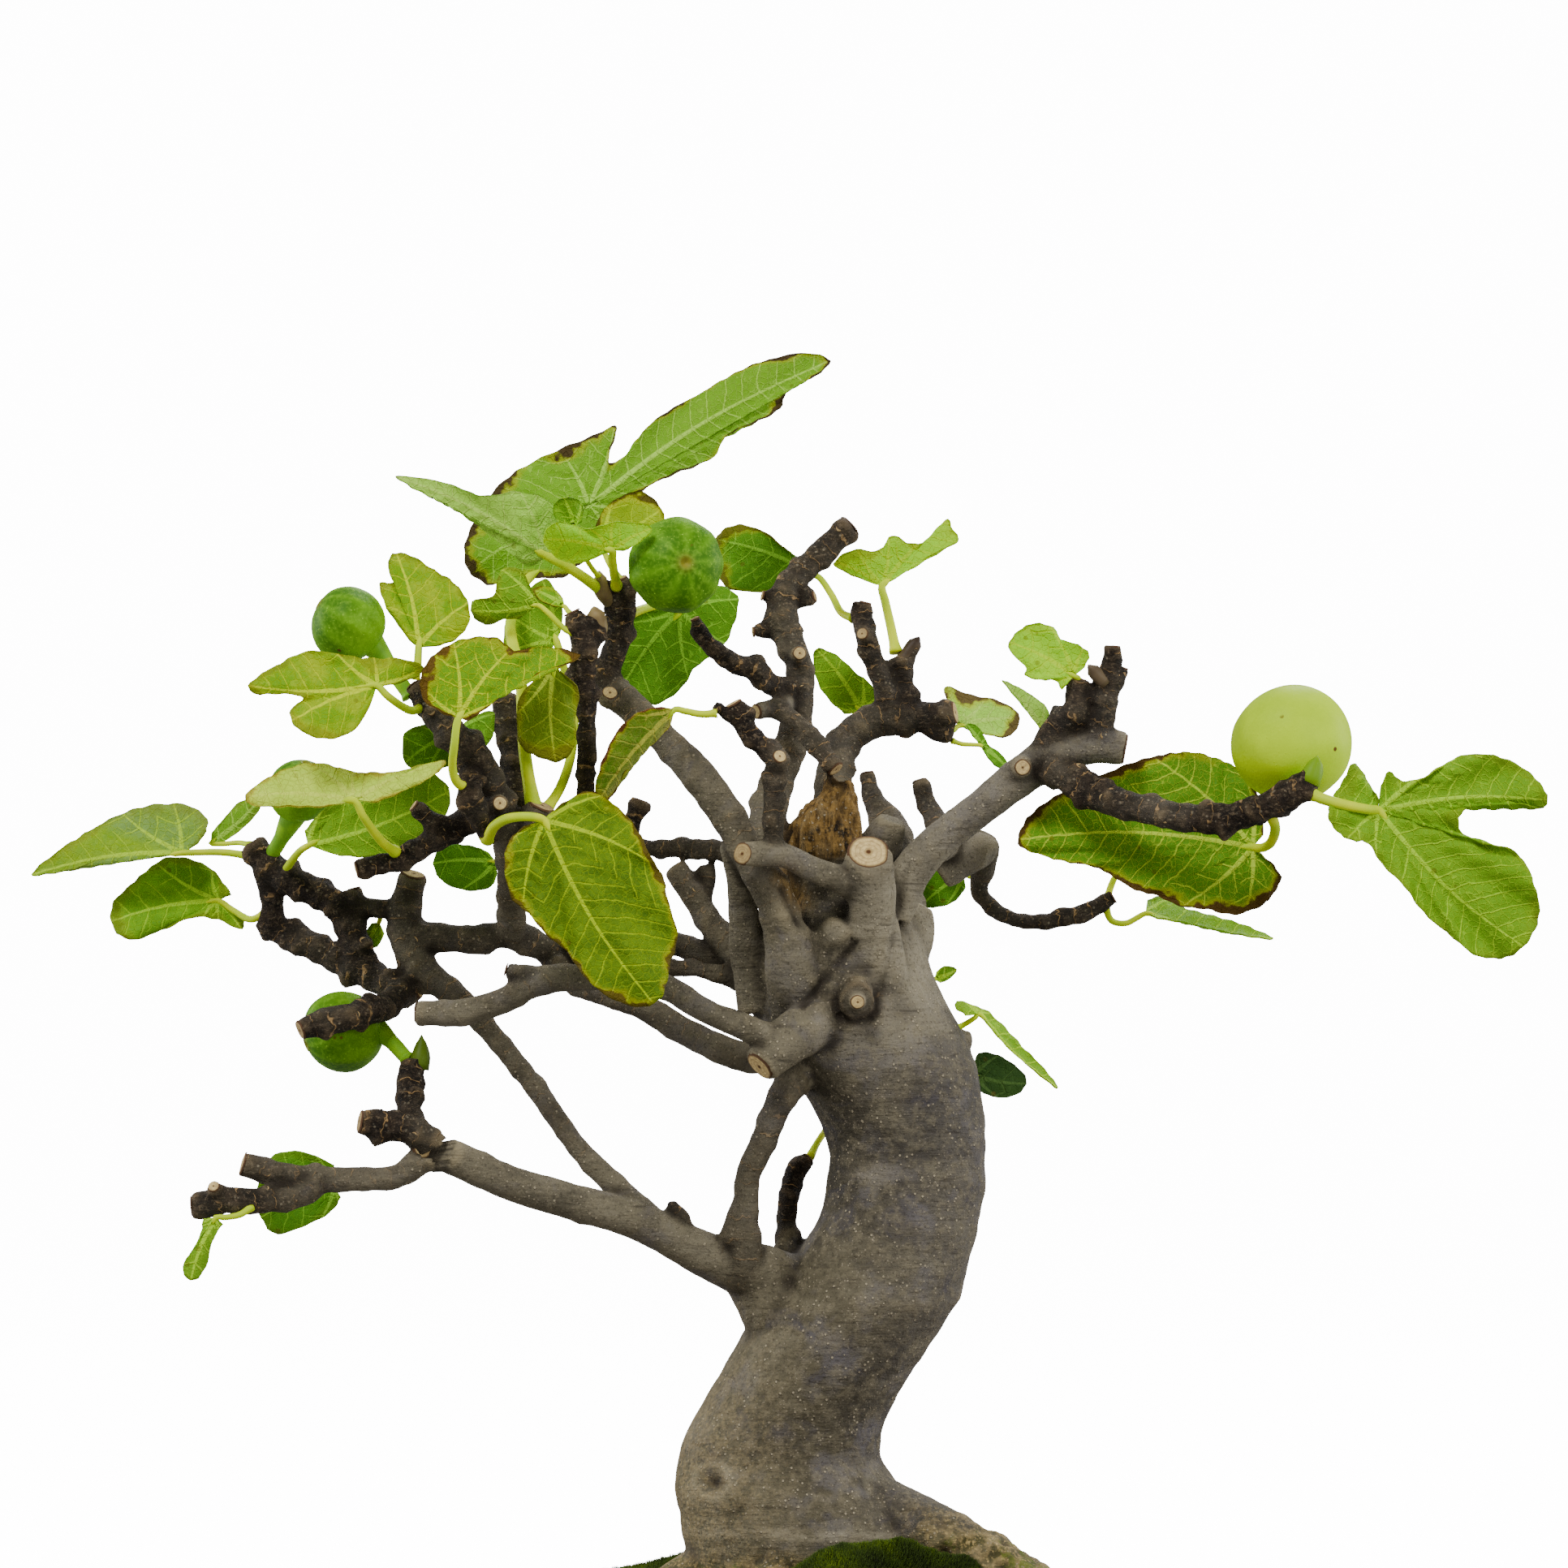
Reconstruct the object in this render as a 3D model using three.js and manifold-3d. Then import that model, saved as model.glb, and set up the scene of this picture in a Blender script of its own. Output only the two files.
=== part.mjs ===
// Common fig (Ficus carica) grown as a bonsai, planted in an oval pot.
// Millimetres, +Z up, front towards -Y, origin on the ground under the middle of the whole plant.

import * as THREE from 'three';
import Module from 'manifold-3d';
import { mergeVertices } from 'three/addons/utils/BufferGeometryUtils.js';

const wasm = await Module();
wasm.setup();

// Driving dimensions
const GAP = 0.3;            // clearance between pieces that touch
const BLADE = 0.8;          // leaf thickness
const SPREAD = 1.5;         // how far the crown reaches to front and back
const CENTRE_X = 4.5;       // how far the pot's middle stands to the right of the origin
const VIEW = 2800;          // the crown's points line up as seen from the front at this distance
const VIEW_X = -1.9;        // and from this point across
const VIEW_Z = 325.5;       // and this height
const LIMB_STEP = 16;       // distance between rings along a limb
const POT_LENGTH = 280;
const POT_WIDTH = 208;
const POT_HEIGHT = 76;
const POT_WALL = 7;
const FOOT_HEIGHT = 8;
const FLOOR_TOP = 16;       // inner floor of the pot
const SOIL_EDGE = 69;       // height of the soil at the pot wall
const MOUND = 13;           // how much higher the soil is at the trunk
const DRAIN_RADIUS = 8;
const DRAIN_X = 58;
const SCREEN_RADIUS = 15;
const SCREEN_THICK = 1;

const COLOURS = {
    bark: 0x7a736b, leaf: 0x6f9a2e, young: 0xa8d02c, fig: 0x4f8a33, ripe: 0xcbe03c,
    moss: 0x4a6118, soil: 0x3d2f25, pot: 0x6b4334, screen: 0x2b2b2b
};

// Solids and meshes

function solidOf(geometry) {
    const plain = geometry.index ? geometry.toNonIndexed() : geometry.clone();
    plain.deleteAttribute('normal');
    plain.deleteAttribute('uv');
    const merged = mergeVertices(plain, 1e-4);
    return new wasm.Manifold(new wasm.Mesh({
        numProp: 3,
        vertProperties: new Float32Array(merged.attributes.position.array),
        triVerts: new Uint32Array(merged.index.array)
    }));
}

function geometryOf(solid) {
    const mesh = solid.getMesh();
    const geometry = new THREE.BufferGeometry();
    geometry.setAttribute('position', new THREE.BufferAttribute(new Float32Array(mesh.vertProperties), 3));
    geometry.setIndex(new THREE.BufferAttribute(new Uint32Array(mesh.triVerts), 1));
    geometry.computeVertexNormals();
    return geometry;
}

// A closed solid from its corner points and its triangles
function solidFrom(points, faces) {
    const values = points.flatMap(p => [p.x, p.y, p.z]);
    const geometry = new THREE.BufferGeometry();
    geometry.setAttribute('position', new THREE.Float32BufferAttribute(values, 3));
    geometry.setIndex(faces);
    return solidOf(geometry);
}

// The largest body of a solid, without the scraps that a cut leaves
function mainBody(solid) {
    const bodies = solid.decompose();
    return bodies.reduce((best, body) => (body.volume() > best.volume() ? body : best));
}

const part = new THREE.Group();

function addPiece(name, solid, colour, roughness = 0.7) {
    const material = new THREE.MeshStandardMaterial({ color: colour, roughness, metalness: 0 });
    const mesh = new THREE.Mesh(geometryOf(solid.translate([CENTRE_X, 0, 0])), material);
    mesh.name = name;
    part.add(mesh);
}

// A closed skin over rings of equal count, capped at the first and last ring
function loft(rings) {
    const count = rings[0].length;
    const points = rings.flat();
    const faces = [];
    for (let i = 0; i < rings.length - 1; i++) {
        for (let j = 0; j < count; j++) {
            const next = (j + 1) % count;
            const a = i * count + j;
            const b = i * count + next;
            faces.push(a, b, b + count, a, b + count, a + count);
        }
    }
    const last = (rings.length - 1) * count;
    for (let j = 1; j < count - 1; j++) {
        faces.push(0, j + 1, j);
        faces.push(last, last + j, last + j + 1);
    }
    return solidFrom(points, faces);
}

// A crown point as it lies in space, from where it shows in the front view and its depth
function placed(x, depth, z) {
    const scale = 1 + depth / VIEW;
    return new THREE.Vector3(VIEW_X + (x - VIEW_X) * scale, depth, VIEW_Z + (z - VIEW_Z) * scale);
}

// Wood: every limb is a list of [x, depth, z, radius] along its middle line

const TRUNK = [
    [7, 0, 60, 42], [7, 0, 74, 41], [6.5, 0, 84, 38.5], [5.3, 0, 95, 38.5], [-0.5, 0, 109, 34.5],
    [-3.3, 0, 118, 30.5], [-0.3, 0, 129, 29.5], [4.5, 0, 138, 29], [13.3, 0, 153, 29.5], [21, 0, 166, 31],
    [29.3, 0, 182, 27], [34.8, 0, 196, 23.9], [36.2, 0, 211, 23.4], [32.8, 0, 226, 26.5], [27, 0, 239, 30],
    [21, 0, 251, 31.3], [16, 0, 265, 28.7], [14, 0, 279, 26], [14, 0, 290, 19], [15, 0, 296, 11]
];
const TRUNK_DEPTH = 0.9;    // the trunk's depth for its width

const LIMBS = {
    root_right: [
        [26, -6, 103, 10], [40, -9, 96, 10.5], [56, -12, 88, 10], [72, -14, 79, 9], [88, -15, 68, 7]
    ],
    root_left: [[-22, -4, 86, 9], [-38, -6, 76, 8], [-54, -8, 63, 6]],
    root_front: [[0, -12, 86, 9], [-6, -22, 77, 8], [-10, -34, 63, 6]],
    root_back: [[10, 10, 87, 11], [18, 22, 77, 9], [26, 36, 62, 6]],
    root_back_left: [[-14, 8, 86, 9], [-28, 18, 77, 8], [-42, 28, 62, 6]],
    knob_front: [[19, -10, 262, 7.5], [20.6, -20, 258.8, 6]],
    knob_right: [[48, 0, 246, 4], [56, 0, 247.5, 2.2]],
    shoulder: [[26, 4, 266, 13], [33, 5, 276, 11], [38, 6, 284, 7.5], [40.5, 6, 288.5, 4]],
    flank: [
        [-9, -4, 256, 7], [-12, -5, 268, 6], [-14, -9, 282, 4.8], [-16, -14, 296, 3.6], [-19, -17, 307, 3]
    ],
    stump: [[29, -9, 258, 8.5], [27.4, -12, 270, 8], [25.5, -15, 288, 7.4], [24.1, -18, 304.5, 7.2]],
    deadwood: [
        [11, 0, 284, 14], [11, -1, 298, 12.5], [10, -2, 307, 12], [12, -2, 316, 8.5], [13, -1, 322, 4.5],
        [11.5, -1, 328.5, 1.2]
    ],
    deadwood_spike: [[15, -3, 300, 8], [18, -3, 314, 4.5], [17.5, -2, 327, 2]],
    a: [
        [3, -10, 257, 9], [0.6, -15, 268, 8], [-3.4, -18, 287.5, 6.6], [-12.9, -19, 303.8, 5],
        [-19.7, -18, 316.3, 5.2], [-27.2, -17, 326.8, 5.4], [-36.9, -14, 337.3, 4.4],
        [-46.4, -11, 347, 4.7], [-55, -8, 354.6, 4.9]
    ],
    a_upper: [
        [-52, -9, 351, 4], [-57, -8, 357, 3.8], [-54.9, -8, 363.5, 3.7], [-52.4, -10, 374, 4],
        [-51.4, -12, 384, 3.8], [-52.5, -13, 389, 2.6]
    ],
    a_bud: [[-53, -11, 380, 2.5], [-57.8, -13, 385, 2], [-58.6, -13, 389, 1.5]],
    v: [
        [-65.4, 2, 273, 2.8], [-64.8, -10, 297, 2.7], [-63, -20, 323.5, 2.6], [-62.7, -24, 345.8, 2.9],
        [-63.7, -25, 360.3, 3.6], [-63.8, -25, 371, 3.8], [-67.2, -25, 378.5, 3]
    ],
    v_stub: [[-63.5, -25, 366, 3], [-59.5, -24, 374, 2.6], [-60, -24, 378, 2.2]],
    d: [
        [22, -12, 291, 4.5], [16.9, -17, 295.3, 4.1], [5.4, -22, 300, 3.9], [-2.4, -25, 303.5, 3.8],
        [-14.7, -28.5, 304, 3.8]
    ],
    d_up: [
        [-5.2, -25, 303, 3], [-5.2, -26, 321, 2.9], [-4.2, -27, 333.5, 3.3], [-11.9, -28, 340.3, 2.9],
        [-17.7, -29, 350.3, 3.1]
    ],
    d_bud: [[-17.5, -29, 346.5, 2.3], [-23.6, -30, 349.6, 1.7]],
    e: [
        [2, -2, 282, 8], [-4, -3, 298, 6.5], [-7, 0, 312, 6], [-4.5, 5, 325, 5.2], [0, 8, 337, 5],
        [2.6, 10, 349.5, 4.4], [2.9, 11, 361.5, 4.2], [-0.2, 12, 369, 4.4], [-2.6, 13, 377.3, 5],
        [-0.2, 15, 386.3, 4.4], [6.1, 17, 393.3, 3.7], [12.6, 18, 399.5, 4], [18.6, 19, 405, 4.4]
    ],
    e_stub_left: [[-3, 13, 373, 2.4], [-11.4, 12, 372.3, 1.9]],
    e_stub_left_high: [[-2, 14, 382, 2.4], [-8.6, 13, 383.5, 1.8]],
    e_stub_right: [[2, 15, 382, 2.8], [7.6, 14, 383.4, 2]],
    e_left: [
        [0, 9, 354, 3.4], [-7.2, 5, 357, 3.1], [-11.2, 2, 360.8, 3.1], [-20.7, -1, 364.5, 2.8],
        [-26.4, -2, 370.3, 2.3], [-29.4, -3, 376.5, 1.7]
    ],
    e_down: [
        [-1, 7, 350.5, 3.2], [-4, 2, 348.7, 3], [4.9, -1, 341.8, 2.8], [8.6, -2, 336.5, 2.9],
        [14.1, -4, 330, 3]
    ],
    e_down_scar: [[-1, 5, 350, 3], [-10.6, 0, 347.8, 2.6]],
    g: [
        [14, 8, 294, 8], [13, 15, 312, 6.5], [14.1, 20, 331, 5.6], [17.6, 23, 339, 5], [25, 25, 344.8, 5],
        [33.6, 26, 345.5, 4.7], [43.1, 26, 346, 4.5], [50.8, 25, 347.5, 4]
    ],
    g_knob: [[43, 26, 343, 3.4], [49.8, 25, 340.2, 2.6]],
    g_up: [
        [32, 26, 344, 3.6], [27.9, 25, 358.3, 3.3], [24.1, 24, 367.8, 3.3], [22.4, 24, 377.3, 3],
        [23.2, 24, 381.5, 2.2]
    ],
    g_nub: [[22.2, 24, 377, 1.9], [19.4, 23, 382, 1.2]],
    g_up_right: [[35, 26, 347, 3.6], [34.6, 27, 358.3, 3], [34.6, 27, 364.5, 3.2]],
    g_tip: [[34.8, 27, 363, 2.4], [38.6, 27, 369, 1.6]],
    h: [
        [26, 6, 274, 9], [33, 12, 288, 7.5], [33, 18, 300, 6.5], [30.6, 22, 312, 5.8], [25.4, 23, 321, 3],
        [23.6, 24, 329, 2.3]
    ],
    h_stub: [
        [45, -7, 306, 4.5], [46, 4, 308, 4.2], [46, 12, 310, 4], [44.4, 16, 315, 3.4], [41.5, 17, 321, 2.7],
        [39.9, 18, 326.5, 2.8]
    ],
    h_right: [
        [46, -7, 306, 4.5], [49, 4, 306.5, 4.4], [54.1, 13, 307, 4.4], [59.6, 17, 305.8, 4.6],
        [59, 20, 298, 3.6], [57.9, 21, 293, 2.6], [63.6, 22, 286.5, 2.4], [71.4, 22, 283.3, 2.3],
        [82.9, 23, 283.8, 2.5], [93.6, 24, 287.3, 2.6], [99.6, 24, 290.6, 2.3]
    ],
    c: [
        [30, -7, 286, 7.5], [36.4, -8, 297.5, 6.3], [45.6, -9, 307.8, 5.4], [58.9, -10, 318.3, 5.3],
        [72.4, -11, 328.8, 6], [82.9, -12, 335, 6.2], [93.9, -12, 337.6, 5.7], [103.2, -12, 336.2, 5.1]
    ],
    c_up: [
        [79, -12, 337, 4.5], [83, -13, 343.5, 4], [87.4, -14, 347, 4.2], [88.2, -14, 354, 2.8],
        [89.2, -14, 358, 2.5]
    ],
    c_up_right: [
        [93, -12, 339, 4.6], [97.4, -13, 350.8, 3.4], [97, -13, 355.8, 3.5], [99, -13, 362, 2.8],
        [99.4, -13, 368, 2.7]
    ],
    c_fork: [[97.5, -13, 353, 3], [101.2, -12, 358, 2.2], [102.6, -12, 361.4, 1.8]],
    c_bud: [[97, -14, 356.5, 2], [93.2, -15, 360.6, 1.5]],
    c_low: [
        [80, -14, 331, 5], [88, -17, 326, 4.8], [99.1, -22, 320.4, 4.2], [111.4, -26, 317.3, 4.1],
        [123.9, -29, 314.9, 4.1], [136.4, -32, 315.3, 4], [147.6, -35, 319, 4.1], [156.4, -37, 323.5, 4.1],
        [160.4, -37, 327, 3.7]
    ],
    c_low_bud: [[159.6, -37.5, 326, 3], [161.2, -37.5, 329.5, 2.6], [161.9, -37.5, 332, 1.6]],
    d0: [[14, -10, 255, 9], [6, -17, 251, 7.8], [-2, -21, 245.5, 7.2], [-9.4, -24, 238.4, 5.6]],
    d1: [
        [0, -19, 250, 4.8], [-5.7, -22, 247.5, 4.6], [-14.7, -24, 251, 4.3], [-28.4, -25, 257, 3.9],
        [-38.4, -25.5, 263, 3.9], [-50, -26, 266, 3.8], [-62.2, -26, 266, 4], [-75, -26, 265.2, 4.6],
        [-81, -26, 263, 4.4], [-89, -26, 258.5, 4], [-103.4, -25, 254.8, 4.2], [-115.2, -24, 255.2, 3.7]
    ],
    d1_stub: [[-77, -26, 265.5, 3.4], [-87.6, -26, 268.4, 2.2]],
    d2: [
        [-2, -10, 243, 6], [-14, -13, 241.5, 4.6], [-30.9, -11, 248.3, 4.2], [-45.9, -8, 257, 3.9],
        [-58.4, -5, 261.5, 3.8], [-68.4, -2, 266, 3.8], [-74, 2, 272, 3.8]
    ],
    flank_stub: [
        [-8, 2, 268, 5], [-18, 3, 275, 4.2], [-23.4, 4, 281, 4.1], [-29.4, 5, 290.5, 3.9],
        [-35.9, 6, 300, 3.7]
    ],
    flank_stub_fork: [[-28.6, 5, 289, 3], [-25.4, 6, 296, 2.6], [-25.7, 6, 300.6, 2.4]],
    back: [
        [-5, -2, 301, 4], [-22, 4, 305, 3], [-33, 8, 305.6, 2.7], [-43.7, 9, 305.8, 2.5],
        [-49.3, 9, 306.6, 2.6]
    ],
    back_stub: [[-49, 9, 305, 2.5], [-48.7, 8, 313, 2.6], [-46.2, 8, 320.6, 3]],
    l2: [
        [-6, 3, 266, 5], [-14, 5, 271, 4], [-23.4, 6, 272.6, 3.6], [-34.9, 7, 276, 3.5],
        [-53.4, 5, 274.5, 3.9], [-68.4, 4, 271.8, 4.2], [-74, 2, 274, 4.4], [-85.4, 1, 279, 4.3],
        [-98.2, 3, 277.6, 4.3], [-112.4, 5, 279, 4.2], [-119, 6, 281, 4]
    ],
    l2_low: [
        [-6, 0, 259, 4], [-14, 0, 264, 3], [-24.4, 0, 267.6, 2.7], [-36.9, 0, 269.3, 2.6],
        [-52, 1, 269, 2.6], [-64, 3, 271, 2.8]
    ],
    l: [
        [-44, -12, 192, 4.8], [-50, -11, 198, 3.9], [-65.6, -8, 213.8, 3.3], [-78.6, -5, 232, 3.3],
        [-93.6, -2, 250.5, 3.4], [-104, 1, 261.2, 4], [-113.2, 4, 268.3, 5.2], [-118, 6, 278, 5.6],
        [-118.4, 6, 287, 5.2], [-116, 4, 297.8, 4.3]
    ],
    n: [
        [-85.4, 1, 279, 4.6], [-86, -8, 289, 4], [-85.6, -18, 299, 4.6], [-86.4, -25, 308, 5.2],
        [-91.9, -31, 322.8, 5.4], [-98.2, -34, 334.3, 5.1], [-105.4, -35, 342, 4.5],
        [-110.9, -33, 349, 3.9], [-115.8, -31, 355.6, 3.4]
    ],
    n_left: [
        [-96, -30, 316, 4.2], [-103.4, -29, 312, 3.8], [-110.9, -30, 307.5, 3.5], [-121, -31, 302.2, 3],
        [-133.7, -32, 299, 2.9]
    ],
    n_left_stub: [[-108, -30, 310, 2.9], [-112.9, -31, 316.4, 2.5], [-116, -31.5, 318.8, 2.2]],
    n_front: [
        [-93, -32, 327, 3.6], [-98, -36, 328, 3.4], [-98.6, -40, 323, 3.5], [-95.6, -38, 315, 3.3],
        [-92, -34, 309.5, 3.4]
    ],
    n_cut: [[-85.8, -22, 303, 4.2], [-80.5, -27, 309, 4.3], [-76.4, -29, 318.8, 4.5]],
    n_up: [
        [-88, -26, 312, 4.3], [-84.4, -21, 321, 4.1], [-85.4, -19, 334, 3.8], [-87.2, -18, 344.5, 3.8],
        [-88.6, -17, 353, 3.6]
    ],
    m: [
        [-165.7, 14, 307, 4.2], [-162.2, 13, 302.3, 4.2], [-155.7, 12, 297.3, 4.4], [-146.2, 11, 292, 4.3],
        [-139.7, 10, 288.3, 4.2], [-136, 9, 281, 4.2], [-133, 9, 273.6, 4.3], [-130.6, 9, 267.8, 4.2]
    ],
    m_low: [
        [-163, 17, 284.6, 3.8], [-155.7, 16, 279.5, 4], [-146.2, 14, 275.5, 4.1], [-138.4, 12, 271, 4.3],
        [-130.2, 9, 267.2, 4.4], [-122.4, 6, 263.3, 4.2], [-114, 4, 263.4, 4.4]
    ],
    m_link: [[-163.2, 13, 302, 3.2], [-160.6, 15, 293, 3], [-157.6, 16, 281, 3]],
    m_hub: [[-139, 10, 287.6, 3], [-129, 8, 287.6, 2.8], [-118, 6, 286, 3]],
    m_stub: [[-133.4, 9, 279, 3], [-133.8, 8, 290.5, 2.5], [-134.4, 8, 293.4, 2.3]],
    m_front: [
        [-119, 4, 263, 4], [-124.2, -5, 257.2, 3.9], [-131, -13, 255.2, 3.9], [-139, -17, 253, 3.9],
        [-146.4, -18, 251.5, 3.7], [-150.9, -19, 249.6, 3.3]
    ],
    j: [
        [4, 0, 170, 10], [-8.4, -5, 174.5, 9], [-20, -8, 178, 7.6], [-33, -10, 184, 6.2],
        [-48.4, -13, 191.6, 5.9], [-68.4, -16, 197.2, 5.5], [-87.2, -19, 203, 5.3],
        [-103.9, -21, 210.5, 5.3], [-113.4, -22, 214, 4.6]
    ],
    j_foot: [[8, -1, 146, 20], [1, -3, 158, 15], [-7, -4, 169, 11], [-14, -5, 177, 8]],
    j_bud: [[-33, -10, 190.5, 3], [-36.8, -11, 196.8, 1.7]],
    j1: [
        [-108, -21, 211.5, 4.8], [-113.6, -22, 209.6, 4.2], [-120.7, -23, 204.6, 3.6],
        [-136.4, -24, 203.8, 3.6], [-147.4, -25, 203.6, 4.1], [-157, -26, 205, 3.8],
        [-168.7, -27, 208.6, 3.9]
    ],
    j1_low: [
        [-146, -25, 202.6, 4], [-151, -28, 199, 3.8], [-163.2, -30, 197, 3.5], [-174.2, -31, 197.2, 3.7],
        [-179, -31, 196, 3.9], [-184.4, -31, 195.4, 3.5]
    ],
    j2: [
        [-110, -22, 214.6, 4.6], [-117, -23, 219, 4.3], [-125.2, -24, 220.3, 4.1], [-132.6, -25, 221.6, 3.9]
    ],
    j3: [[-114, -22, 216, 4.2], [-117.4, -19, 224, 3.7], [-117.2, -15, 231, 3.9], [-116.2, -12, 239.4, 3.9]],
    j3_bud: [[-114.6, -12, 238, 2.8], [-113.8, -12, 241.5, 2.6], [-113.6, -12, 246, 1]],
    k1: [
        [-15, -8, 175, 6.5], [-14.4, -10, 183, 6], [-14.9, -11, 190.6, 5.2], [-13.6, -11, 197, 3.9],
        [-12.9, -11, 205.3, 3.8], [-8.4, -12, 215, 3.9], [-4.2, -12, 225.5, 4.1], [0, -11, 233, 5.2],
        [5, -9, 239, 6]
    ],
    k2: [
        [0, 3, 179, 4.4], [-1.4, 5, 187, 3.2], [-0.6, 6, 196, 3], [0.2, 7, 202, 3.1], [2.4, 8, 207, 2.9],
        [5.6, 9, 210, 2.6]
    ]
};

// Twigs swell at their nodes, about every two rings
const SWELL = 0.09;

function limbRings(points, grow, flatten) {
    const spread = flatten ? 1 : SPREAD;
    const middle = points.map(([x, y, z]) => placed(x, y * spread, z));
    const curve = new THREE.CatmullRomCurve3(middle, false, 'centripetal');
    const spans = points.length - 1;
    const widest = Math.max(...points.map(p => p[3]));
    const sides = flatten ? 16 : widest > 7 ? 8 : widest > 4.4 ? 7 : widest > 3.2 ? 6 : 5;
    const steps = flatten ? spans : Math.max(1, Math.round(curve.getLength() / LIMB_STEP));
    const roundness = 1 / Math.cos(Math.PI / sides) ** 0.5;
    let side = new THREE.Vector3(0, 1, 0);
    const rings = [];
    for (let i = 0; i <= steps; i++) {
        const t = flatten ? i / steps : curve.getUtoTmapping(i / steps);
        const place = t * spans;
        const k = Math.min(Math.floor(place), spans - 1);
        const radius = THREE.MathUtils.lerp(points[k][3], points[k + 1][3], place - k);
        const inner = i > 0 && i < steps && !flatten;
        const swell = inner ? 1 + SWELL * (i % 2 ? 1 : -0.6) * Math.min(1, 4 / radius) : 1;
        const centre = curve.getPoint(t);
        const along = flatten ? new THREE.Vector3(0, 0, 1) : curve.getTangent(t);
        side = side.clone().addScaledVector(along, -side.dot(along)).normalize();
        const across = new THREE.Vector3().crossVectors(along, side);
        const ring = [];
        for (let j = 0; j < sides; j++) {
            const angle = (j / sides) * 2 * Math.PI;
            const reach = (radius * swell + grow) * roundness;
            const depth = flatten ? TRUNK_DEPTH : 1;
            ring.push(centre.clone()
                .addScaledVector(side, Math.cos(angle) * reach * depth)
                .addScaledVector(across, Math.sin(angle) * reach));
        }
        rings.push(ring);
    }
    return rings;
}

function woodSolid(grow) {
    let wood = loft(limbRings(TRUNK, grow, true));
    for (const points of Object.values(LIMBS)) wood = wood.add(loft(limbRings(points, grow, false)));
    return wood;
}

const wood = woodSolid(0);
const woodRoom = woodSolid(GAP);

addPiece('tree_wood', mainBody(wood), COLOURS.bark, 0.85);

// Leaves: an outline [x, z] runs round the blade from one side of the petiole to the other.
// Where the blade's edge can't be seen whole from its base, hub is a point [x, z] from where it can.
// The blade leans by lean = [along x, along z], folds about its midrib by fold, bends by bow
// and its edge waves by wave. The petiole is a list of [x, depth, z] from the twig.

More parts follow.
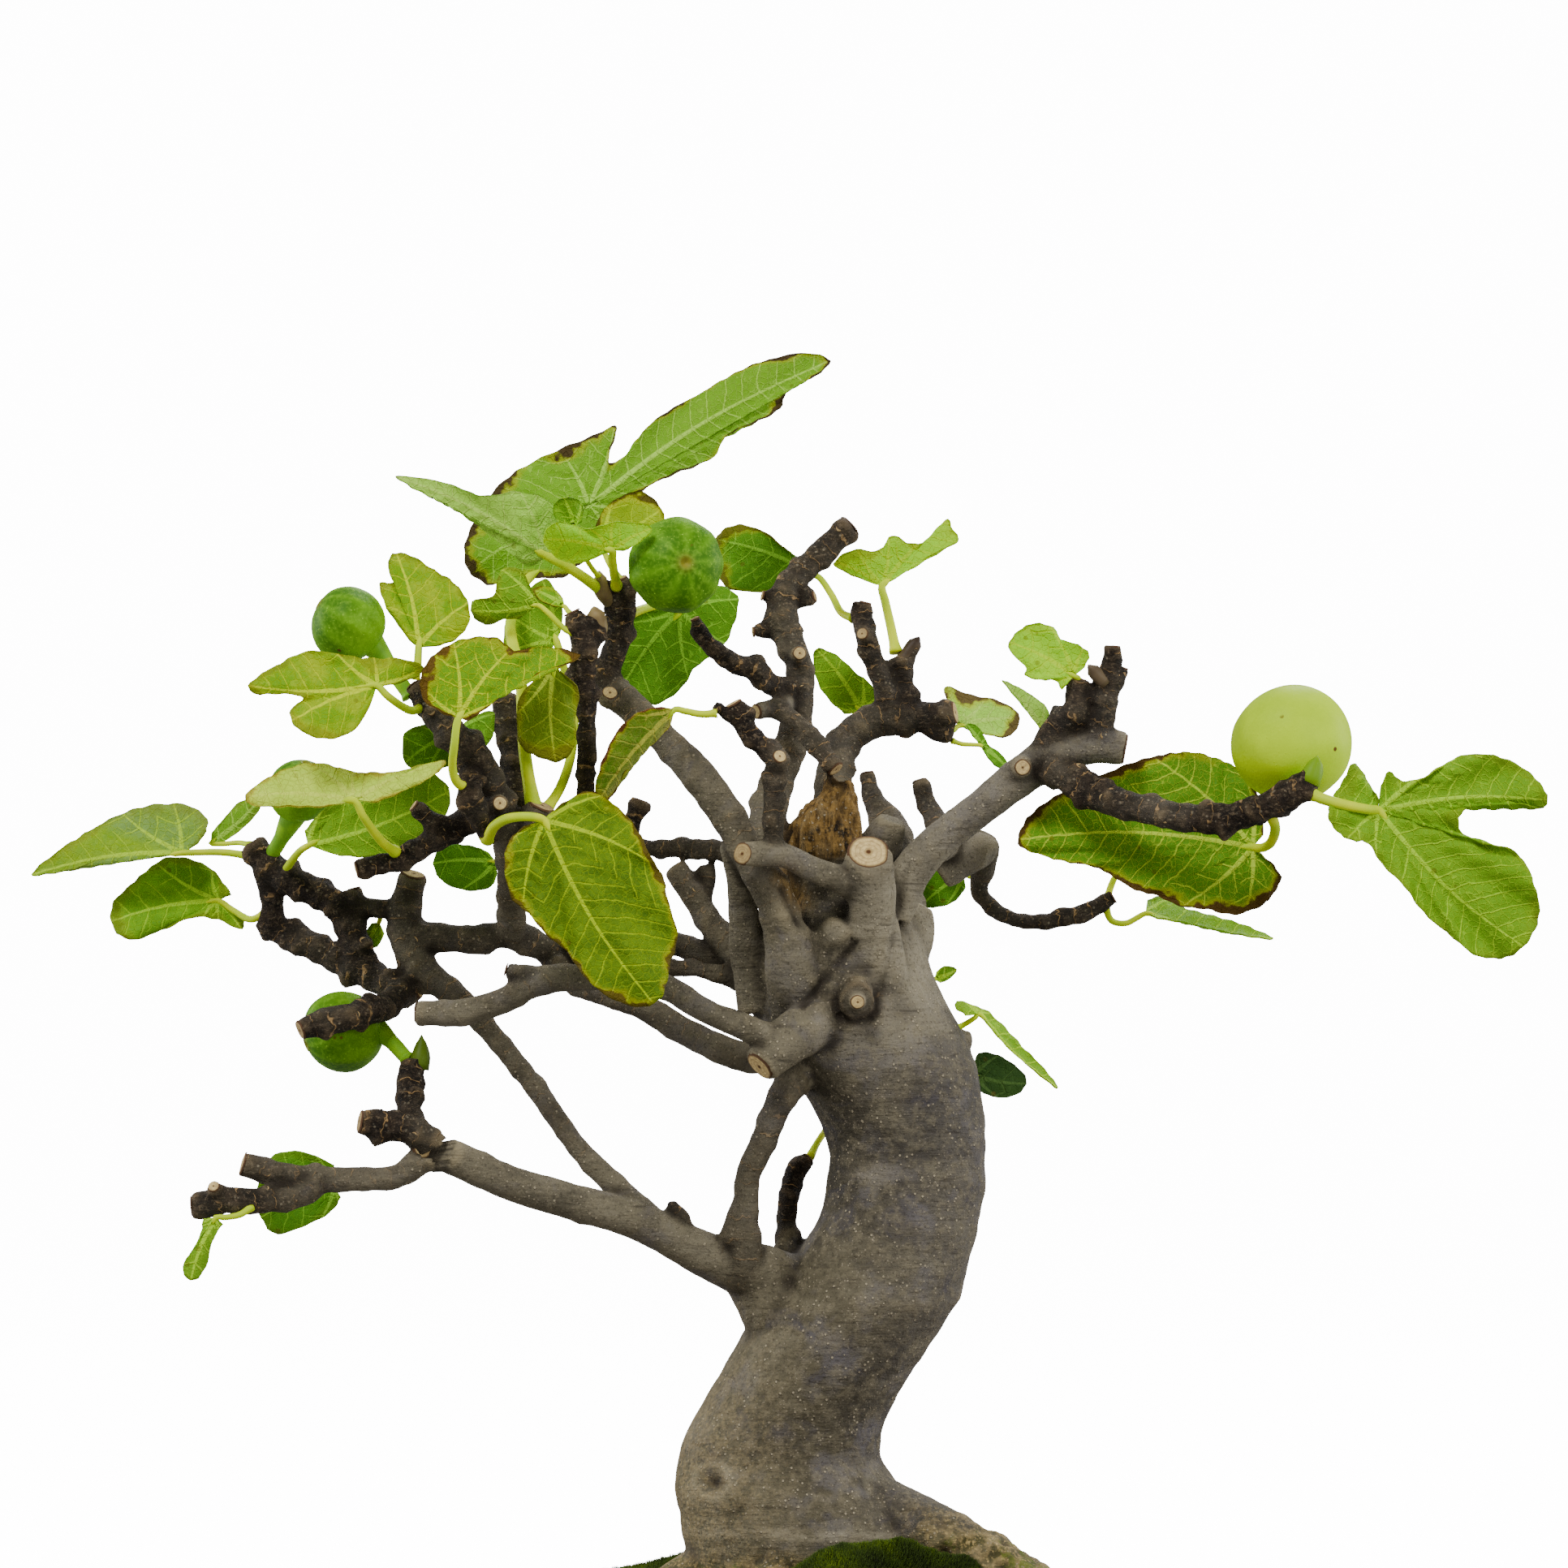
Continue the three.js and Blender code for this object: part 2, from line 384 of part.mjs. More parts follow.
const LEAVES = {
    leaf_top_large: {
        base: [-80.4, -6, 389], hub: [-62, 411], tip: [12, 456],
        lean: [0.05, 0.32], fold: -0.12, bow: 0.1, wave: 1.5, stalk: 2,
        outline: [
            [-93.4, 386.8], [-99.1, 391], [-100.4, 398], [-97.6, 406], [-91.4, 415.8], [-83.6, 422.3],
            [-72.4, 428], [-60.9, 432.8], [-53.4, 435.8], [-55.2, 429.4], [-56, 424.6], [-52.4, 425.3],
            [-42.4, 437], [-27.9, 445.8], [-10.9, 454.8], [5.6, 458.3], [12.4, 455.8], [9.6, 452.6],
            [-1.1, 446.2], [-3.1, 441.3], [-19.9, 432.5], [-23.4, 426.3], [-34.4, 421.8], [-45.6, 415.8],
            [-55.6, 406.8], [-62, 396], [-70, 389]
        ],
        petiole: [[-78.6, -28, 316], [-81.7, -28, 335], [-83, -27, 358], [-86.2, -19, 374], [-82.5, -9, 386]]
    },
    leaf_top_back: {
        base: [-57.2, -9, 401], tip: [-41, 412], lean: [0, 0.2], fold: 0.1, bow: 0, wave: 0.6, stalk: 1,
        outline: [
            [-60, 405], [-57.4, 410], [-52.2, 414], [-45.9, 415.6], [-40.4, 411.5], [-38.6, 405.8],
            [-43.4, 402], [-50, 399.6]
        ],
        petiole: [[-52, -13, 388], [-56, -12, 394], [-57.6, -10, 399]]
    },
    leaf_top_pale: {
        base: [-75.4, -18, 396], tip: [-121.2, 420.3],
        lean: [0.12, -0.35], fold: 0.2, bow: -0.1, wave: 1, stalk: 1.8,
        outline: [
            [-77.4, 393.4], [-80.9, 392.8], [-85.4, 395.8], [-92.2, 402], [-103.4, 410], [-121.4, 420.2],
            [-107.2, 418.6], [-94.4, 414.3], [-83.4, 415.6], [-74, 412.5], [-70.4, 405.8], [-71.4, 399.6]
        ],
        petiole: [[-57, -12, 383.8], [-62, -15, 388], [-70, -18, 393.2]]
    },
    leaf_top_crinkled: {
        base: [-66.6, -24, 404.6], tip: [-71, 412.5],
        lean: [0.2, -0.4], fold: 0.4, bow: 0, wave: 1.6, stalk: 0.8,
        outline: [
            [-69.6, 405.4], [-72.4, 407.5], [-72.9, 411.3], [-69.7, 413.8], [-65.4, 413], [-63.7, 409.6],
            [-64.2, 406.4]
        ],
        petiole: [[-58.8, -12.9, 389.2], [-62, -20, 393.4], [-66, -25, 401]]
    },
    leaf_top_bright: {
        base: [-54.9, -27, 397.5], tip: [-76, 400],
        lean: [0.1, -0.5], fold: 0.35, bow: -0.3, wave: 1.2, stalk: 1.5,
        outline: [
            [-59.7, 395.8], [-65.4, 393.5], [-71.4, 394.8], [-76.2, 401], [-72.9, 405.8], [-67, 405.2],
            [-61.5, 404.2], [-53.4, 406.3], [-42.5, 404.3], [-46.3, 400], [-51.4, 397.4]
        ],
        petiole: [[-53.4, -14, 386.4], [-54.2, -19, 390], [-54.8, -25, 395]]
    },
    leaf_top_scorched: {
        base: [8.4, 32, 389.5], tip: [-22, 395],
        lean: [-0.1, 0.35], fold: -0.25, bow: 0.1, wave: 1.1, stalk: 1.3,
        outline: [
            [3.6, 394], [-3, 399.3], [-9.7, 404], [-17.2, 405.2], [-22.4, 402], [-22.9, 394.5],
            [-20.2, 386.5], [-10.9, 384.6], [-1, 385.2], [5, 387.6]
        ],
        petiole: [[19.6, 25, 376.5], [15.6, 29, 378.5], [12.6, 31, 384]]
    },
    leaf_top_right: {
        base: [28.3, 32, 386.5], tip: [50, 405],
        lean: [0.1, 0.3], fold: -0.7, bow: 0.2, wave: 0.8, stalk: 1.6,
        outline: [
            [24.4, 387.6], [18.8, 390], [13.4, 393.2], [19.1, 397.6], [27.6, 397.6], [31.3, 402.2],
            [37.1, 399.6], [43.5, 401], [48.6, 407.2], [50.2, 403.4], [52.1, 401], [44.1, 396.5],
            [37.1, 392.5], [31.4, 388.4]
        ],
        petiole: [[32.6, 27, 366], [31, 29, 374], [29.2, 31, 382]]
    },
    leaf_behind_fig: {
        base: [-34, 13, 379], tip: [-52, 352],
        lean: [0.15, 0.25], fold: -0.15, bow: 0.1, wave: 1.3, stalk: 1.5,
        outline: [
            [-42, 381.5], [-48, 378], [-52.4, 370], [-54.4, 360], [-54, 353.6], [-47.9, 351.4],
            [-41.4, 350], [-33.9, 354.6], [-28.9, 361.8], [-21.6, 366.6], [-17.4, 374.5], [-16.2, 383.3],
            [-22.4, 386.6], [-29, 384.4]
        ],
        petiole: [[-50, -9, 377.5], [-45, -4, 379.5], [-38.6, 8, 380.6]]
    },
    leaf_fork_small: {
        base: [-77.7, -26, 380.6], tip: [-97, 379],
        lean: [0.2, -0.4], fold: 0.5, bow: 0.2, wave: 0.6, stalk: 1,
        outline: [
            [-79, 384], [-83.4, 391.6], [-88.9, 391.6], [-91.7, 383.4], [-97.9, 381.8], [-97.9, 377.6],
            [-93.7, 374.6], [-88.8, 376.2], [-83.6, 376.4]
        ],
        petiole: [[-66, -26, 371.4], [-69.4, -27, 373.2], [-75, -27, 378.6]]
    },
    leaf_fork_tip: {
        base: [-69.5, -22, 380.2], tip: [-79, 384],
        lean: [0.3, 0.3], fold: 0.4, bow: 0, wave: 0.3, stalk: 0.9,
        outline: [[-70, 382.6], [-72, 385], [-75.6, 386.4], [-79.4, 385.4], [-77.9, 382.6], [-72.8, 380]],
        petiole: [[-66.6, -24, 377], [-68.6, -23, 379]]
    },
    leaf_inner_left: {
        base: [-72, -10, 369.5], tip: [-78, 388],
        lean: [0.2, 0.25], fold: -0.1, bow: 0.1, wave: 0.8, stalk: 1.6,
        outline: [
            [-70.6, 372.5], [-70.4, 380.8], [-75.4, 388.6], [-82.2, 383.3], [-87.9, 374], [-87.4, 367],
            [-80.7, 363.6], [-74.4, 366]
        ],
        petiole: [[-75.6, -26, 317], [-71, -22, 324], [-67.6, -17, 334], [-66.6, -14, 346], [-69.4, -12, 360]]
    },
    leaf_front_large: {
        base: [-75.9, -46, 314.3], tip: [-44.9, 257],
        lean: [0.1, 0.28], fold: 0.22, bow: 0.12, wave: 1.4, stalk: 1.7,
        outline: [
            [-82, 312], [-86.2, 308.6], [-88, 301.3], [-85.6, 290], [-80.4, 285.5], [-74.9, 278.8],
            [-69.4, 274.5], [-62.7, 265.5], [-54.9, 259.3], [-44.9, 256.8], [-39.7, 259.8], [-37, 270],
            [-34.7, 278.8], [-38.2, 291], [-39.2, 296.8], [-42.4, 302.3], [-48.2, 313], [-53.4, 318.5],
            [-58.2, 322], [-63.7, 323], [-70, 319.4]
        ],
        petiole: [[-93.4, -36, 308.4], [-91, -41, 312.6], [-86.4, -45, 315], [-79.6, -47, 315.4]]
    },
    leaf_folded_front: {
        base: [-35.4, -30, 348.5], tip: [-59.6, 320],
        lean: [0.9, -0.75], fold: 0.4, bow: 0.15, wave: 0.8, stalk: 1.2,
        outline: [
            [-39, 349.2], [-44, 348.5], [-51.4, 344], [-56.4, 336], [-59.6, 326.5], [-60, 319],
            [-55.9, 320.8], [-50.4, 329.8], [-43.4, 336.6], [-37.6, 342.5]
        ],
        petiole: [[-22.5, -30, 347.4], [-27, -30, 347], [-32.6, -30, 348]]
    },
    leaf_hanging: {
        base: [-72.9, -32, 361.5], tip: [-71, 332.5],
        lean: [0.05, 0.12], fold: 0.2, bow: 0.1, wave: 0.9, stalk: 1.1,
        outline: [
            [-77.9, 358.6], [-83.4, 352], [-84.2, 345.8], [-82.7, 336.8], [-77.9, 333.9], [-70.9, 332.4],
            [-66.4, 337], [-66.2, 345.8], [-65.2, 354.6], [-69.2, 358.6]
        ],
        petiole: [[-66.4, -26, 364.4], [-69, -30, 364.6], [-72, -32, 363.6]]
    },
    leaf_round_front: {
        base: [-102.2, -48, 345.8], tip: [-86, 368],
        lean: [0.33, 0.15], fold: 0.12, bow: 0.1, wave: 1.1, stalk: 1.5,
        outline: [
            [-107.2, 347.5], [-112.9, 351.5], [-114, 357.6], [-111.4, 363.6], [-105.9, 368], [-98.4, 370.6],
            [-90.4, 370.4], [-84.9, 366.6], [-79.7, 367.6], [-74.7, 367.8], [-64.7, 364.9], [-76.4, 360],
            [-85.4, 355.3], [-93.4, 349], [-99, 345]
        ],
        petiole: [[-99.8, -39.6, 324.4], [-102.6, -43, 326], [-104, -45, 330], [-103.4, -48, 338]]
    },
    leaf_upper_left: {
        base: [-114.4, -29, 367.8], tip: [-110, 394],
        lean: [-0.05, 0.3], fold: -0.2, bow: 0.15, wave: 1.2, stalk: 1.4,
        outline: [
            [-117.4, 370], [-121.2, 375], [-124.7, 380.8], [-126.4, 387.4], [-121.6, 387.6],
            [-123.9, 392.3], [-122.6, 396.4], [-116.7, 395.8], [-109.7, 391.4], [-103.9, 387.8],
            [-99.7, 382.5], [-98.9, 375], [-103, 370.2], [-108.4, 368]
        ],
        petiole: [[-115.6, -30, 357.6], [-114.8, -30, 362]]
    },
    leaf_left_lobed: {
        base: [-127.4, -42, 355.8], tip: [-166, 354.5],
        lean: [0.15, 0.5], fold: -0.1, bow: 0.1, wave: 1.2, stalk: 1.4,
        outline: [
            [-121.4, 356.6], [-114.6, 358.8], [-112.8, 361.5], [-119.7, 364], [-130.9, 364.2],
            [-139.7, 365.6], [-148.4, 366.5], [-157.2, 362.6], [-166.9, 355.8], [-165.4, 353.3],
            [-157.2, 353.5], [-150, 352], [-153.9, 348.4], [-152.9, 343.6], [-142.9, 339.3],
            [-133.9, 342.5], [-129.7, 349]
        ],
        petiole: [[-112.6, -33, 349.6], [-117, -38, 348.2], [-124, -42, 352.6]]
    },
    leaf_left_wide: {
        base: [-134.2, -44, 320.3], tip: [-167, 320],
        lean: [-0.12, 0.8], fold: 0, bow: -0.1, wave: 1.1, stalk: 1.5,
        outline: [
            [-143.4, 318.4], [-154.7, 318.6], [-165.9, 319], [-168, 321.4], [-162.2, 326.6],
            [-153.4, 330.8], [-144.7, 331.8], [-133.4, 329.2], [-120.9, 329.4], [-112.2, 331.8],
            [-106, 332.4], [-109.6, 328.3], [-118.4, 323.6], [-127.2, 320]
        ],
        petiole: [[-121.6, -33, 304.6], [-126, -38, 308], [-131.6, -43, 315.6]]
    },
    leaf_left_dark: {
        base: [-148.4, -4, 306.5], tip: [-108, 328],
        lean: [-0.1, 0.25], fold: -0.1, bow: 0, wave: 1.2, stalk: 1.3,
        outline: [
            [-149.6, 311], [-143.4, 318], [-133.4, 323.6], [-120.9, 328.3], [-111.4, 329.5], [-104.8, 323.3],
            [-107.2, 314], [-115.9, 307.6], [-125.9, 303.6], [-138.4, 303.3]
        ],
        petiole: [[-156, 11, 298], [-153.4, 5, 302], [-150.6, -1, 305.2]]
    },
    leaf_left_shadow: {
        base: [-90.6, -4, 301.5], tip: [-113, 303], lean: [0.1, 0.3], fold: -0.1, bow: 0, wave: 0.8, stalk: 1,
        outline: [
            [-93, 304.6], [-98, 306.4], [-103.4, 306.8], [-108, 305.6], [-110, 301], [-107.2, 295.6],
            [-98.4, 292.6], [-92, 294], [-90.4, 298]
        ],
        petiole: [[-86.4, -14, 297], [-87.6, -8, 299], [-89.6, -5, 300.8]]
    },
    leaf_centre_hidden: {
        base: [-104.4, -26, 341], tip: [-112, 331], lean: [0.1, 0.2], fold: -0.1, bow: 0, wave: 0.8, stalk: 1,
        outline: [
            [-110.4, 344], [-114, 343.5], [-118.9, 341], [-117.9, 331], [-108.4, 330.4], [-99.7, 332.6],
            [-92.2, 339], [-91.6, 347.8], [-98.4, 346]
        ],
        petiole: [[-105.4, -33, 341.4], [-105, -29, 341.2]]
    },
    leaf_far_left: {
        base: [-187.4, 18, 304.2], tip: [-233, 298],
        lean: [-0.1, 0.8], fold: -0.25, bow: 0.1, wave: 1.2, stalk: 1.2,
        outline: [
            [-195.9, 303.4], [-208.4, 303], [-220.9, 299.6], [-233.7, 297.5], [-225.9, 304.6], [-215.9, 311],
            [-205.9, 316.4], [-195.9, 319.1], [-185.9, 319], [-179.6, 314.8], [-180.6, 309.5], [-185, 305.6]
        ],
        petiole: [[-166, 15, 303.2], [-174, 17, 304.4], [-183.4, 18, 304.4]]
    },
    leaf_left_lower: {
        base: [-176.4, 26, 289.6], tip: [-208, 284],
        lean: [0.1, 0.35], fold: -0.15, bow: 0.1, wave: 1.3, stalk: 1.2,
        outline: [
            [-172, 291.4], [-177.2, 298.3], [-183.4, 302], [-192.2, 302.8], [-198.4, 298.6],
            [-203.2, 294.5], [-208.9, 288.3], [-208.4, 280.8], [-203.4, 277.5], [-193.4, 280.6],
            [-183.4, 284.6], [-176, 283.6], [-169, 280.8], [-167.6, 285.4]
        ],
        petiole: [[-162, 17, 285.4], [-166, 19, 283.8], [-171.6, 24, 286.6]]
    },
    leaf_left_narrow: {
        base: [-178.6, 24, 307.2], tip: [-163, 321],
        lean: [0.2, 0.2], fold: 0.3, bow: 0.2, wave: 0.5, stalk: 0.9,
        outline: [
            [-178.2, 310.6], [-174.7, 314.6], [-169.7, 319.8], [-162.7, 321.8], [-163.9, 317],
            [-168.9, 311.6], [-174.7, 307.4]
        ],
        petiole: [[-166.4, 16, 306.8], [-170, 20, 307.4], [-175.6, 23.5, 307]]
    },
    leaf_back_right: {
        base: [22, 34, 347.5], tip: [6, 366], lean: [0.1, 0.25], fold: -0.15, bow: 0.1, wave: 1, stalk: 1.2,
        outline: [
            [16.6, 347], [10.3, 353.6], [7.3, 360.8], [8, 367.2], [14.1, 365.2], [20.3, 359.8],
            [25.3, 355.6], [26.2, 350.4]
        ],
        petiole: [[25.6, 27, 345.8], [24, 31, 347]]
    },
    leaf_right_brown: {
        base: [52, 30, 343.4], tip: [70, 345], lean: [0.2, 0.5], fold: 0.1, bow: 0.1, wave: 1, stalk: 1,
        outline: [
            [49.8, 347.4], [47.6, 355.4], [55.3, 353], [64.1, 351], [70.3, 347.2], [69.9, 342.5],
            [66.6, 340], [60.3, 340.9], [56, 341.6]
        ],
        petiole: [[48.8, 25.4, 342.2], [50.2, 27.6, 342]]
    },
    leaf_right_small: {
        base: [58.6, 28, 337.4], tip: [66, 332], lean: [0.3, 0.5], fold: -0.3, bow: 0, wave: 0.3, stalk: 0.8,
        outline: [
            [56.2, 340.2], [54.3, 344], [57, 343.6], [59.6, 340.6], [61, 337.6], [64, 335.6], [66.6, 332.6],
            [67.3, 329.8], [64, 330.6], [60.8, 333.6]
        ],
        petiole: [[50, 25, 338.8], [53, 26.6, 337.8], [56.6, 27.6, 337.6]]
    },
    leaf_right_top: {
        base: [87.4, -16, 358.8], tip: [69, 368],
        lean: [0.15, 0.2], fold: -0.15, bow: 0.1, wave: 1.1, stalk: 1,
        outline: [
            [83.6, 354.4], [81.6, 357.4], [77, 357.6], [72.2, 359.2], [72.6, 361], [67.1, 367.8],
            [70.4, 372.8], [75.4, 375.1], [81.1, 373.6], [83.2, 370.3], [88.9, 368.4], [92.2, 365.4],
            [90.6, 361.4]
        ],
        petiole: [[89, -14, 357], [88.6, -15.4, 358.2]]
    },
    leaf_right_pale: {
        base: [78, -4, 341.6], tip: [65.6, 357.2], lean: [0.3, 0.2], fold: 0.3, bow: 0.2, wave: 0.4, stalk: 1,
        outline: [
            [75, 345.4], [70.4, 351.6], [65.3, 357.4], [68.6, 356.2], [74.1, 353], [79, 349], [80.4, 344.6]
        ],
        petiole: [[79, -10, 338], [78.8, -7, 340]]
    },
    leaf_far_right: {
        base: [181.4, -41, 317.3], tip: [217, 273],
        lean: [-0.05, 0.15], fold: -0.22, bow: 0.12, wave: 1.6, stalk: 1.8,
        outline: [
            [181, 321], [178.2, 326], [173.4, 332], [170.6, 327], [166.9, 320.8], [165.6, 315.6],
            [168.4, 310.8], [173, 308], [177.6, 307.6], [182, 301], [189.1, 294], [196, 285], [204.4, 278],
            [210.6, 273], [217, 271.7], [223, 273], [229, 279.6], [230.9, 286.6], [229.4, 294],
            [226.6, 301], [222, 305.2], [213.2, 307.4], [207, 310.4], [206, 315], [209.4, 318.4],
            [217.1, 319.8], [226.4, 319.4], [232.1, 318], [233.4, 320.8], [231, 325.8], [225, 331],
            [216.4, 334.4], [208, 334.4], [200.4, 331], [194.4, 327.2], [188.6, 326.4], [184.4, 329.4],
            [182, 325]
        ],
        petiole: [[160, -38, 322.6], [165, -41, 320.6], [173, -42, 318.6], [178.6, -42, 317.6]]
    },
    leaf_right_large: {
        base: [142.6, -16, 306], tip: [71, 307],
        lean: [-0.16, 0.3], fold: 0.12, bow: -0.05, wave: 1.3, stalk: 1.7,
        outline: [
            [147.9, 301.5], [151.2, 296.8], [149, 291.8], [145.4, 288.2], [136.6, 285.2], [128.6, 286.8],
            [119.9, 288], [112.6, 291.2], [106.4, 292.8], [99.1, 297.2], [93.6, 300], [86.4, 301.3],
            [76.1, 304], [70.2, 307], [71.6, 312.8], [76.1, 318], [84, 323], [94, 327.4], [104.6, 331.8],
            [111.9, 333.8], [117.4, 335], [123.9, 335.3], [131.1, 333.4], [137.4, 330.6], [142.6, 325],
            [145.6, 317], [145.6, 310]
        ],
        petiole: [[147.6, -34, 317], [149.4, -29, 312], [148, -23, 307.4], [145, -18, 305.8]]
    },
    leaf_right_under: {
        base: [109.4, 27, 285.6], tip: [148.6, 278],
        lean: [0.2, 1.6], fold: 0, bow: 0.1, wave: 0.5, stalk: 1.1,
        outline: [
            [110, 289.8], [114.1, 290.8], [120.6, 287.6], [131.9, 284.4], [139.9, 282], [148.9, 277.8],
            [138.1, 279], [130.1, 280.6], [119.9, 282.9], [113, 284]
        ],
        petiole: [[97, 24, 288], [99, 25, 283.4], [103.4, 26, 282.6], [107.4, 27, 284.6]]
    },
    leaf_right_upright: {
        base: [100.2, 25, 297], tip: [112, 310], lean: [0.2, 0.3], fold: 0.1, bow: 0, wave: 0.6, stalk: 1.2,
        outline: [
            [97.6, 300], [98, 307], [103, 312.6], [110, 312.4], [112.6, 307], [108, 300.6], [103.4, 297.6]
        ],
        petiole: [[97.4, 24, 289.4], [98.8, 25, 294]]
    },
    leaf_behind_right: {
        base: [53.4, 28, 297.6], tip: [40, 292], lean: [0.1, 0.25], fold: -0.1, bow: 0, wave: 0.7, stalk: 1,
        outline: [
            [52.6, 301], [49.6, 303], [43.6, 300.6], [39.6, 294.5], [40.4, 288], [45.4, 287.6], [51, 289.6],
            [54, 293.6]
        ],
        petiole: [[58.4, 21, 296], [55.6, 25, 297]]
    },
    leaf_trunk_long: {
        base: [58.2, -4, 254.6], tip: [82.4, 231.8],
        lean: [0.7, 0.8], fold: 0.1, bow: 0.1, wave: 0.5, stalk: 0.9,
        outline: [
            [54.2, 254.2], [50.9, 256.6], [51.4, 258.6], [55, 257.6], [60, 256], [66, 250.6], [72.4, 243.6],
            [78, 238.2], [82.6, 231.6], [76, 236.4], [68.6, 242.8], [63, 248.6]
        ],
        petiole: [[51.6, -2, 250.4], [54.6, -3, 252], [57, -4, 253.6]]
    },
    leaf_trunk_dark: {
        base: [56.6, 18, 235.8], tip: [72, 234], lean: [0.1, 0.2], fold: -0.1, bow: 0, wave: 0.5, stalk: 1.1,
        outline: [
            [56.4, 239], [58, 242.6], [62.9, 242.4], [69.1, 239], [72.9, 234.5], [71.1, 230.6],
            [65.4, 228.8], [59.6, 230.3], [56.4, 232.6]
        ],
        petiole: [
            [6, 9, 210.4], [9, 13, 216], [16, 21, 224], [30, 24.5, 231], [46, 22.5, 235.4], [54, 19, 236]
        ]
    },
    leaf_low_left: {
        base: [-140.4, -14, 201.5], tip: [-161, 192],
        lean: [0.05, 0.12], fold: -0.1, bow: 0, wave: 0.9, stalk: 1,
        outline: [
            [-140.4, 208.3], [-151.2, 212.4], [-159.7, 210.8], [-164, 202], [-163, 192], [-158.9, 187],
            [-150.4, 189], [-141.2, 194], [-138.4, 198.3]
        ],
        petiole: [[-136.6, -23, 203.2], [-138.6, -16, 202]]
    },
    leaf_low_tip: {
        base: [-177, -35, 192], tip: [-185, 174],
        lean: [0.4, 0.15], fold: 0.7, bow: 0.1, wave: 0.3, stalk: 1.1,
        outline: [
            [-180.9, 191.6], [-181.6, 187], [-184, 182], [-187.1, 177], [-186.1, 173.3], [-183.2, 172.8],
            [-180, 177], [-178, 184.5], [-174.9, 190]
        ],
        petiole: [[-166, -32, 195.2], [-169.6, -34, 192.8], [-174.4, -35, 192]]
    },
    leaf_hub_small: {
        base: [-126.6, 12, 283], tip: [-130.6, 276],
        lean: [0.2, 0.2], fold: 0.2, bow: 0, wave: 0.3, stalk: 0.9,
        outline: [[-129, 282.6], [-131.2, 279], [-130.4, 275], [-127.2, 275.4], [-125, 279.4]],
        petiole: [[-125.4, 8, 286.6], [-126.2, 11, 284.6]]
    },
    leaf_shoulder_bud: {
        base: [44.4, 5, 265.4], tip: [51, 268], lean: [0.3, 0.3], fold: 0.2, bow: 0, wave: 0.2, stalk: 0.9,
        outline: [[45, 267.6], [47.4, 269.4], [51.4, 268.4], [49, 265.4], [46.4, 264.2]],
        petiole: [[41.6, 5, 264.4], [43.4, 5, 265]]
    }
};

const PETIOLE_SIDES = 4;
const INNER_REACH = 0.55;   // share of the way to the edge where a blade has its inner ring
const BROAD = 11;           // outlines with more points have an inner ring half as dense as the edge
const LOBED = 22;           // and with more than this, one as dense
const FOLD_ROUND = 2;       // how wide the fold at the midrib is rounded
const WAVE_TURN = 2.4;      // turn of the edge's waves from one outline point to the next, in radians
const PETIOLE_TAPER = 0.3;  // how much thinner a petiole is at the blade

function bladePoint(leaf, x, z, wave) {
    const [bx, by, bz] = leaf.base;
    const dx = x - bx;
    const dz = z - bz;
    const length = Math.hypot(leaf.tip[0] - bx, leaf.tip[1] - bz);
    const ux = (leaf.tip[0] - bx) / length;
    const uz = (leaf.tip[1] - bz) / length;
    const along = dx * ux + dz * uz;
    const across = dz * ux - dx * uz;
    const folded = Math.hypot(across, FOLD_ROUND) - FOLD_ROUND;
    const slope = leaf.lean[0] * dx + leaf.lean[1] * dz;
    const depth = slope + leaf.fold * folded + (leaf.bow * along * along) / length;
    return placed(x, by * SPREAD + depth + wave, z);
}

// Edge waves: the height at outline place k, fading towards the petiole
function edgeWave(leaf, k, reach) {
    return leaf.wave * Math.sin(WAVE_TURN * k + leaf.base[0]) * reach * reach;
}

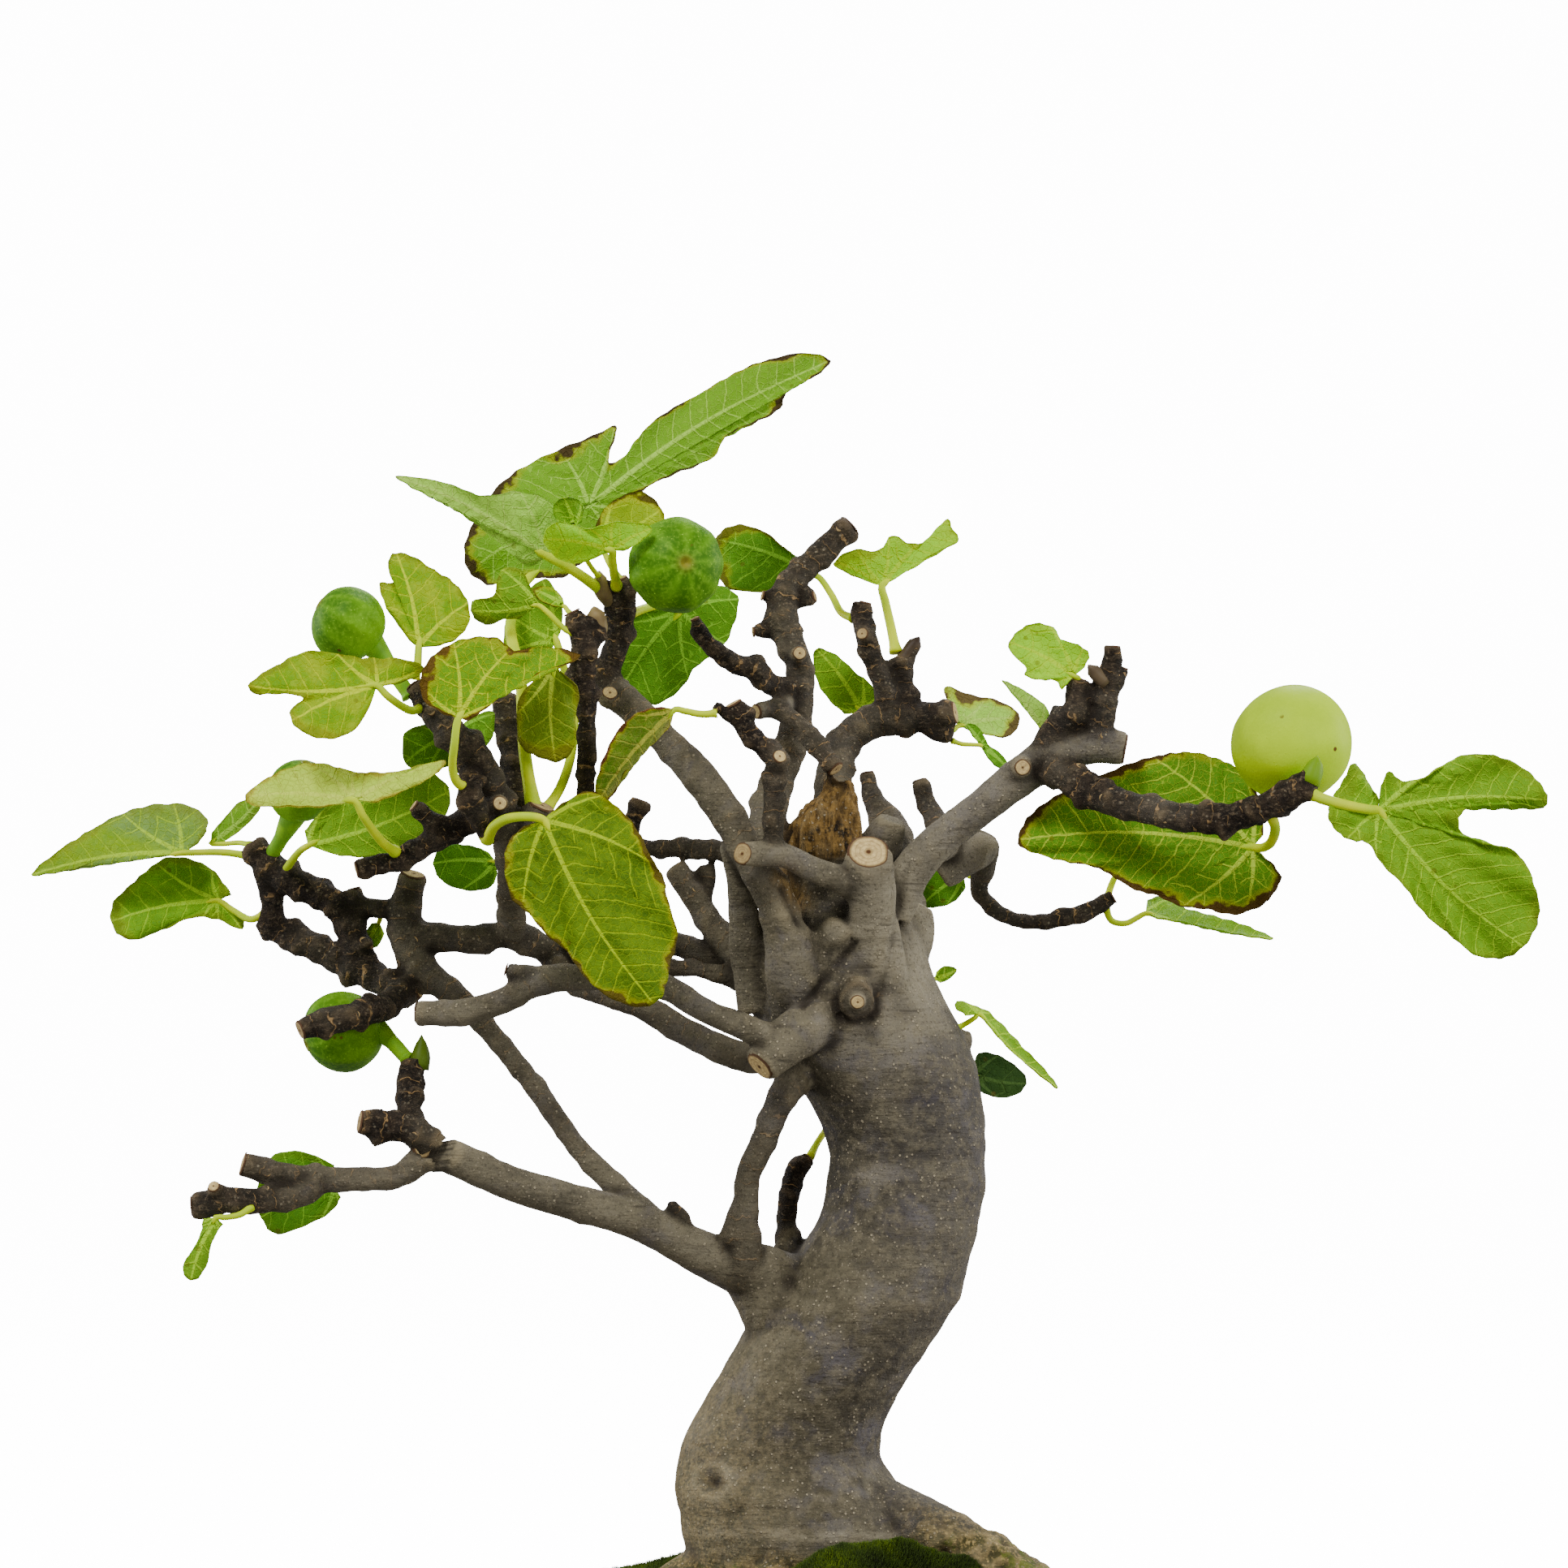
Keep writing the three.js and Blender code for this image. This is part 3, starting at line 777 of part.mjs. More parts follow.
function bladeSolid(leaf) {
    const [bx, , bz] = leaf.base;
    const half = new THREE.Vector3(-leaf.lean[0], 1, -leaf.lean[1]).normalize().multiplyScalar(BLADE / 2);
    const [hx, hz] = leaf.hub ?? leaf.base.filter((value, axis) => axis !== 1);
    const outline = leaf.hub ? [...leaf.outline, [bx, bz]] : leaf.outline;
    const count = outline.length;
    const stride = count > LOBED ? 1 : count > BROAD ? 2 : 3;
    const picks = outline.map((point, k) => k).filter(k => k % stride === 0 && k < count - 1);
    picks.push(count - 1);
    const bladeAt = (k, reach) => {
        const [x, z] = outline[k];
        const wave = k < leaf.outline.length ? edgeWave(leaf, k, reach) : 0;
        return bladePoint(leaf, hx + (x - hx) * reach, hz + (z - hz) * reach, wave);
    };
    const skin = [
        bladePoint(leaf, hx, hz, 0),
        ...picks.map(k => bladeAt(k, INNER_REACH)),
        ...outline.map((point, k) => bladeAt(k, 1))
    ];
    const back = skin.map(p => p.clone().add(half));
    const front = skin.map(p => p.clone().sub(half));
    const offset = skin.length;
    const inner = i => 1 + i;
    const rim = k => 1 + picks.length + k;
    const skinFaces = [];
    for (let i = 0; i < picks.length - 1; i++) {
        const turn = Math.floor((picks[i] + picks[i + 1]) / 2);
        skinFaces.push([0, inner(i), inner(i + 1)], [inner(i), rim(turn), inner(i + 1)]);
        for (let k = picks[i]; k < picks[i + 1]; k++) {
            skinFaces.push([inner(k < turn ? i : i + 1), rim(k), rim(k + 1)]);
        }
    }
    const rims = outline.map((point, k) => rim(k));
    const loop = leaf.hub ? rims : [0, inner(0), ...rims, inner(picks.length - 1)];
    if (leaf.hub) {
        const end = picks.length - 1;
        skinFaces.push([0, inner(end), inner(0)]);
        skinFaces.push([inner(end), rim(count - 1), rim(0)]);
        skinFaces.push([inner(end), rim(0), inner(0)]);
    }
    const area = outline.reduce((sum, [x, z], k) => {
        const [nx, nz] = outline[(k + 1) % count];
        return sum + x * nz - nx * z;
    }, 0);
    const clockwise = area < 0;
    const faces = [];
    const push = (a, b, c) => (clockwise ? faces.push(a, c, b) : faces.push(a, b, c));
    for (const [a, b, c] of skinFaces) {
        push(a + offset, c + offset, b + offset);
        push(a, b, c);
    }
    loop.forEach((a, i) => {
        const b = loop[(i + 1) % loop.length];
        push(a, b + offset, b);
        push(a, a + offset, b + offset);
    });
    return solidFrom([...front, ...back], faces);
}

function tube(points, sides) {
    const curve = new THREE.CatmullRomCurve3(points.map(p => p.place), false, 'centripetal');
    const rings = [];
    let side = new THREE.Vector3(0, 1, 0);
    points.forEach((point, i) => {
        const along = curve.getTangent(i / (points.length - 1));
        side = side.clone().addScaledVector(along, -side.dot(along)).normalize();
        const across = new THREE.Vector3().crossVectors(along, side);
        const ring = [];
        for (let j = 0; j < sides; j++) {
            const angle = (j / sides) * 2 * Math.PI;
            ring.push(point.place.clone()
                .addScaledVector(side, Math.cos(angle) * point.radius)
                .addScaledVector(across, Math.sin(angle) * point.radius));
        }
        rings.push(ring);
    });
    return loft(rings);
}

function leafSolid(leaf) {
    const [bx, , bz] = leaf.base;
    const sunk = 1 / Math.hypot(leaf.tip[0] - bx, leaf.tip[1] - bz);
    const places = leaf.petiole.map(([x, y, z]) => placed(x, y * SPREAD, z));
    places.push(bladePoint(leaf, bx + (leaf.tip[0] - bx) * sunk, bz + (leaf.tip[1] - bz) * sunk, 0));
    const last = places.length - 1;
    const points = places.map((place, i) => {
        const radius = leaf.stalk * (1 - PETIOLE_TAPER * (i / last));
        return { place, radius };
    });
    return bladeSolid(leaf).add(tube(points, PETIOLE_SIDES));
}

for (const [name, leaf] of Object.entries(LEAVES)) {
    const young = /bright|right_top|crinkled/.test(name);
    addPiece(name, mainBody(leafSolid(leaf).subtract(woodRoom)), young ? COLOURS.young : COLOURS.leaf);
}

// Figs: a body turned about its axis, which runs from the stalk to the eye

const FIGS = {
    fig_ripe: {
        centre: [154.4, -21, 337.8], radius: 18.6, tall: 16.9,
        eye: [-0.2, 0.45, 0.85], foot: [157, -35, 325]
    },
    fig_top: {
        centre: [-35.2, -20, 392.8], radius: 14.4, tall: 12.4,
        eye: [0.25, -0.95, 0.05], foot: [-50.4, -12, 385.6]
    },
    fig_left: {
        centre: [-136.2, -30, 374.8], radius: 11.3, tall: 10.6,
        eye: [-0.7, -0.2, 0.5], foot: [-117, -31, 352.5]
    },
    fig_low: {
        centre: [-137.6, -4, 249.2], radius: 12.5, tall: 12,
        eye: [-0.85, -0.2, -0.3], foot: [-117.6, -12, 240.4]
    },
    fig_hidden: {
        centre: [-151, 3, 323.4], radius: 9.8, tall: 9.4,
        eye: [0.2, -0.3, 0.9], foot: [-161, 13, 301.5]
    }
};

// Body profile: share of the radius against share of the height from the stalk end to the eye
const FIG_PROFILE = [
    [0, -1], [0.36, -0.96], [0.72, -0.72], [0.95, -0.32], [1, 0.12], [0.86, 0.56], [0.5, 0.9], [0.16, 1],
    [0, 0.97]
];
const FIG_SIDES = 10;
const STALK_SIDES = 6;
const STALK_FOOT = 2.3;     // the stalk's radius at the twig
const STALK_MIDDLE = 2.6;
const STALK_NECK = 4.2;     // and where it widens into the fruit
const STALK_SUNK = 0.7;     // share of the half height at which the stalk ends inside the fruit

function figSolid({ centre, radius, tall, eye, foot }) {
    const profile = FIG_PROFILE.map(([r, h]) => new THREE.Vector2(r * radius, h * tall));
    const geometry = new THREE.LatheGeometry(profile, FIG_SIDES);
    const axis = new THREE.Vector3(...eye).normalize();
    geometry.applyQuaternion(new THREE.Quaternion().setFromUnitVectors(new THREE.Vector3(0, 1, 0), axis));
    const middle = placed(centre[0], centre[1] * SPREAD, centre[2]);
    geometry.translate(middle.x, middle.y, middle.z);
    const start = placed(foot[0], foot[1] * SPREAD, foot[2]);
    const end = middle.clone().addScaledVector(axis, -tall * STALK_SUNK);
    const stalk = tube([
        { place: start, radius: STALK_FOOT },
        { place: start.clone().lerp(end, 0.5), radius: STALK_MIDDLE },
        { place: end, radius: STALK_NECK }
    ], STALK_SIDES);
    return solidOf(geometry).add(stalk);
}

for (const [name, fig] of Object.entries(FIGS)) {
    const ripe = name === 'fig_ripe';
    addPiece(name, mainBody(figSolid(fig).subtract(woodRoom)), ripe ? COLOURS.ripe : COLOURS.fig, 0.45);
}

// Pot: an oval shell with a lip, on four feet, with two drain holes

const OVAL_SIDES = 20;
const FOOT_SIDES = 10;
const DRAIN_SIDES = 12;
const FOOT_X = 76;
const FOOT_Y = 44;
const FOOT_BOTTOM = [15, 11];   // half length and half width of a foot on the ground
const FOOT_TOP = [18, 14];      // and where it meets the pot
const FOOT_SUNK = 4;            // how far a foot reaches into the pot's wall
const LIP_INNER = POT_WALL + 3; // the lip's width
const WALL_INNER = POT_WALL + 9;
const CORNER_RISE = 6;          // height of the slope between floor and wall
const WALL_TOP = POT_HEIGHT - 24;
const CLEARANCE = 2;            // how far a cutting tool reaches past what it cuts

// The shell's profile as [inset from the lip's edge, height], up the outside and down the inside
const OUTSIDE = [
    [24, FOOT_HEIGHT], [18, FOOT_HEIGHT + 5], [6.5, POT_HEIGHT - 12], [0, POT_HEIGHT - 9],
    [0, POT_HEIGHT - 2], [2, POT_HEIGHT]
];
const INSIDE = [
    [LIP_INNER, POT_HEIGHT], [WALL_INNER, WALL_TOP], [25, FLOOR_TOP + CORNER_RISE], [31, FLOOR_TOP]
];

function ovalRing(halfLength, halfWidth, z, sides = OVAL_SIDES, cx = 0, cy = 0) {
    const ring = [];
    for (let j = 0; j < sides; j++) {
        const angle = (j / sides) * 2 * Math.PI;
        ring.push(new THREE.Vector3(cx + halfLength * Math.cos(angle), cy + halfWidth * Math.sin(angle), z));
    }
    return ring;
}

function lipRings(profile) {
    return profile.map(([inset, z]) => ovalRing(POT_LENGTH / 2 - inset, POT_WIDTH / 2 - inset, z));
}

let pot = loft(lipRings([...OUTSIDE, ...INSIDE]));
for (const sx of [-1, 1]) {
    for (const sy of [-1, 1]) {
        pot = pot.add(loft([
            ovalRing(...FOOT_BOTTOM, 0, FOOT_SIDES, sx * FOOT_X, sy * FOOT_Y),
            ovalRing(...FOOT_TOP, FOOT_HEIGHT + FOOT_SUNK, FOOT_SIDES, sx * FOOT_X, sy * FOOT_Y)
        ]));
    }
    const ends = [FOOT_HEIGHT - CLEARANCE, FLOOR_TOP + CLEARANCE];
    const hole = loft(ends.map(z => ovalRing(DRAIN_RADIUS, DRAIN_RADIUS, z, DRAIN_SIDES, sx * DRAIN_X, 0)));
    pot = pot.subtract(hole);
}
addPiece('pot', mainBody(pot), COLOURS.pot, 0.8);

// Drain screens lie on the floor over the holes
const SCREEN_MESH = 5;      // width of an opening in the screen
const SCREEN_PITCH = 7;

function disc(sx, grow) {
    const reach = SCREEN_RADIUS + grow;
    const ends = [FLOOR_TOP + GAP - grow, FLOOR_TOP + GAP + SCREEN_THICK + grow];
    return loft(ends.map(z => ovalRing(reach, reach, z, DRAIN_SIDES, sx * DRAIN_X, 0)));
}

function screenSolid(sx) {
    let screen = disc(sx, 0);
    for (const i of [-0.5, 0.5]) {
        for (const j of [-0.5, 0.5]) {
            const hole = new THREE.BoxGeometry(SCREEN_MESH, SCREEN_MESH, 2 * CLEARANCE);
            hole.translate(sx * DRAIN_X + i * SCREEN_PITCH, j * SCREEN_PITCH, FLOOR_TOP + SCREEN_THICK);
            screen = screen.subtract(solidOf(hole));
        }
    }
    return screen;
}
addPiece('drain_screen_left', screenSolid(-1), COLOURS.screen);
addPiece('drain_screen_right', screenSolid(1), COLOURS.screen);

// Soil: fills the pot with a mound at the trunk
const SOIL_ROOM = 2.6;      // room between the soil's edge and the lip
const SOIL_INSET = 0.5;     // and between its side and the wall
const MOUND_X = 5;          // the mound's top, across
const MOUND_FALL = 1.3;     // how it rounds off towards the edge
const rimA = POT_LENGTH / 2 - LIP_INNER - SOIL_ROOM;
const rimB = POT_WIDTH / 2 - LIP_INNER - SOIL_ROOM;

function moundHeight(x, y) {
    const share = Math.min(1, ((x - MOUND_X) / rimA) ** 2 + (y / rimB) ** 2);
    return SOIL_EDGE + MOUND * (1 - share) ** MOUND_FALL;
}

const moundRing = scale => ovalRing(rimA * scale, rimB * scale, 0).map(p => p.setZ(moundHeight(p.x, p.y)));
const soil = loft([
    ...lipRings([
        [31 + SOIL_INSET, FLOOR_TOP + GAP], [25 + SOIL_INSET, FLOOR_TOP + CORNER_RISE + 0.2],
        [WALL_INNER + SOIL_INSET, WALL_TOP]
    ]),
    ovalRing(rimA, rimB, SOIL_EDGE - 2), moundRing(0.98), moundRing(0.66), moundRing(0.34)
]).subtract(disc(-1, GAP)).subtract(disc(1, GAP)).subtract(woodRoom);
addPiece('soil', mainBody(soil), COLOURS.soil, 1);

// Moss: a cushion round the foot of the trunk, thick at the front and right
const MOSS_CENTRE = [6, 0];
const MOSS_REACH = 66;
const MOSS_OVAL = 0.88;     // its depth for its width
const MOSS_SEAT = 0.5;      // room under it
const MOSS_THICK = 2.2;
const MOSS_EDGE = 1.2;
const MOSS_SIDES = 18;

// Raised cushions as [x, y, height, width]
const CUSHIONS = [
    [14, -48, 12, 15], [36, -42, 13, 14], [58, -33, 9, 12], [-24, -38, 2, 12], [-30, 24, 3, 14],
    [30, 40, 5, 14]
];

function mossTop(x, y) {
    const bumps = 0.5 * Math.sin(x * 0.9) * Math.sin(y * 0.8);
    let z = moundHeight(x, y) + MOSS_SEAT + MOSS_THICK + bumps;
    for (const [cx, cy, height, width] of CUSHIONS) {
        z += height * Math.exp(-((x - cx) ** 2 + (y - cy) ** 2) / (width * width));
    }
    return z;
}

function mossRing(scale, top) {
    const ring = [];
    for (let j = 0; j < MOSS_SIDES; j++) {
        const angle = (j / MOSS_SIDES) * 2 * Math.PI;
        const bays = 7 * Math.sin(3 * angle + 0.6) + 4 * Math.sin(7 * angle);
        const reach = (MOSS_REACH + bays) * scale;
        const x = MOSS_CENTRE[0] + reach * Math.cos(angle);
        const y = MOSS_CENTRE[1] + reach * MOSS_OVAL * Math.sin(angle);
        ring.push(new THREE.Vector3(x, y, top ? mossTop(x, y) : moundHeight(x, y) + MOSS_SEAT));
    }
    return ring;
}

const mossEdge = mossRing(1, false).map(p => p.setZ(p.z + MOSS_EDGE));
const moss = loft([
    mossRing(0.4, false), mossRing(0.7, false), mossRing(0.97, false), mossEdge, mossRing(0.92, true),
    mossRing(0.72, true), mossRing(0.4, true)
]).subtract(woodRoom);
addPiece('moss', mainBody(moss), COLOURS.moss, 1);

export default part;
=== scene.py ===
# Looks of a common fig bonsai: bark, leaves, figs, moss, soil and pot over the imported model.
# Tables are in millimetres, +Z up, front towards -Y. Blender objects are in metres.

import math
import random

import bpy
import numpy as np
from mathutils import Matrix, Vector, bvhtree, noise


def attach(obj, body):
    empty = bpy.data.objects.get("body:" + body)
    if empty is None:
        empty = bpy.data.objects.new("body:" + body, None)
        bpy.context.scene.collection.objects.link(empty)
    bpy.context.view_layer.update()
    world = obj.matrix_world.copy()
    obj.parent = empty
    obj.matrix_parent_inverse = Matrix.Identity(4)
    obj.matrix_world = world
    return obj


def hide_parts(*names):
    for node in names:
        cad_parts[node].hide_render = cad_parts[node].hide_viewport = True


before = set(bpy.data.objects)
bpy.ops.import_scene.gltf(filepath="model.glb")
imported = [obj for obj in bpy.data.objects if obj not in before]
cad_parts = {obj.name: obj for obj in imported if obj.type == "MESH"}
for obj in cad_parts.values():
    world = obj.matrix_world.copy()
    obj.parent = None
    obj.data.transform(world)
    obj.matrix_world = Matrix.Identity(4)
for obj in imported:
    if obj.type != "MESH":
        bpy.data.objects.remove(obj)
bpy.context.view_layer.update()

MM = 0.001
CENTRE_X = 4.5          # the pot's middle, right of the origin
SPREAD = 1.5            # depth of the crown for the depths in the tables
VIEW = 2800.0           # the crown's points line up as seen from the front at this distance
VIEW_X = -1.9
VIEW_Z = 325.5
PHOTO_WIDE = 483.0      # what the photograph's frame spans at the middle of the plant
TRUNK_DEPTH = 0.9       # depth of the trunk over its width
SIDE_VEINS = 6.0        # distance between side veins along a leaf's main vein

# The trunk and the limbs: [x, depth, z, radius] along each middle line

TRUNK = [
    [7, 0, 60, 42], [7, 0, 74, 41], [6.5, 0, 84, 38.5], [5.3, 0, 95, 38.5], [-0.5, 0, 109, 34.5],
    [-3.3, 0, 118, 30.5], [-0.3, 0, 129, 29.5], [4.5, 0, 138, 29], [13.3, 0, 153, 29.5], [21, 0, 166, 31],
    [29.3, 0, 182, 27], [34.8, 0, 196, 23.9], [36.2, 0, 211, 23.4], [32.8, 0, 226, 26.5], [27, 0, 239, 30],
    [21, 0, 251, 31.3], [16, 0, 265, 28.7], [14, 0, 279, 26], [14, 0, 290, 19], [15, 0, 296, 11]
]

LIMBS = {
    "root_right": [
        [26, -6, 103, 10], [40, -9, 96, 10.5], [56, -12, 88, 10], [72, -14, 79, 9], [88, -15, 68, 7]
    ],
    "root_left": [[-22, -4, 86, 9], [-38, -6, 76, 8], [-54, -8, 63, 6]],
    "root_front": [[0, -12, 86, 9], [-6, -22, 77, 8], [-10, -34, 63, 6]],
    "root_back": [[10, 10, 87, 11], [18, 22, 77, 9], [26, 36, 62, 6]],
    "root_back_left": [[-14, 8, 86, 9], [-28, 18, 77, 8], [-42, 28, 62, 6]],
    "knob_front": [[19, -10, 262, 7.5], [20.6, -20, 258.8, 6]],
    "knob_right": [[48, 0, 246, 4], [56, 0, 247.5, 2.2]],
    "shoulder": [[26, 4, 266, 13], [33, 5, 276, 11], [38, 6, 284, 7.5], [40.5, 6, 288.5, 4]],
    "flank": [
        [-9, -4, 256, 7], [-12, -5, 268, 6], [-14, -9, 282, 4.8], [-16, -14, 296, 3.6], [-19, -17, 307, 3]
    ],
    "stump": [[29, -9, 258, 8.5], [27.4, -12, 270, 8], [25.5, -15, 288, 7.4], [24.1, -18, 304.5, 7.2]],
    "deadwood": [
        [11, 0, 284, 14], [11, -1, 298, 12.5], [10, -2, 307, 12], [12, -2, 316, 8.5], [13, -1, 322, 4.5],
        [11.5, -1, 328.5, 1.2]
    ],
    "deadwood_spike": [[15, -3, 300, 8], [18, -3, 314, 4.5], [17.5, -2, 327, 2]],
    "a": [
        [3, -10, 257, 9], [0.6, -15, 268, 8], [-3.4, -18, 287.5, 6.6], [-12.9, -19, 303.8, 5],
        [-19.7, -18, 316.3, 5.2], [-27.2, -17, 326.8, 5.4], [-36.9, -14, 337.3, 4.4],
        [-46.4, -11, 347, 4.7], [-55, -8, 354.6, 4.9]
    ],
    "a_upper": [
        [-52, -9, 351, 4], [-57, -8, 357, 3.8], [-54.9, -8, 363.5, 3.7], [-52.4, -10, 374, 4],
        [-51.4, -12, 384, 3.8], [-52.5, -13, 389, 2.6]
    ],
    "a_bud": [[-53, -11, 380, 2.5], [-57.8, -13, 385, 2], [-58.6, -13, 389, 1.5]],
    "v": [
        [-65.4, 2, 273, 2.8], [-64.8, -10, 297, 2.7], [-63, -20, 323.5, 2.6], [-62.7, -24, 345.8, 2.9],
        [-63.7, -25, 360.3, 3.6], [-63.8, -25, 371, 3.8], [-67.2, -25, 378.5, 3]
    ],
    "v_stub": [[-63.5, -25, 366, 3], [-59.5, -24, 374, 2.6], [-60, -24, 378, 2.2]],
    "d": [
        [22, -12, 291, 4.5], [16.9, -17, 295.3, 4.1], [5.4, -22, 300, 3.9], [-2.4, -25, 303.5, 3.8],
        [-14.7, -28.5, 304, 3.8]
    ],
    "d_up": [
        [-5.2, -25, 303, 3], [-5.2, -26, 321, 2.9], [-4.2, -27, 333.5, 3.3], [-11.9, -28, 340.3, 2.9],
        [-17.7, -29, 350.3, 3.1]
    ],
    "d_bud": [[-17.5, -29, 346.5, 2.3], [-23.6, -30, 349.6, 1.7]],
    "e": [
        [2, -2, 282, 8], [-4, -3, 298, 6.5], [-7, 0, 312, 6], [-4.5, 5, 325, 5.2], [0, 8, 337, 5],
        [2.6, 10, 349.5, 4.4], [2.9, 11, 361.5, 4.2], [-0.2, 12, 369, 4.4], [-2.6, 13, 377.3, 5],
        [-0.2, 15, 386.3, 4.4], [6.1, 17, 393.3, 3.7], [12.6, 18, 399.5, 4], [18.6, 19, 405, 4.4]
    ],
    "e_stub_left": [[-3, 13, 373, 2.4], [-11.4, 12, 372.3, 1.9]],
    "e_stub_left_high": [[-2, 14, 382, 2.4], [-8.6, 13, 383.5, 1.8]],
    "e_stub_right": [[2, 15, 382, 2.8], [7.6, 14, 383.4, 2]],
    "e_left": [
        [0, 9, 354, 3.4], [-7.2, 5, 357, 3.1], [-11.2, 2, 360.8, 3.1], [-20.7, -1, 364.5, 2.8],
        [-26.4, -2, 370.3, 2.3], [-29.4, -3, 376.5, 1.7]
    ],
    "e_down": [
        [-1, 7, 350.5, 3.2], [-4, 2, 348.7, 3], [4.9, -1, 341.8, 2.8], [8.6, -2, 336.5, 2.9],
        [14.1, -4, 330, 3]
    ],
    "e_down_scar": [[-1, 5, 350, 3], [-10.6, 0, 347.8, 2.6]],
    "g": [
        [14, 8, 294, 8], [13, 15, 312, 6.5], [14.1, 20, 331, 5.6], [17.6, 23, 339, 5], [25, 25, 344.8, 5],
        [33.6, 26, 345.5, 4.7], [43.1, 26, 346, 4.5], [50.8, 25, 347.5, 4]
    ],
    "g_knob": [[43, 26, 343, 3.4], [49.8, 25, 340.2, 2.6]],
    "g_up": [
        [32, 26, 344, 3.6], [27.9, 25, 358.3, 3.3], [24.1, 24, 367.8, 3.3], [22.4, 24, 377.3, 3],
        [23.2, 24, 381.5, 2.2]
    ],
    "g_nub": [[22.2, 24, 377, 1.9], [19.4, 23, 382, 1.2]],
    "g_up_right": [[35, 26, 347, 3.6], [34.6, 27, 358.3, 3], [34.6, 27, 364.5, 3.2]],
    "g_tip": [[34.8, 27, 363, 2.4], [38.6, 27, 369, 1.6]],
    "h": [
        [26, 6, 274, 9], [33, 12, 288, 7.5], [33, 18, 300, 6.5], [30.6, 22, 312, 5.8], [25.4, 23, 321, 3],
        [23.6, 24, 329, 2.3]
    ],
    "h_stub": [
        [45, -7, 306, 4.5], [46, 4, 308, 4.2], [46, 12, 310, 4], [44.4, 16, 315, 3.4], [41.5, 17, 321, 2.7],
        [39.9, 18, 326.5, 2.8]
    ],
    "h_right": [
        [46, -7, 306, 4.5], [49, 4, 306.5, 4.4], [54.1, 13, 307, 4.4], [59.6, 17, 305.8, 4.6],
        [59, 20, 298, 3.6], [57.9, 21, 293, 2.6], [63.6, 22, 286.5, 2.4], [71.4, 22, 283.3, 2.3],
        [82.9, 23, 283.8, 2.5], [93.6, 24, 287.3, 2.6], [99.6, 24, 290.6, 2.3]
    ],
    "c": [
        [30, -7, 286, 7.5], [36.4, -8, 297.5, 6.3], [45.6, -9, 307.8, 5.4], [58.9, -10, 318.3, 5.3],
        [72.4, -11, 328.8, 6], [82.9, -12, 335, 6.2], [93.9, -12, 337.6, 5.7], [103.2, -12, 336.2, 5.1]
    ],
    "c_up": [
        [79, -12, 337, 4.5], [83, -13, 343.5, 4], [87.4, -14, 347, 4.2], [88.2, -14, 354, 2.8],
        [89.2, -14, 358, 2.5]
    ],
    "c_up_right": [
        [93, -12, 339, 4.6], [97.4, -13, 350.8, 3.4], [97, -13, 355.8, 3.5], [99, -13, 362, 2.8],
        [99.4, -13, 368, 2.7]
    ],
    "c_fork": [[97.5, -13, 353, 3], [101.2, -12, 358, 2.2], [102.6, -12, 361.4, 1.8]],
    "c_bud": [[97, -14, 356.5, 2], [93.2, -15, 360.6, 1.5]],
    "c_low": [
        [80, -14, 331, 5], [88, -17, 326, 4.8], [99.1, -22, 320.4, 4.2], [111.4, -26, 317.3, 4.1],
        [123.9, -29, 314.9, 4.1], [136.4, -32, 315.3, 4], [147.6, -35, 319, 4.1], [156.4, -37, 323.5, 4.1],
        [160.4, -37, 327, 3.7]
    ],
    "c_low_bud": [[159.6, -37.5, 326, 3], [161.2, -37.5, 329.5, 2.6], [161.9, -37.5, 332, 1.6]],
    "d0": [[14, -10, 255, 9], [6, -17, 251, 7.8], [-2, -21, 245.5, 7.2], [-9.4, -24, 238.4, 5.6]],
    "d1": [
        [0, -19, 250, 4.8], [-5.7, -22, 247.5, 4.6], [-14.7, -24, 251, 4.3], [-28.4, -25, 257, 3.9],
        [-38.4, -25.5, 263, 3.9], [-50, -26, 266, 3.8], [-62.2, -26, 266, 4], [-75, -26, 265.2, 4.6],
        [-81, -26, 263, 4.4], [-89, -26, 258.5, 4], [-103.4, -25, 254.8, 4.2], [-115.2, -24, 255.2, 3.7]
    ],
    "d1_stub": [[-77, -26, 265.5, 3.4], [-87.6, -26, 268.4, 2.2]],
    "d2": [
        [-2, -10, 243, 6], [-14, -13, 241.5, 4.6], [-30.9, -11, 248.3, 4.2], [-45.9, -8, 257, 3.9],
        [-58.4, -5, 261.5, 3.8], [-68.4, -2, 266, 3.8], [-74, 2, 272, 3.8]
    ],
    "flank_stub": [
        [-8, 2, 268, 5], [-18, 3, 275, 4.2], [-23.4, 4, 281, 4.1], [-29.4, 5, 290.5, 3.9],
        [-35.9, 6, 300, 3.7]
    ],
    "flank_stub_fork": [[-28.6, 5, 289, 3], [-25.4, 6, 296, 2.6], [-25.7, 6, 300.6, 2.4]],
    "back": [
        [-5, -2, 301, 4], [-22, 4, 305, 3], [-33, 8, 305.6, 2.7], [-43.7, 9, 305.8, 2.5],
        [-49.3, 9, 306.6, 2.6]
    ],
    "back_stub": [[-49, 9, 305, 2.5], [-48.7, 8, 313, 2.6], [-46.2, 8, 320.6, 3]],
    "l2": [
        [-6, 3, 266, 5], [-14, 5, 271, 4], [-23.4, 6, 272.6, 3.6], [-34.9, 7, 276, 3.5],
        [-53.4, 5, 274.5, 3.9], [-68.4, 4, 271.8, 4.2], [-74, 2, 274, 4.4], [-85.4, 1, 279, 4.3],
        [-98.2, 3, 277.6, 4.3], [-112.4, 5, 279, 4.2], [-119, 6, 281, 4]
    ],
    "l2_low": [
        [-6, 0, 259, 4], [-14, 0, 264, 3], [-24.4, 0, 267.6, 2.7], [-36.9, 0, 269.3, 2.6],
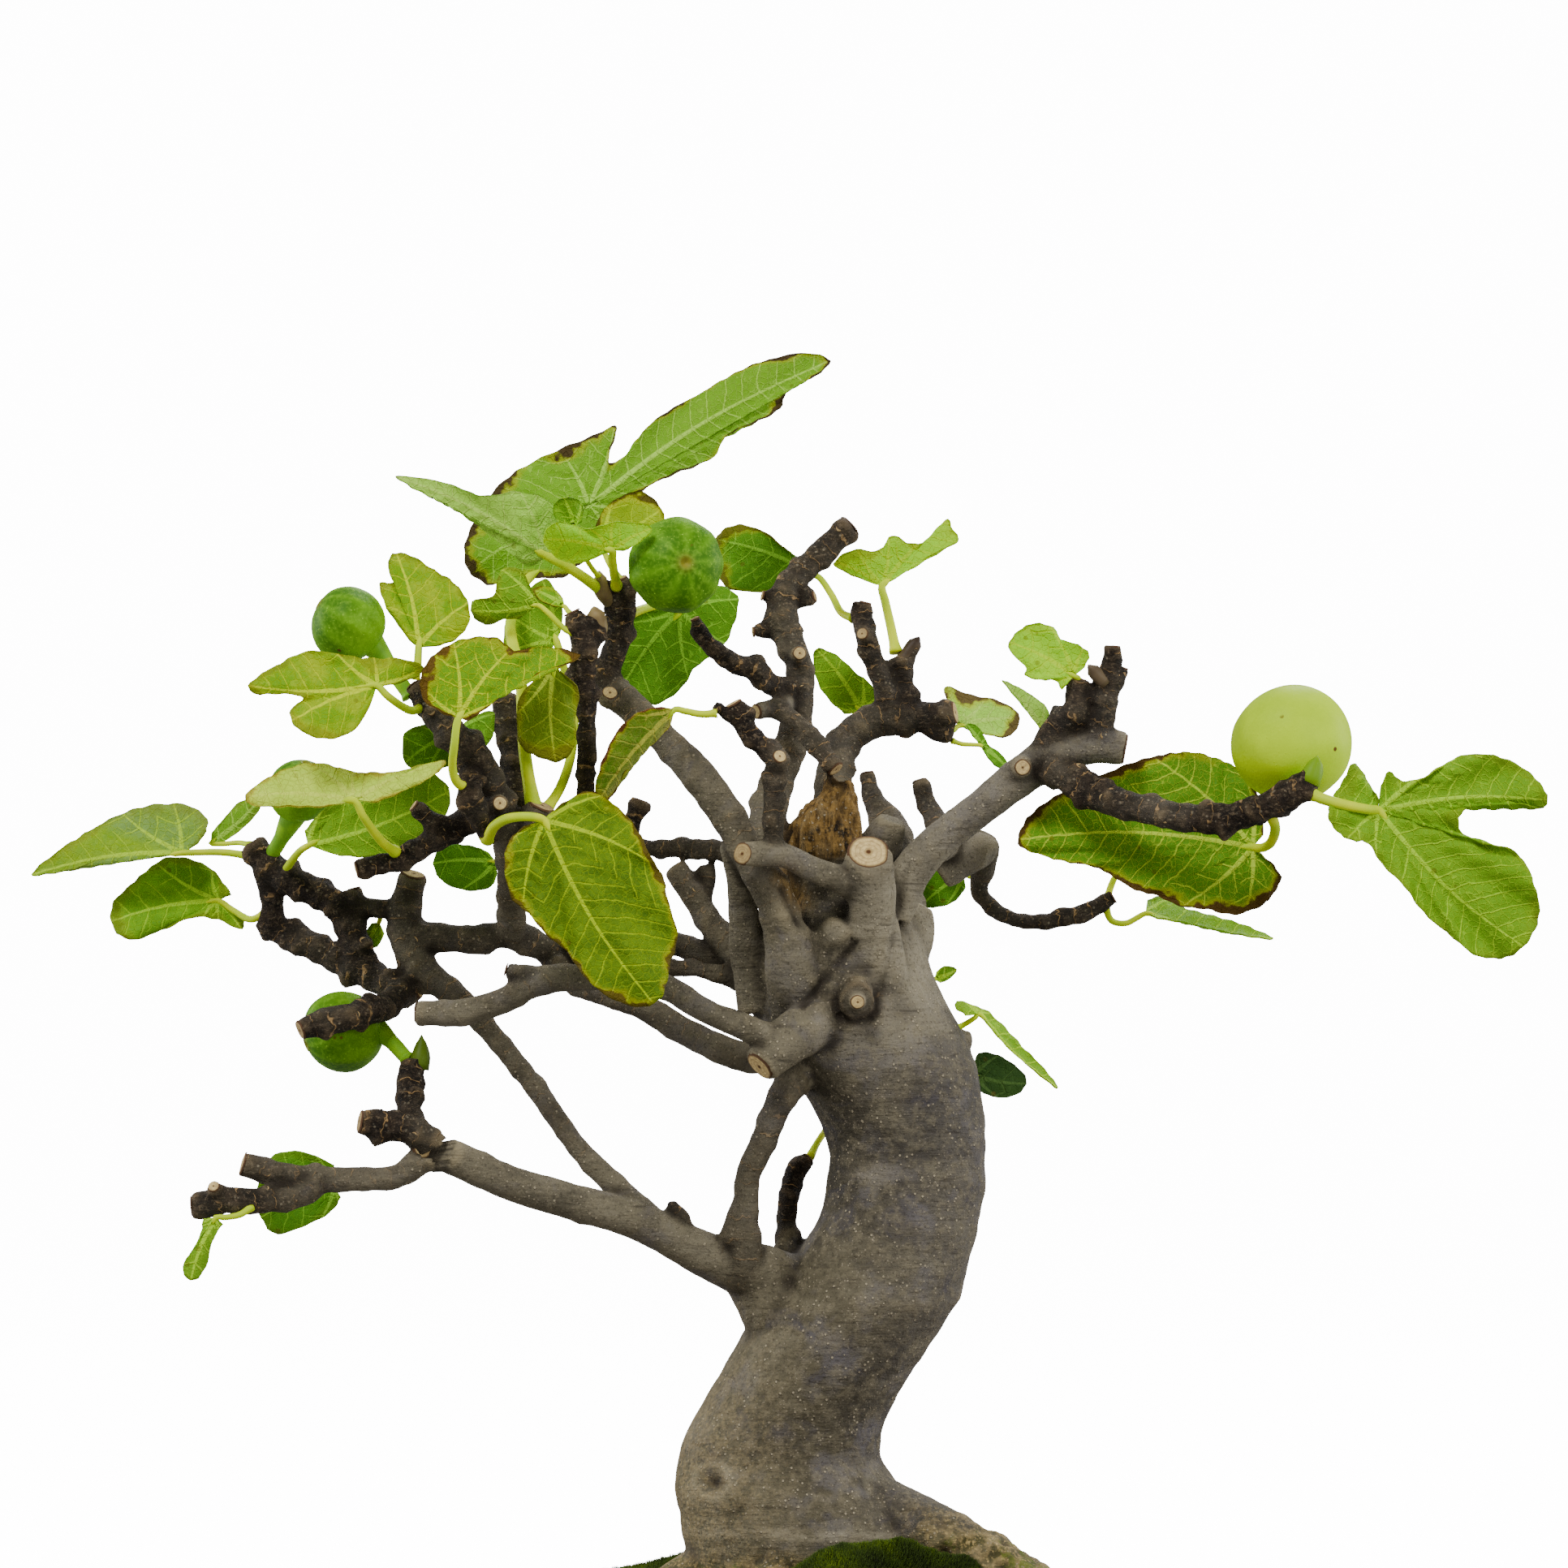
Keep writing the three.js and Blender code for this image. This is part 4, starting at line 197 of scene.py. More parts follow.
        [-52, 1, 269, 2.6], [-64, 3, 271, 2.8]
    ],
    "l": [
        [-44, -12, 192, 4.8], [-50, -11, 198, 3.9], [-65.6, -8, 213.8, 3.3], [-78.6, -5, 232, 3.3],
        [-93.6, -2, 250.5, 3.4], [-104, 1, 261.2, 4], [-113.2, 4, 268.3, 5.2], [-118, 6, 278, 5.6],
        [-118.4, 6, 287, 5.2], [-116, 4, 297.8, 4.3]
    ],
    "n": [
        [-85.4, 1, 279, 4.6], [-86, -8, 289, 4], [-85.6, -18, 299, 4.6], [-86.4, -25, 308, 5.2],
        [-91.9, -31, 322.8, 5.4], [-98.2, -34, 334.3, 5.1], [-105.4, -35, 342, 4.5],
        [-110.9, -33, 349, 3.9], [-115.8, -31, 355.6, 3.4]
    ],
    "n_left": [
        [-96, -30, 316, 4.2], [-103.4, -29, 312, 3.8], [-110.9, -30, 307.5, 3.5], [-121, -31, 302.2, 3],
        [-133.7, -32, 299, 2.9]
    ],
    "n_left_stub": [[-108, -30, 310, 2.9], [-112.9, -31, 316.4, 2.5], [-116, -31.5, 318.8, 2.2]],
    "n_front": [
        [-93, -32, 327, 3.6], [-98, -36, 328, 3.4], [-98.6, -40, 323, 3.5], [-95.6, -38, 315, 3.3],
        [-92, -34, 309.5, 3.4]
    ],
    "n_cut": [[-85.8, -22, 303, 4.2], [-80.5, -27, 309, 4.3], [-76.4, -29, 318.8, 4.5]],
    "n_up": [
        [-88, -26, 312, 4.3], [-84.4, -21, 321, 4.1], [-85.4, -19, 334, 3.8], [-87.2, -18, 344.5, 3.8],
        [-88.6, -17, 353, 3.6]
    ],
    "m": [
        [-165.7, 14, 307, 4.2], [-162.2, 13, 302.3, 4.2], [-155.7, 12, 297.3, 4.4], [-146.2, 11, 292, 4.3],
        [-139.7, 10, 288.3, 4.2], [-136, 9, 281, 4.2], [-133, 9, 273.6, 4.3], [-130.6, 9, 267.8, 4.2]
    ],
    "m_low": [
        [-163, 17, 284.6, 3.8], [-155.7, 16, 279.5, 4], [-146.2, 14, 275.5, 4.1], [-138.4, 12, 271, 4.3],
        [-130.2, 9, 267.2, 4.4], [-122.4, 6, 263.3, 4.2], [-114, 4, 263.4, 4.4]
    ],
    "m_link": [[-163.2, 13, 302, 3.2], [-160.6, 15, 293, 3], [-157.6, 16, 281, 3]],
    "m_hub": [[-139, 10, 287.6, 3], [-129, 8, 287.6, 2.8], [-118, 6, 286, 3]],
    "m_stub": [[-133.4, 9, 279, 3], [-133.8, 8, 290.5, 2.5], [-134.4, 8, 293.4, 2.3]],
    "m_front": [
        [-119, 4, 263, 4], [-124.2, -5, 257.2, 3.9], [-131, -13, 255.2, 3.9], [-139, -17, 253, 3.9],
        [-146.4, -18, 251.5, 3.7], [-150.9, -19, 249.6, 3.3]
    ],
    "j": [
        [4, 0, 170, 10], [-8.4, -5, 174.5, 9], [-20, -8, 178, 7.6], [-33, -10, 184, 6.2],
        [-48.4, -13, 191.6, 5.9], [-68.4, -16, 197.2, 5.5], [-87.2, -19, 203, 5.3],
        [-103.9, -21, 210.5, 5.3], [-113.4, -22, 214, 4.6]
    ],
    "j_foot": [[8, -1, 146, 20], [1, -3, 158, 15], [-7, -4, 169, 11], [-14, -5, 177, 8]],
    "j_bud": [[-33, -10, 190.5, 3], [-36.8, -11, 196.8, 1.7]],
    "j1": [
        [-108, -21, 211.5, 4.8], [-113.6, -22, 209.6, 4.2], [-120.7, -23, 204.6, 3.6],
        [-136.4, -24, 203.8, 3.6], [-147.4, -25, 203.6, 4.1], [-157, -26, 205, 3.8],
        [-168.7, -27, 208.6, 3.9]
    ],
    "j1_low": [
        [-146, -25, 202.6, 4], [-151, -28, 199, 3.8], [-163.2, -30, 197, 3.5], [-174.2, -31, 197.2, 3.7],
        [-179, -31, 196, 3.9], [-184.4, -31, 195.4, 3.5]
    ],
    "j2": [
        [-110, -22, 214.6, 4.6], [-117, -23, 219, 4.3], [-125.2, -24, 220.3, 4.1], [-132.6, -25, 221.6, 3.9]
    ],
    "j3": [
        [-114, -22, 216, 4.2], [-117.4, -19, 224, 3.7], [-117.2, -15, 231, 3.9], [-116.2, -12, 239.4, 3.9]
    ],
    "j3_bud": [[-114.6, -12, 238, 2.8], [-113.8, -12, 241.5, 2.6], [-113.6, -12, 246, 1]],
    "k1": [
        [-15, -8, 175, 6.5], [-14.4, -10, 183, 6], [-14.9, -11, 190.6, 5.2], [-13.6, -11, 197, 3.9],
        [-12.9, -11, 205.3, 3.8], [-8.4, -12, 215, 3.9], [-4.2, -12, 225.5, 4.1], [0, -11, 233, 5.2],
        [5, -9, 239, 6]
    ],
    "k2": [
        [0, 3, 179, 4.4], [-1.4, 5, 187, 3.2], [-0.6, 6, 196, 3], [0.2, 7, 202, 3.1], [2.4, 8, 207, 2.9],
        [5.6, 9, 210, 2.6]
    ]
}

# Leaves: outline [x, z] round the blade, petiole [x, depth, z] from the twig

LEAVES = {
    "leaf_top_large": {
        "base": [-80.4, -6, 389], "hub": [-62, 411], "tip": [12, 456],
        "lean": [0.05, 0.32], "fold": -0.12, "bow": 0.1, "wave": 1.5, "stalk": 2,
        "outline": [
            [-93.4, 386.8], [-99.1, 391], [-100.4, 398], [-97.6, 406], [-91.4, 415.8], [-83.6, 422.3],
            [-72.4, 428], [-60.9, 432.8], [-53.4, 435.8], [-55.2, 429.4], [-56, 424.6], [-52.4, 425.3],
            [-42.4, 437], [-27.9, 445.8], [-10.9, 454.8], [5.6, 458.3], [12.4, 455.8], [9.6, 452.6],
            [-1.1, 446.2], [-3.1, 441.3], [-19.9, 432.5], [-23.4, 426.3], [-34.4, 421.8], [-45.6, 415.8],
            [-55.6, 406.8], [-62, 396], [-70, 389]
        ],
        "petiole": [
            [-78.6, -28, 316], [-81.7, -28, 335], [-83, -27, 358], [-86.2, -19, 374], [-82.5, -9, 386]
        ]
    },
    "leaf_top_back": {
        "base": [-57.2, -9, 401], "tip": [-41, 412],
        "lean": [0, 0.2], "fold": 0.1, "bow": 0, "wave": 0.6, "stalk": 1,
        "outline": [
            [-60, 405], [-57.4, 410], [-52.2, 414], [-45.9, 415.6], [-40.4, 411.5], [-38.6, 405.8],
            [-43.4, 402], [-50, 399.6]
        ],
        "petiole": [[-52, -13, 388], [-56, -12, 394], [-57.6, -10, 399]]
    },
    "leaf_top_pale": {
        "base": [-75.4, -18, 396], "tip": [-121.2, 420.3],
        "lean": [0.12, -0.35], "fold": 0.2, "bow": -0.1, "wave": 1, "stalk": 1.8,
        "outline": [
            [-77.4, 393.4], [-80.9, 392.8], [-85.4, 395.8], [-92.2, 402], [-103.4, 410], [-121.4, 420.2],
            [-107.2, 418.6], [-94.4, 414.3], [-83.4, 415.6], [-74, 412.5], [-70.4, 405.8], [-71.4, 399.6]
        ],
        "petiole": [[-57, -12, 383.8], [-62, -15, 388], [-70, -18, 393.2]]
    },
    "leaf_top_crinkled": {
        "base": [-66.6, -24, 404.6], "tip": [-71, 412.5],
        "lean": [0.2, -0.4], "fold": 0.4, "bow": 0, "wave": 1.6, "stalk": 0.8,
        "outline": [
            [-69.6, 405.4], [-72.4, 407.5], [-72.9, 411.3], [-69.7, 413.8], [-65.4, 413], [-63.7, 409.6],
            [-64.2, 406.4]
        ],
        "petiole": [[-58.8, -12.9, 389.2], [-62, -20, 393.4], [-66, -25, 401]]
    },
    "leaf_top_bright": {
        "base": [-54.9, -27, 397.5], "tip": [-76, 400],
        "lean": [0.1, -0.5], "fold": 0.35, "bow": -0.3, "wave": 1.2, "stalk": 1.5,
        "outline": [
            [-59.7, 395.8], [-65.4, 393.5], [-71.4, 394.8], [-76.2, 401], [-72.9, 405.8], [-67, 405.2],
            [-61.5, 404.2], [-53.4, 406.3], [-42.5, 404.3], [-46.3, 400], [-51.4, 397.4]
        ],
        "petiole": [[-53.4, -14, 386.4], [-54.2, -19, 390], [-54.8, -25, 395]]
    },
    "leaf_top_scorched": {
        "base": [8.4, 32, 389.5], "tip": [-22, 395],
        "lean": [-0.1, 0.35], "fold": -0.25, "bow": 0.1, "wave": 1.1, "stalk": 1.3,
        "outline": [
            [3.6, 394], [-3, 399.3], [-9.7, 404], [-17.2, 405.2], [-22.4, 402], [-22.9, 394.5],
            [-20.2, 386.5], [-10.9, 384.6], [-1, 385.2], [5, 387.6]
        ],
        "petiole": [[19.6, 25, 376.5], [15.6, 29, 378.5], [12.6, 31, 384]]
    },
    "leaf_top_right": {
        "base": [28.3, 32, 386.5], "tip": [50, 405],
        "lean": [0.1, 0.3], "fold": -0.7, "bow": 0.2, "wave": 0.8, "stalk": 1.6,
        "outline": [
            [24.4, 387.6], [18.8, 390], [13.4, 393.2], [19.1, 397.6], [27.6, 397.6], [31.3, 402.2],
            [37.1, 399.6], [43.5, 401], [48.6, 407.2], [50.2, 403.4], [52.1, 401], [44.1, 396.5],
            [37.1, 392.5], [31.4, 388.4]
        ],
        "petiole": [[32.6, 27, 366], [31, 29, 374], [29.2, 31, 382]]
    },
    "leaf_behind_fig": {
        "base": [-34, 13, 379], "tip": [-52, 352],
        "lean": [0.15, 0.25], "fold": -0.15, "bow": 0.1, "wave": 1.3, "stalk": 1.5,
        "outline": [
            [-42, 381.5], [-48, 378], [-52.4, 370], [-54.4, 360], [-54, 353.6], [-47.9, 351.4],
            [-41.4, 350], [-33.9, 354.6], [-28.9, 361.8], [-21.6, 366.6], [-17.4, 374.5], [-16.2, 383.3],
            [-22.4, 386.6], [-29, 384.4]
        ],
        "petiole": [[-50, -9, 377.5], [-45, -4, 379.5], [-38.6, 8, 380.6]]
    },
    "leaf_fork_small": {
        "base": [-77.7, -26, 380.6], "tip": [-97, 379],
        "lean": [0.2, -0.4], "fold": 0.5, "bow": 0.2, "wave": 0.6, "stalk": 1,
        "outline": [
            [-79, 384], [-83.4, 391.6], [-88.9, 391.6], [-91.7, 383.4], [-97.9, 381.8], [-97.9, 377.6],
            [-93.7, 374.6], [-88.8, 376.2], [-83.6, 376.4]
        ],
        "petiole": [[-66, -26, 371.4], [-69.4, -27, 373.2], [-75, -27, 378.6]]
    },
    "leaf_fork_tip": {
        "base": [-69.5, -22, 380.2], "tip": [-79, 384],
        "lean": [0.3, 0.3], "fold": 0.4, "bow": 0, "wave": 0.3, "stalk": 0.9,
        "outline": [[-70, 382.6], [-72, 385], [-75.6, 386.4], [-79.4, 385.4], [-77.9, 382.6], [-72.8, 380]],
        "petiole": [[-66.6, -24, 377], [-68.6, -23, 379]]
    },
    "leaf_inner_left": {
        "base": [-72, -10, 369.5], "tip": [-78, 388],
        "lean": [0.2, 0.25], "fold": -0.1, "bow": 0.1, "wave": 0.8, "stalk": 1.6,
        "outline": [
            [-70.6, 372.5], [-70.4, 380.8], [-75.4, 388.6], [-82.2, 383.3], [-87.9, 374], [-87.4, 367],
            [-80.7, 363.6], [-74.4, 366]
        ],
        "petiole": [
            [-75.6, -26, 317], [-71, -22, 324], [-67.6, -17, 334], [-66.6, -14, 346], [-69.4, -12, 360]
        ]
    },
    "leaf_front_large": {
        "base": [-75.9, -46, 314.3], "tip": [-44.9, 257],
        "lean": [0.1, 0.28], "fold": 0.22, "bow": 0.12, "wave": 1.4, "stalk": 1.7,
        "outline": [
            [-82, 312], [-86.2, 308.6], [-88, 301.3], [-85.6, 290], [-80.4, 285.5], [-74.9, 278.8],
            [-69.4, 274.5], [-62.7, 265.5], [-54.9, 259.3], [-44.9, 256.8], [-39.7, 259.8], [-37, 270],
            [-34.7, 278.8], [-38.2, 291], [-39.2, 296.8], [-42.4, 302.3], [-48.2, 313], [-53.4, 318.5],
            [-58.2, 322], [-63.7, 323], [-70, 319.4]
        ],
        "petiole": [[-93.4, -36, 308.4], [-91, -41, 312.6], [-86.4, -45, 315], [-79.6, -47, 315.4]]
    },
    "leaf_folded_front": {
        "base": [-35.4, -30, 348.5], "tip": [-59.6, 320],
        "lean": [0.9, -0.75], "fold": 0.4, "bow": 0.15, "wave": 0.8, "stalk": 1.2,
        "outline": [
            [-39, 349.2], [-44, 348.5], [-51.4, 344], [-56.4, 336], [-59.6, 326.5], [-60, 319],
            [-55.9, 320.8], [-50.4, 329.8], [-43.4, 336.6], [-37.6, 342.5]
        ],
        "petiole": [[-22.5, -30, 347.4], [-27, -30, 347], [-32.6, -30, 348]]
    },
    "leaf_hanging": {
        "base": [-72.9, -32, 361.5], "tip": [-71, 332.5],
        "lean": [0.05, 0.12], "fold": 0.2, "bow": 0.1, "wave": 0.9, "stalk": 1.1,
        "outline": [
            [-77.9, 358.6], [-83.4, 352], [-84.2, 345.8], [-82.7, 336.8], [-77.9, 333.9], [-70.9, 332.4],
            [-66.4, 337], [-66.2, 345.8], [-65.2, 354.6], [-69.2, 358.6]
        ],
        "petiole": [[-66.4, -26, 364.4], [-69, -30, 364.6], [-72, -32, 363.6]]
    },
    "leaf_round_front": {
        "base": [-102.2, -48, 345.8], "tip": [-86, 368],
        "lean": [0.33, 0.15], "fold": 0.12, "bow": 0.1, "wave": 1.1, "stalk": 1.5,
        "outline": [
            [-107.2, 347.5], [-112.9, 351.5], [-114, 357.6], [-111.4, 363.6], [-105.9, 368], [-98.4, 370.6],
            [-90.4, 370.4], [-84.9, 366.6], [-79.7, 367.6], [-74.7, 367.8], [-64.7, 364.9], [-76.4, 360],
            [-85.4, 355.3], [-93.4, 349], [-99, 345]
        ],
        "petiole": [[-99.8, -39.6, 324.4], [-102.6, -43, 326], [-104, -45, 330], [-103.4, -48, 338]]
    },
    "leaf_upper_left": {
        "base": [-114.4, -29, 367.8], "tip": [-110, 394],
        "lean": [-0.05, 0.3], "fold": -0.2, "bow": 0.15, "wave": 1.2, "stalk": 1.4,
        "outline": [
            [-117.4, 370], [-121.2, 375], [-124.7, 380.8], [-126.4, 387.4], [-121.6, 387.6],
            [-123.9, 392.3], [-122.6, 396.4], [-116.7, 395.8], [-109.7, 391.4], [-103.9, 387.8],
            [-99.7, 382.5], [-98.9, 375], [-103, 370.2], [-108.4, 368]
        ],
        "petiole": [[-115.6, -30, 357.6], [-114.8, -30, 362]]
    },
    "leaf_left_lobed": {
        "base": [-127.4, -42, 355.8], "tip": [-166, 354.5],
        "lean": [0.15, 0.5], "fold": -0.1, "bow": 0.1, "wave": 1.2, "stalk": 1.4,
        "outline": [
            [-121.4, 356.6], [-114.6, 358.8], [-112.8, 361.5], [-119.7, 364], [-130.9, 364.2],
            [-139.7, 365.6], [-148.4, 366.5], [-157.2, 362.6], [-166.9, 355.8], [-165.4, 353.3],
            [-157.2, 353.5], [-150, 352], [-153.9, 348.4], [-152.9, 343.6], [-142.9, 339.3],
            [-133.9, 342.5], [-129.7, 349]
        ],
        "petiole": [[-112.6, -33, 349.6], [-117, -38, 348.2], [-124, -42, 352.6]]
    },
    "leaf_left_wide": {
        "base": [-134.2, -44, 320.3], "tip": [-167, 320],
        "lean": [-0.12, 0.8], "fold": 0, "bow": -0.1, "wave": 1.1, "stalk": 1.5,
        "outline": [
            [-143.4, 318.4], [-154.7, 318.6], [-165.9, 319], [-168, 321.4], [-162.2, 326.6],
            [-153.4, 330.8], [-144.7, 331.8], [-133.4, 329.2], [-120.9, 329.4], [-112.2, 331.8],
            [-106, 332.4], [-109.6, 328.3], [-118.4, 323.6], [-127.2, 320]
        ],
        "petiole": [[-121.6, -33, 304.6], [-126, -38, 308], [-131.6, -43, 315.6]]
    },
    "leaf_left_dark": {
        "base": [-148.4, -4, 306.5], "tip": [-108, 328],
        "lean": [-0.1, 0.25], "fold": -0.1, "bow": 0, "wave": 1.2, "stalk": 1.3,
        "outline": [
            [-149.6, 311], [-143.4, 318], [-133.4, 323.6], [-120.9, 328.3], [-111.4, 329.5], [-104.8, 323.3],
            [-107.2, 314], [-115.9, 307.6], [-125.9, 303.6], [-138.4, 303.3]
        ],
        "petiole": [[-156, 11, 298], [-153.4, 5, 302], [-150.6, -1, 305.2]]
    },
    "leaf_left_shadow": {
        "base": [-90.6, -4, 301.5], "tip": [-113, 303],
        "lean": [0.1, 0.3], "fold": -0.1, "bow": 0, "wave": 0.8, "stalk": 1,
        "outline": [
            [-93, 304.6], [-98, 306.4], [-103.4, 306.8], [-108, 305.6], [-110, 301], [-107.2, 295.6],
            [-98.4, 292.6], [-92, 294], [-90.4, 298]
        ],
        "petiole": [[-86.4, -14, 297], [-87.6, -8, 299], [-89.6, -5, 300.8]]
    },
    "leaf_centre_hidden": {
        "base": [-104.4, -26, 341], "tip": [-112, 331],
        "lean": [0.1, 0.2], "fold": -0.1, "bow": 0, "wave": 0.8, "stalk": 1,
        "outline": [
            [-110.4, 344], [-114, 343.5], [-118.9, 341], [-117.9, 331], [-108.4, 330.4], [-99.7, 332.6],
            [-92.2, 339], [-91.6, 347.8], [-98.4, 346]
        ],
        "petiole": [[-105.4, -33, 341.4], [-105, -29, 341.2]]
    },
    "leaf_far_left": {
        "base": [-187.4, 18, 304.2], "tip": [-233, 298],
        "lean": [-0.1, 0.8], "fold": -0.25, "bow": 0.1, "wave": 1.2, "stalk": 1.2,
        "outline": [
            [-195.9, 303.4], [-208.4, 303], [-220.9, 299.6], [-233.7, 297.5], [-225.9, 304.6], [-215.9, 311],
            [-205.9, 316.4], [-195.9, 319.1], [-185.9, 319], [-179.6, 314.8], [-180.6, 309.5], [-185, 305.6]
        ],
        "petiole": [[-166, 15, 303.2], [-174, 17, 304.4], [-183.4, 18, 304.4]]
    },
    "leaf_left_lower": {
        "base": [-176.4, 26, 289.6], "tip": [-208, 284],
        "lean": [0.1, 0.35], "fold": -0.15, "bow": 0.1, "wave": 1.3, "stalk": 1.2,
        "outline": [
            [-172, 291.4], [-177.2, 298.3], [-183.4, 302], [-192.2, 302.8], [-198.4, 298.6],
            [-203.2, 294.5], [-208.9, 288.3], [-208.4, 280.8], [-203.4, 277.5], [-193.4, 280.6],
            [-183.4, 284.6], [-176, 283.6], [-169, 280.8], [-167.6, 285.4]
        ],
        "petiole": [[-162, 17, 285.4], [-166, 19, 283.8], [-171.6, 24, 286.6]]
    },
    "leaf_left_narrow": {
        "base": [-178.6, 24, 307.2], "tip": [-163, 321],
        "lean": [0.2, 0.2], "fold": 0.3, "bow": 0.2, "wave": 0.5, "stalk": 0.9,
        "outline": [
            [-178.2, 310.6], [-174.7, 314.6], [-169.7, 319.8], [-162.7, 321.8], [-163.9, 317],
            [-168.9, 311.6], [-174.7, 307.4]
        ],
        "petiole": [[-166.4, 16, 306.8], [-170, 20, 307.4], [-175.6, 23.5, 307]]
    },
    "leaf_back_right": {
        "base": [22, 34, 347.5], "tip": [6, 366],
        "lean": [0.1, 0.25], "fold": -0.15, "bow": 0.1, "wave": 1, "stalk": 1.2,
        "outline": [
            [16.6, 347], [10.3, 353.6], [7.3, 360.8], [8, 367.2], [14.1, 365.2], [20.3, 359.8],
            [25.3, 355.6], [26.2, 350.4]
        ],
        "petiole": [[25.6, 27, 345.8], [24, 31, 347]]
    },
    "leaf_right_brown": {
        "base": [52, 30, 343.4], "tip": [70, 345],
        "lean": [0.2, 0.5], "fold": 0.1, "bow": 0.1, "wave": 1, "stalk": 1,
        "outline": [
            [49.8, 347.4], [47.6, 355.4], [55.3, 353], [64.1, 351], [70.3, 347.2], [69.9, 342.5],
            [66.6, 340], [60.3, 340.9], [56, 341.6]
        ],
        "petiole": [[48.8, 25.4, 342.2], [50.2, 27.6, 342]]
    },
    "leaf_right_small": {
        "base": [58.6, 28, 337.4], "tip": [66, 332],
        "lean": [0.3, 0.5], "fold": -0.3, "bow": 0, "wave": 0.3, "stalk": 0.8,
        "outline": [
            [56.2, 340.2], [54.3, 344], [57, 343.6], [59.6, 340.6], [61, 337.6], [64, 335.6], [66.6, 332.6],
            [67.3, 329.8], [64, 330.6], [60.8, 333.6]
        ],
        "petiole": [[50, 25, 338.8], [53, 26.6, 337.8], [56.6, 27.6, 337.6]]
    },
    "leaf_right_top": {
        "base": [87.4, -16, 358.8], "tip": [69, 368],
        "lean": [0.15, 0.2], "fold": -0.15, "bow": 0.1, "wave": 1.1, "stalk": 1,
        "outline": [
            [83.6, 354.4], [81.6, 357.4], [77, 357.6], [72.2, 359.2], [72.6, 361], [67.1, 367.8],
            [70.4, 372.8], [75.4, 375.1], [81.1, 373.6], [83.2, 370.3], [88.9, 368.4], [92.2, 365.4],
            [90.6, 361.4]
        ],
        "petiole": [[89, -14, 357], [88.6, -15.4, 358.2]]
    },
    "leaf_right_pale": {
        "base": [78, -4, 341.6], "tip": [65.6, 357.2],
        "lean": [0.3, 0.2], "fold": 0.3, "bow": 0.2, "wave": 0.4, "stalk": 1,
        "outline": [
            [75, 345.4], [70.4, 351.6], [65.3, 357.4], [68.6, 356.2], [74.1, 353], [79, 349], [80.4, 344.6]
        ],
        "petiole": [[79, -10, 338], [78.8, -7, 340]]
    },
    "leaf_far_right": {
        "base": [181.4, -41, 317.3], "tip": [217, 273],
        "lean": [-0.05, 0.15], "fold": -0.22, "bow": 0.12, "wave": 1.6, "stalk": 1.8,
        "outline": [
            [181, 321], [178.2, 326], [173.4, 332], [170.6, 327], [166.9, 320.8], [165.6, 315.6],
            [168.4, 310.8], [173, 308], [177.6, 307.6], [182, 301], [189.1, 294], [196, 285], [204.4, 278],
            [210.6, 273], [217, 271.7], [223, 273], [229, 279.6], [230.9, 286.6], [229.4, 294],
            [226.6, 301], [222, 305.2], [213.2, 307.4], [207, 310.4], [206, 315], [209.4, 318.4],
            [217.1, 319.8], [226.4, 319.4], [232.1, 318], [233.4, 320.8], [231, 325.8], [225, 331],
            [216.4, 334.4], [208, 334.4], [200.4, 331], [194.4, 327.2], [188.6, 326.4], [184.4, 329.4],
            [182, 325]
        ],
        "petiole": [[160, -38, 322.6], [165, -41, 320.6], [173, -42, 318.6], [178.6, -42, 317.6]]
    },
    "leaf_right_large": {
        "base": [142.6, -16, 306], "tip": [71, 307],
        "lean": [-0.16, 0.3], "fold": 0.12, "bow": -0.05, "wave": 1.3, "stalk": 1.7,
        "outline": [
            [147.9, 301.5], [151.2, 296.8], [149, 291.8], [145.4, 288.2], [136.6, 285.2], [128.6, 286.8],
            [119.9, 288], [112.6, 291.2], [106.4, 292.8], [99.1, 297.2], [93.6, 300], [86.4, 301.3],
            [76.1, 304], [70.2, 307], [71.6, 312.8], [76.1, 318], [84, 323], [94, 327.4], [104.6, 331.8],
            [111.9, 333.8], [117.4, 335], [123.9, 335.3], [131.1, 333.4], [137.4, 330.6], [142.6, 325],
            [145.6, 317], [145.6, 310]
        ],
        "petiole": [[147.6, -34, 317], [149.4, -29, 312], [148, -23, 307.4], [145, -18, 305.8]]
    },
    "leaf_right_under": {
        "base": [109.4, 27, 285.6], "tip": [148.6, 278],
        "lean": [0.2, 1.6], "fold": 0, "bow": 0.1, "wave": 0.5, "stalk": 1.1,
        "outline": [
            [110, 289.8], [114.1, 290.8], [120.6, 287.6], [131.9, 284.4], [139.9, 282], [148.9, 277.8],
            [138.1, 279], [130.1, 280.6], [119.9, 282.9], [113, 284]
        ],
        "petiole": [[97, 24, 288], [99, 25, 283.4], [103.4, 26, 282.6], [107.4, 27, 284.6]]
    },
    "leaf_right_upright": {
        "base": [100.2, 25, 297], "tip": [112, 310],
        "lean": [0.2, 0.3], "fold": 0.1, "bow": 0, "wave": 0.6, "stalk": 1.2,
        "outline": [
            [97.6, 300], [98, 307], [103, 312.6], [110, 312.4], [112.6, 307], [108, 300.6], [103.4, 297.6]
        ],
        "petiole": [[97.4, 24, 289.4], [98.8, 25, 294]]
    },
    "leaf_behind_right": {
        "base": [53.4, 28, 297.6], "tip": [40, 292],
        "lean": [0.1, 0.25], "fold": -0.1, "bow": 0, "wave": 0.7, "stalk": 1,
        "outline": [
            [52.6, 301], [49.6, 303], [43.6, 300.6], [39.6, 294.5], [40.4, 288], [45.4, 287.6], [51, 289.6],
            [54, 293.6]
        ],
        "petiole": [[58.4, 21, 296], [55.6, 25, 297]]
    },
    "leaf_trunk_long": {
        "base": [58.2, -4, 254.6], "tip": [82.4, 231.8],
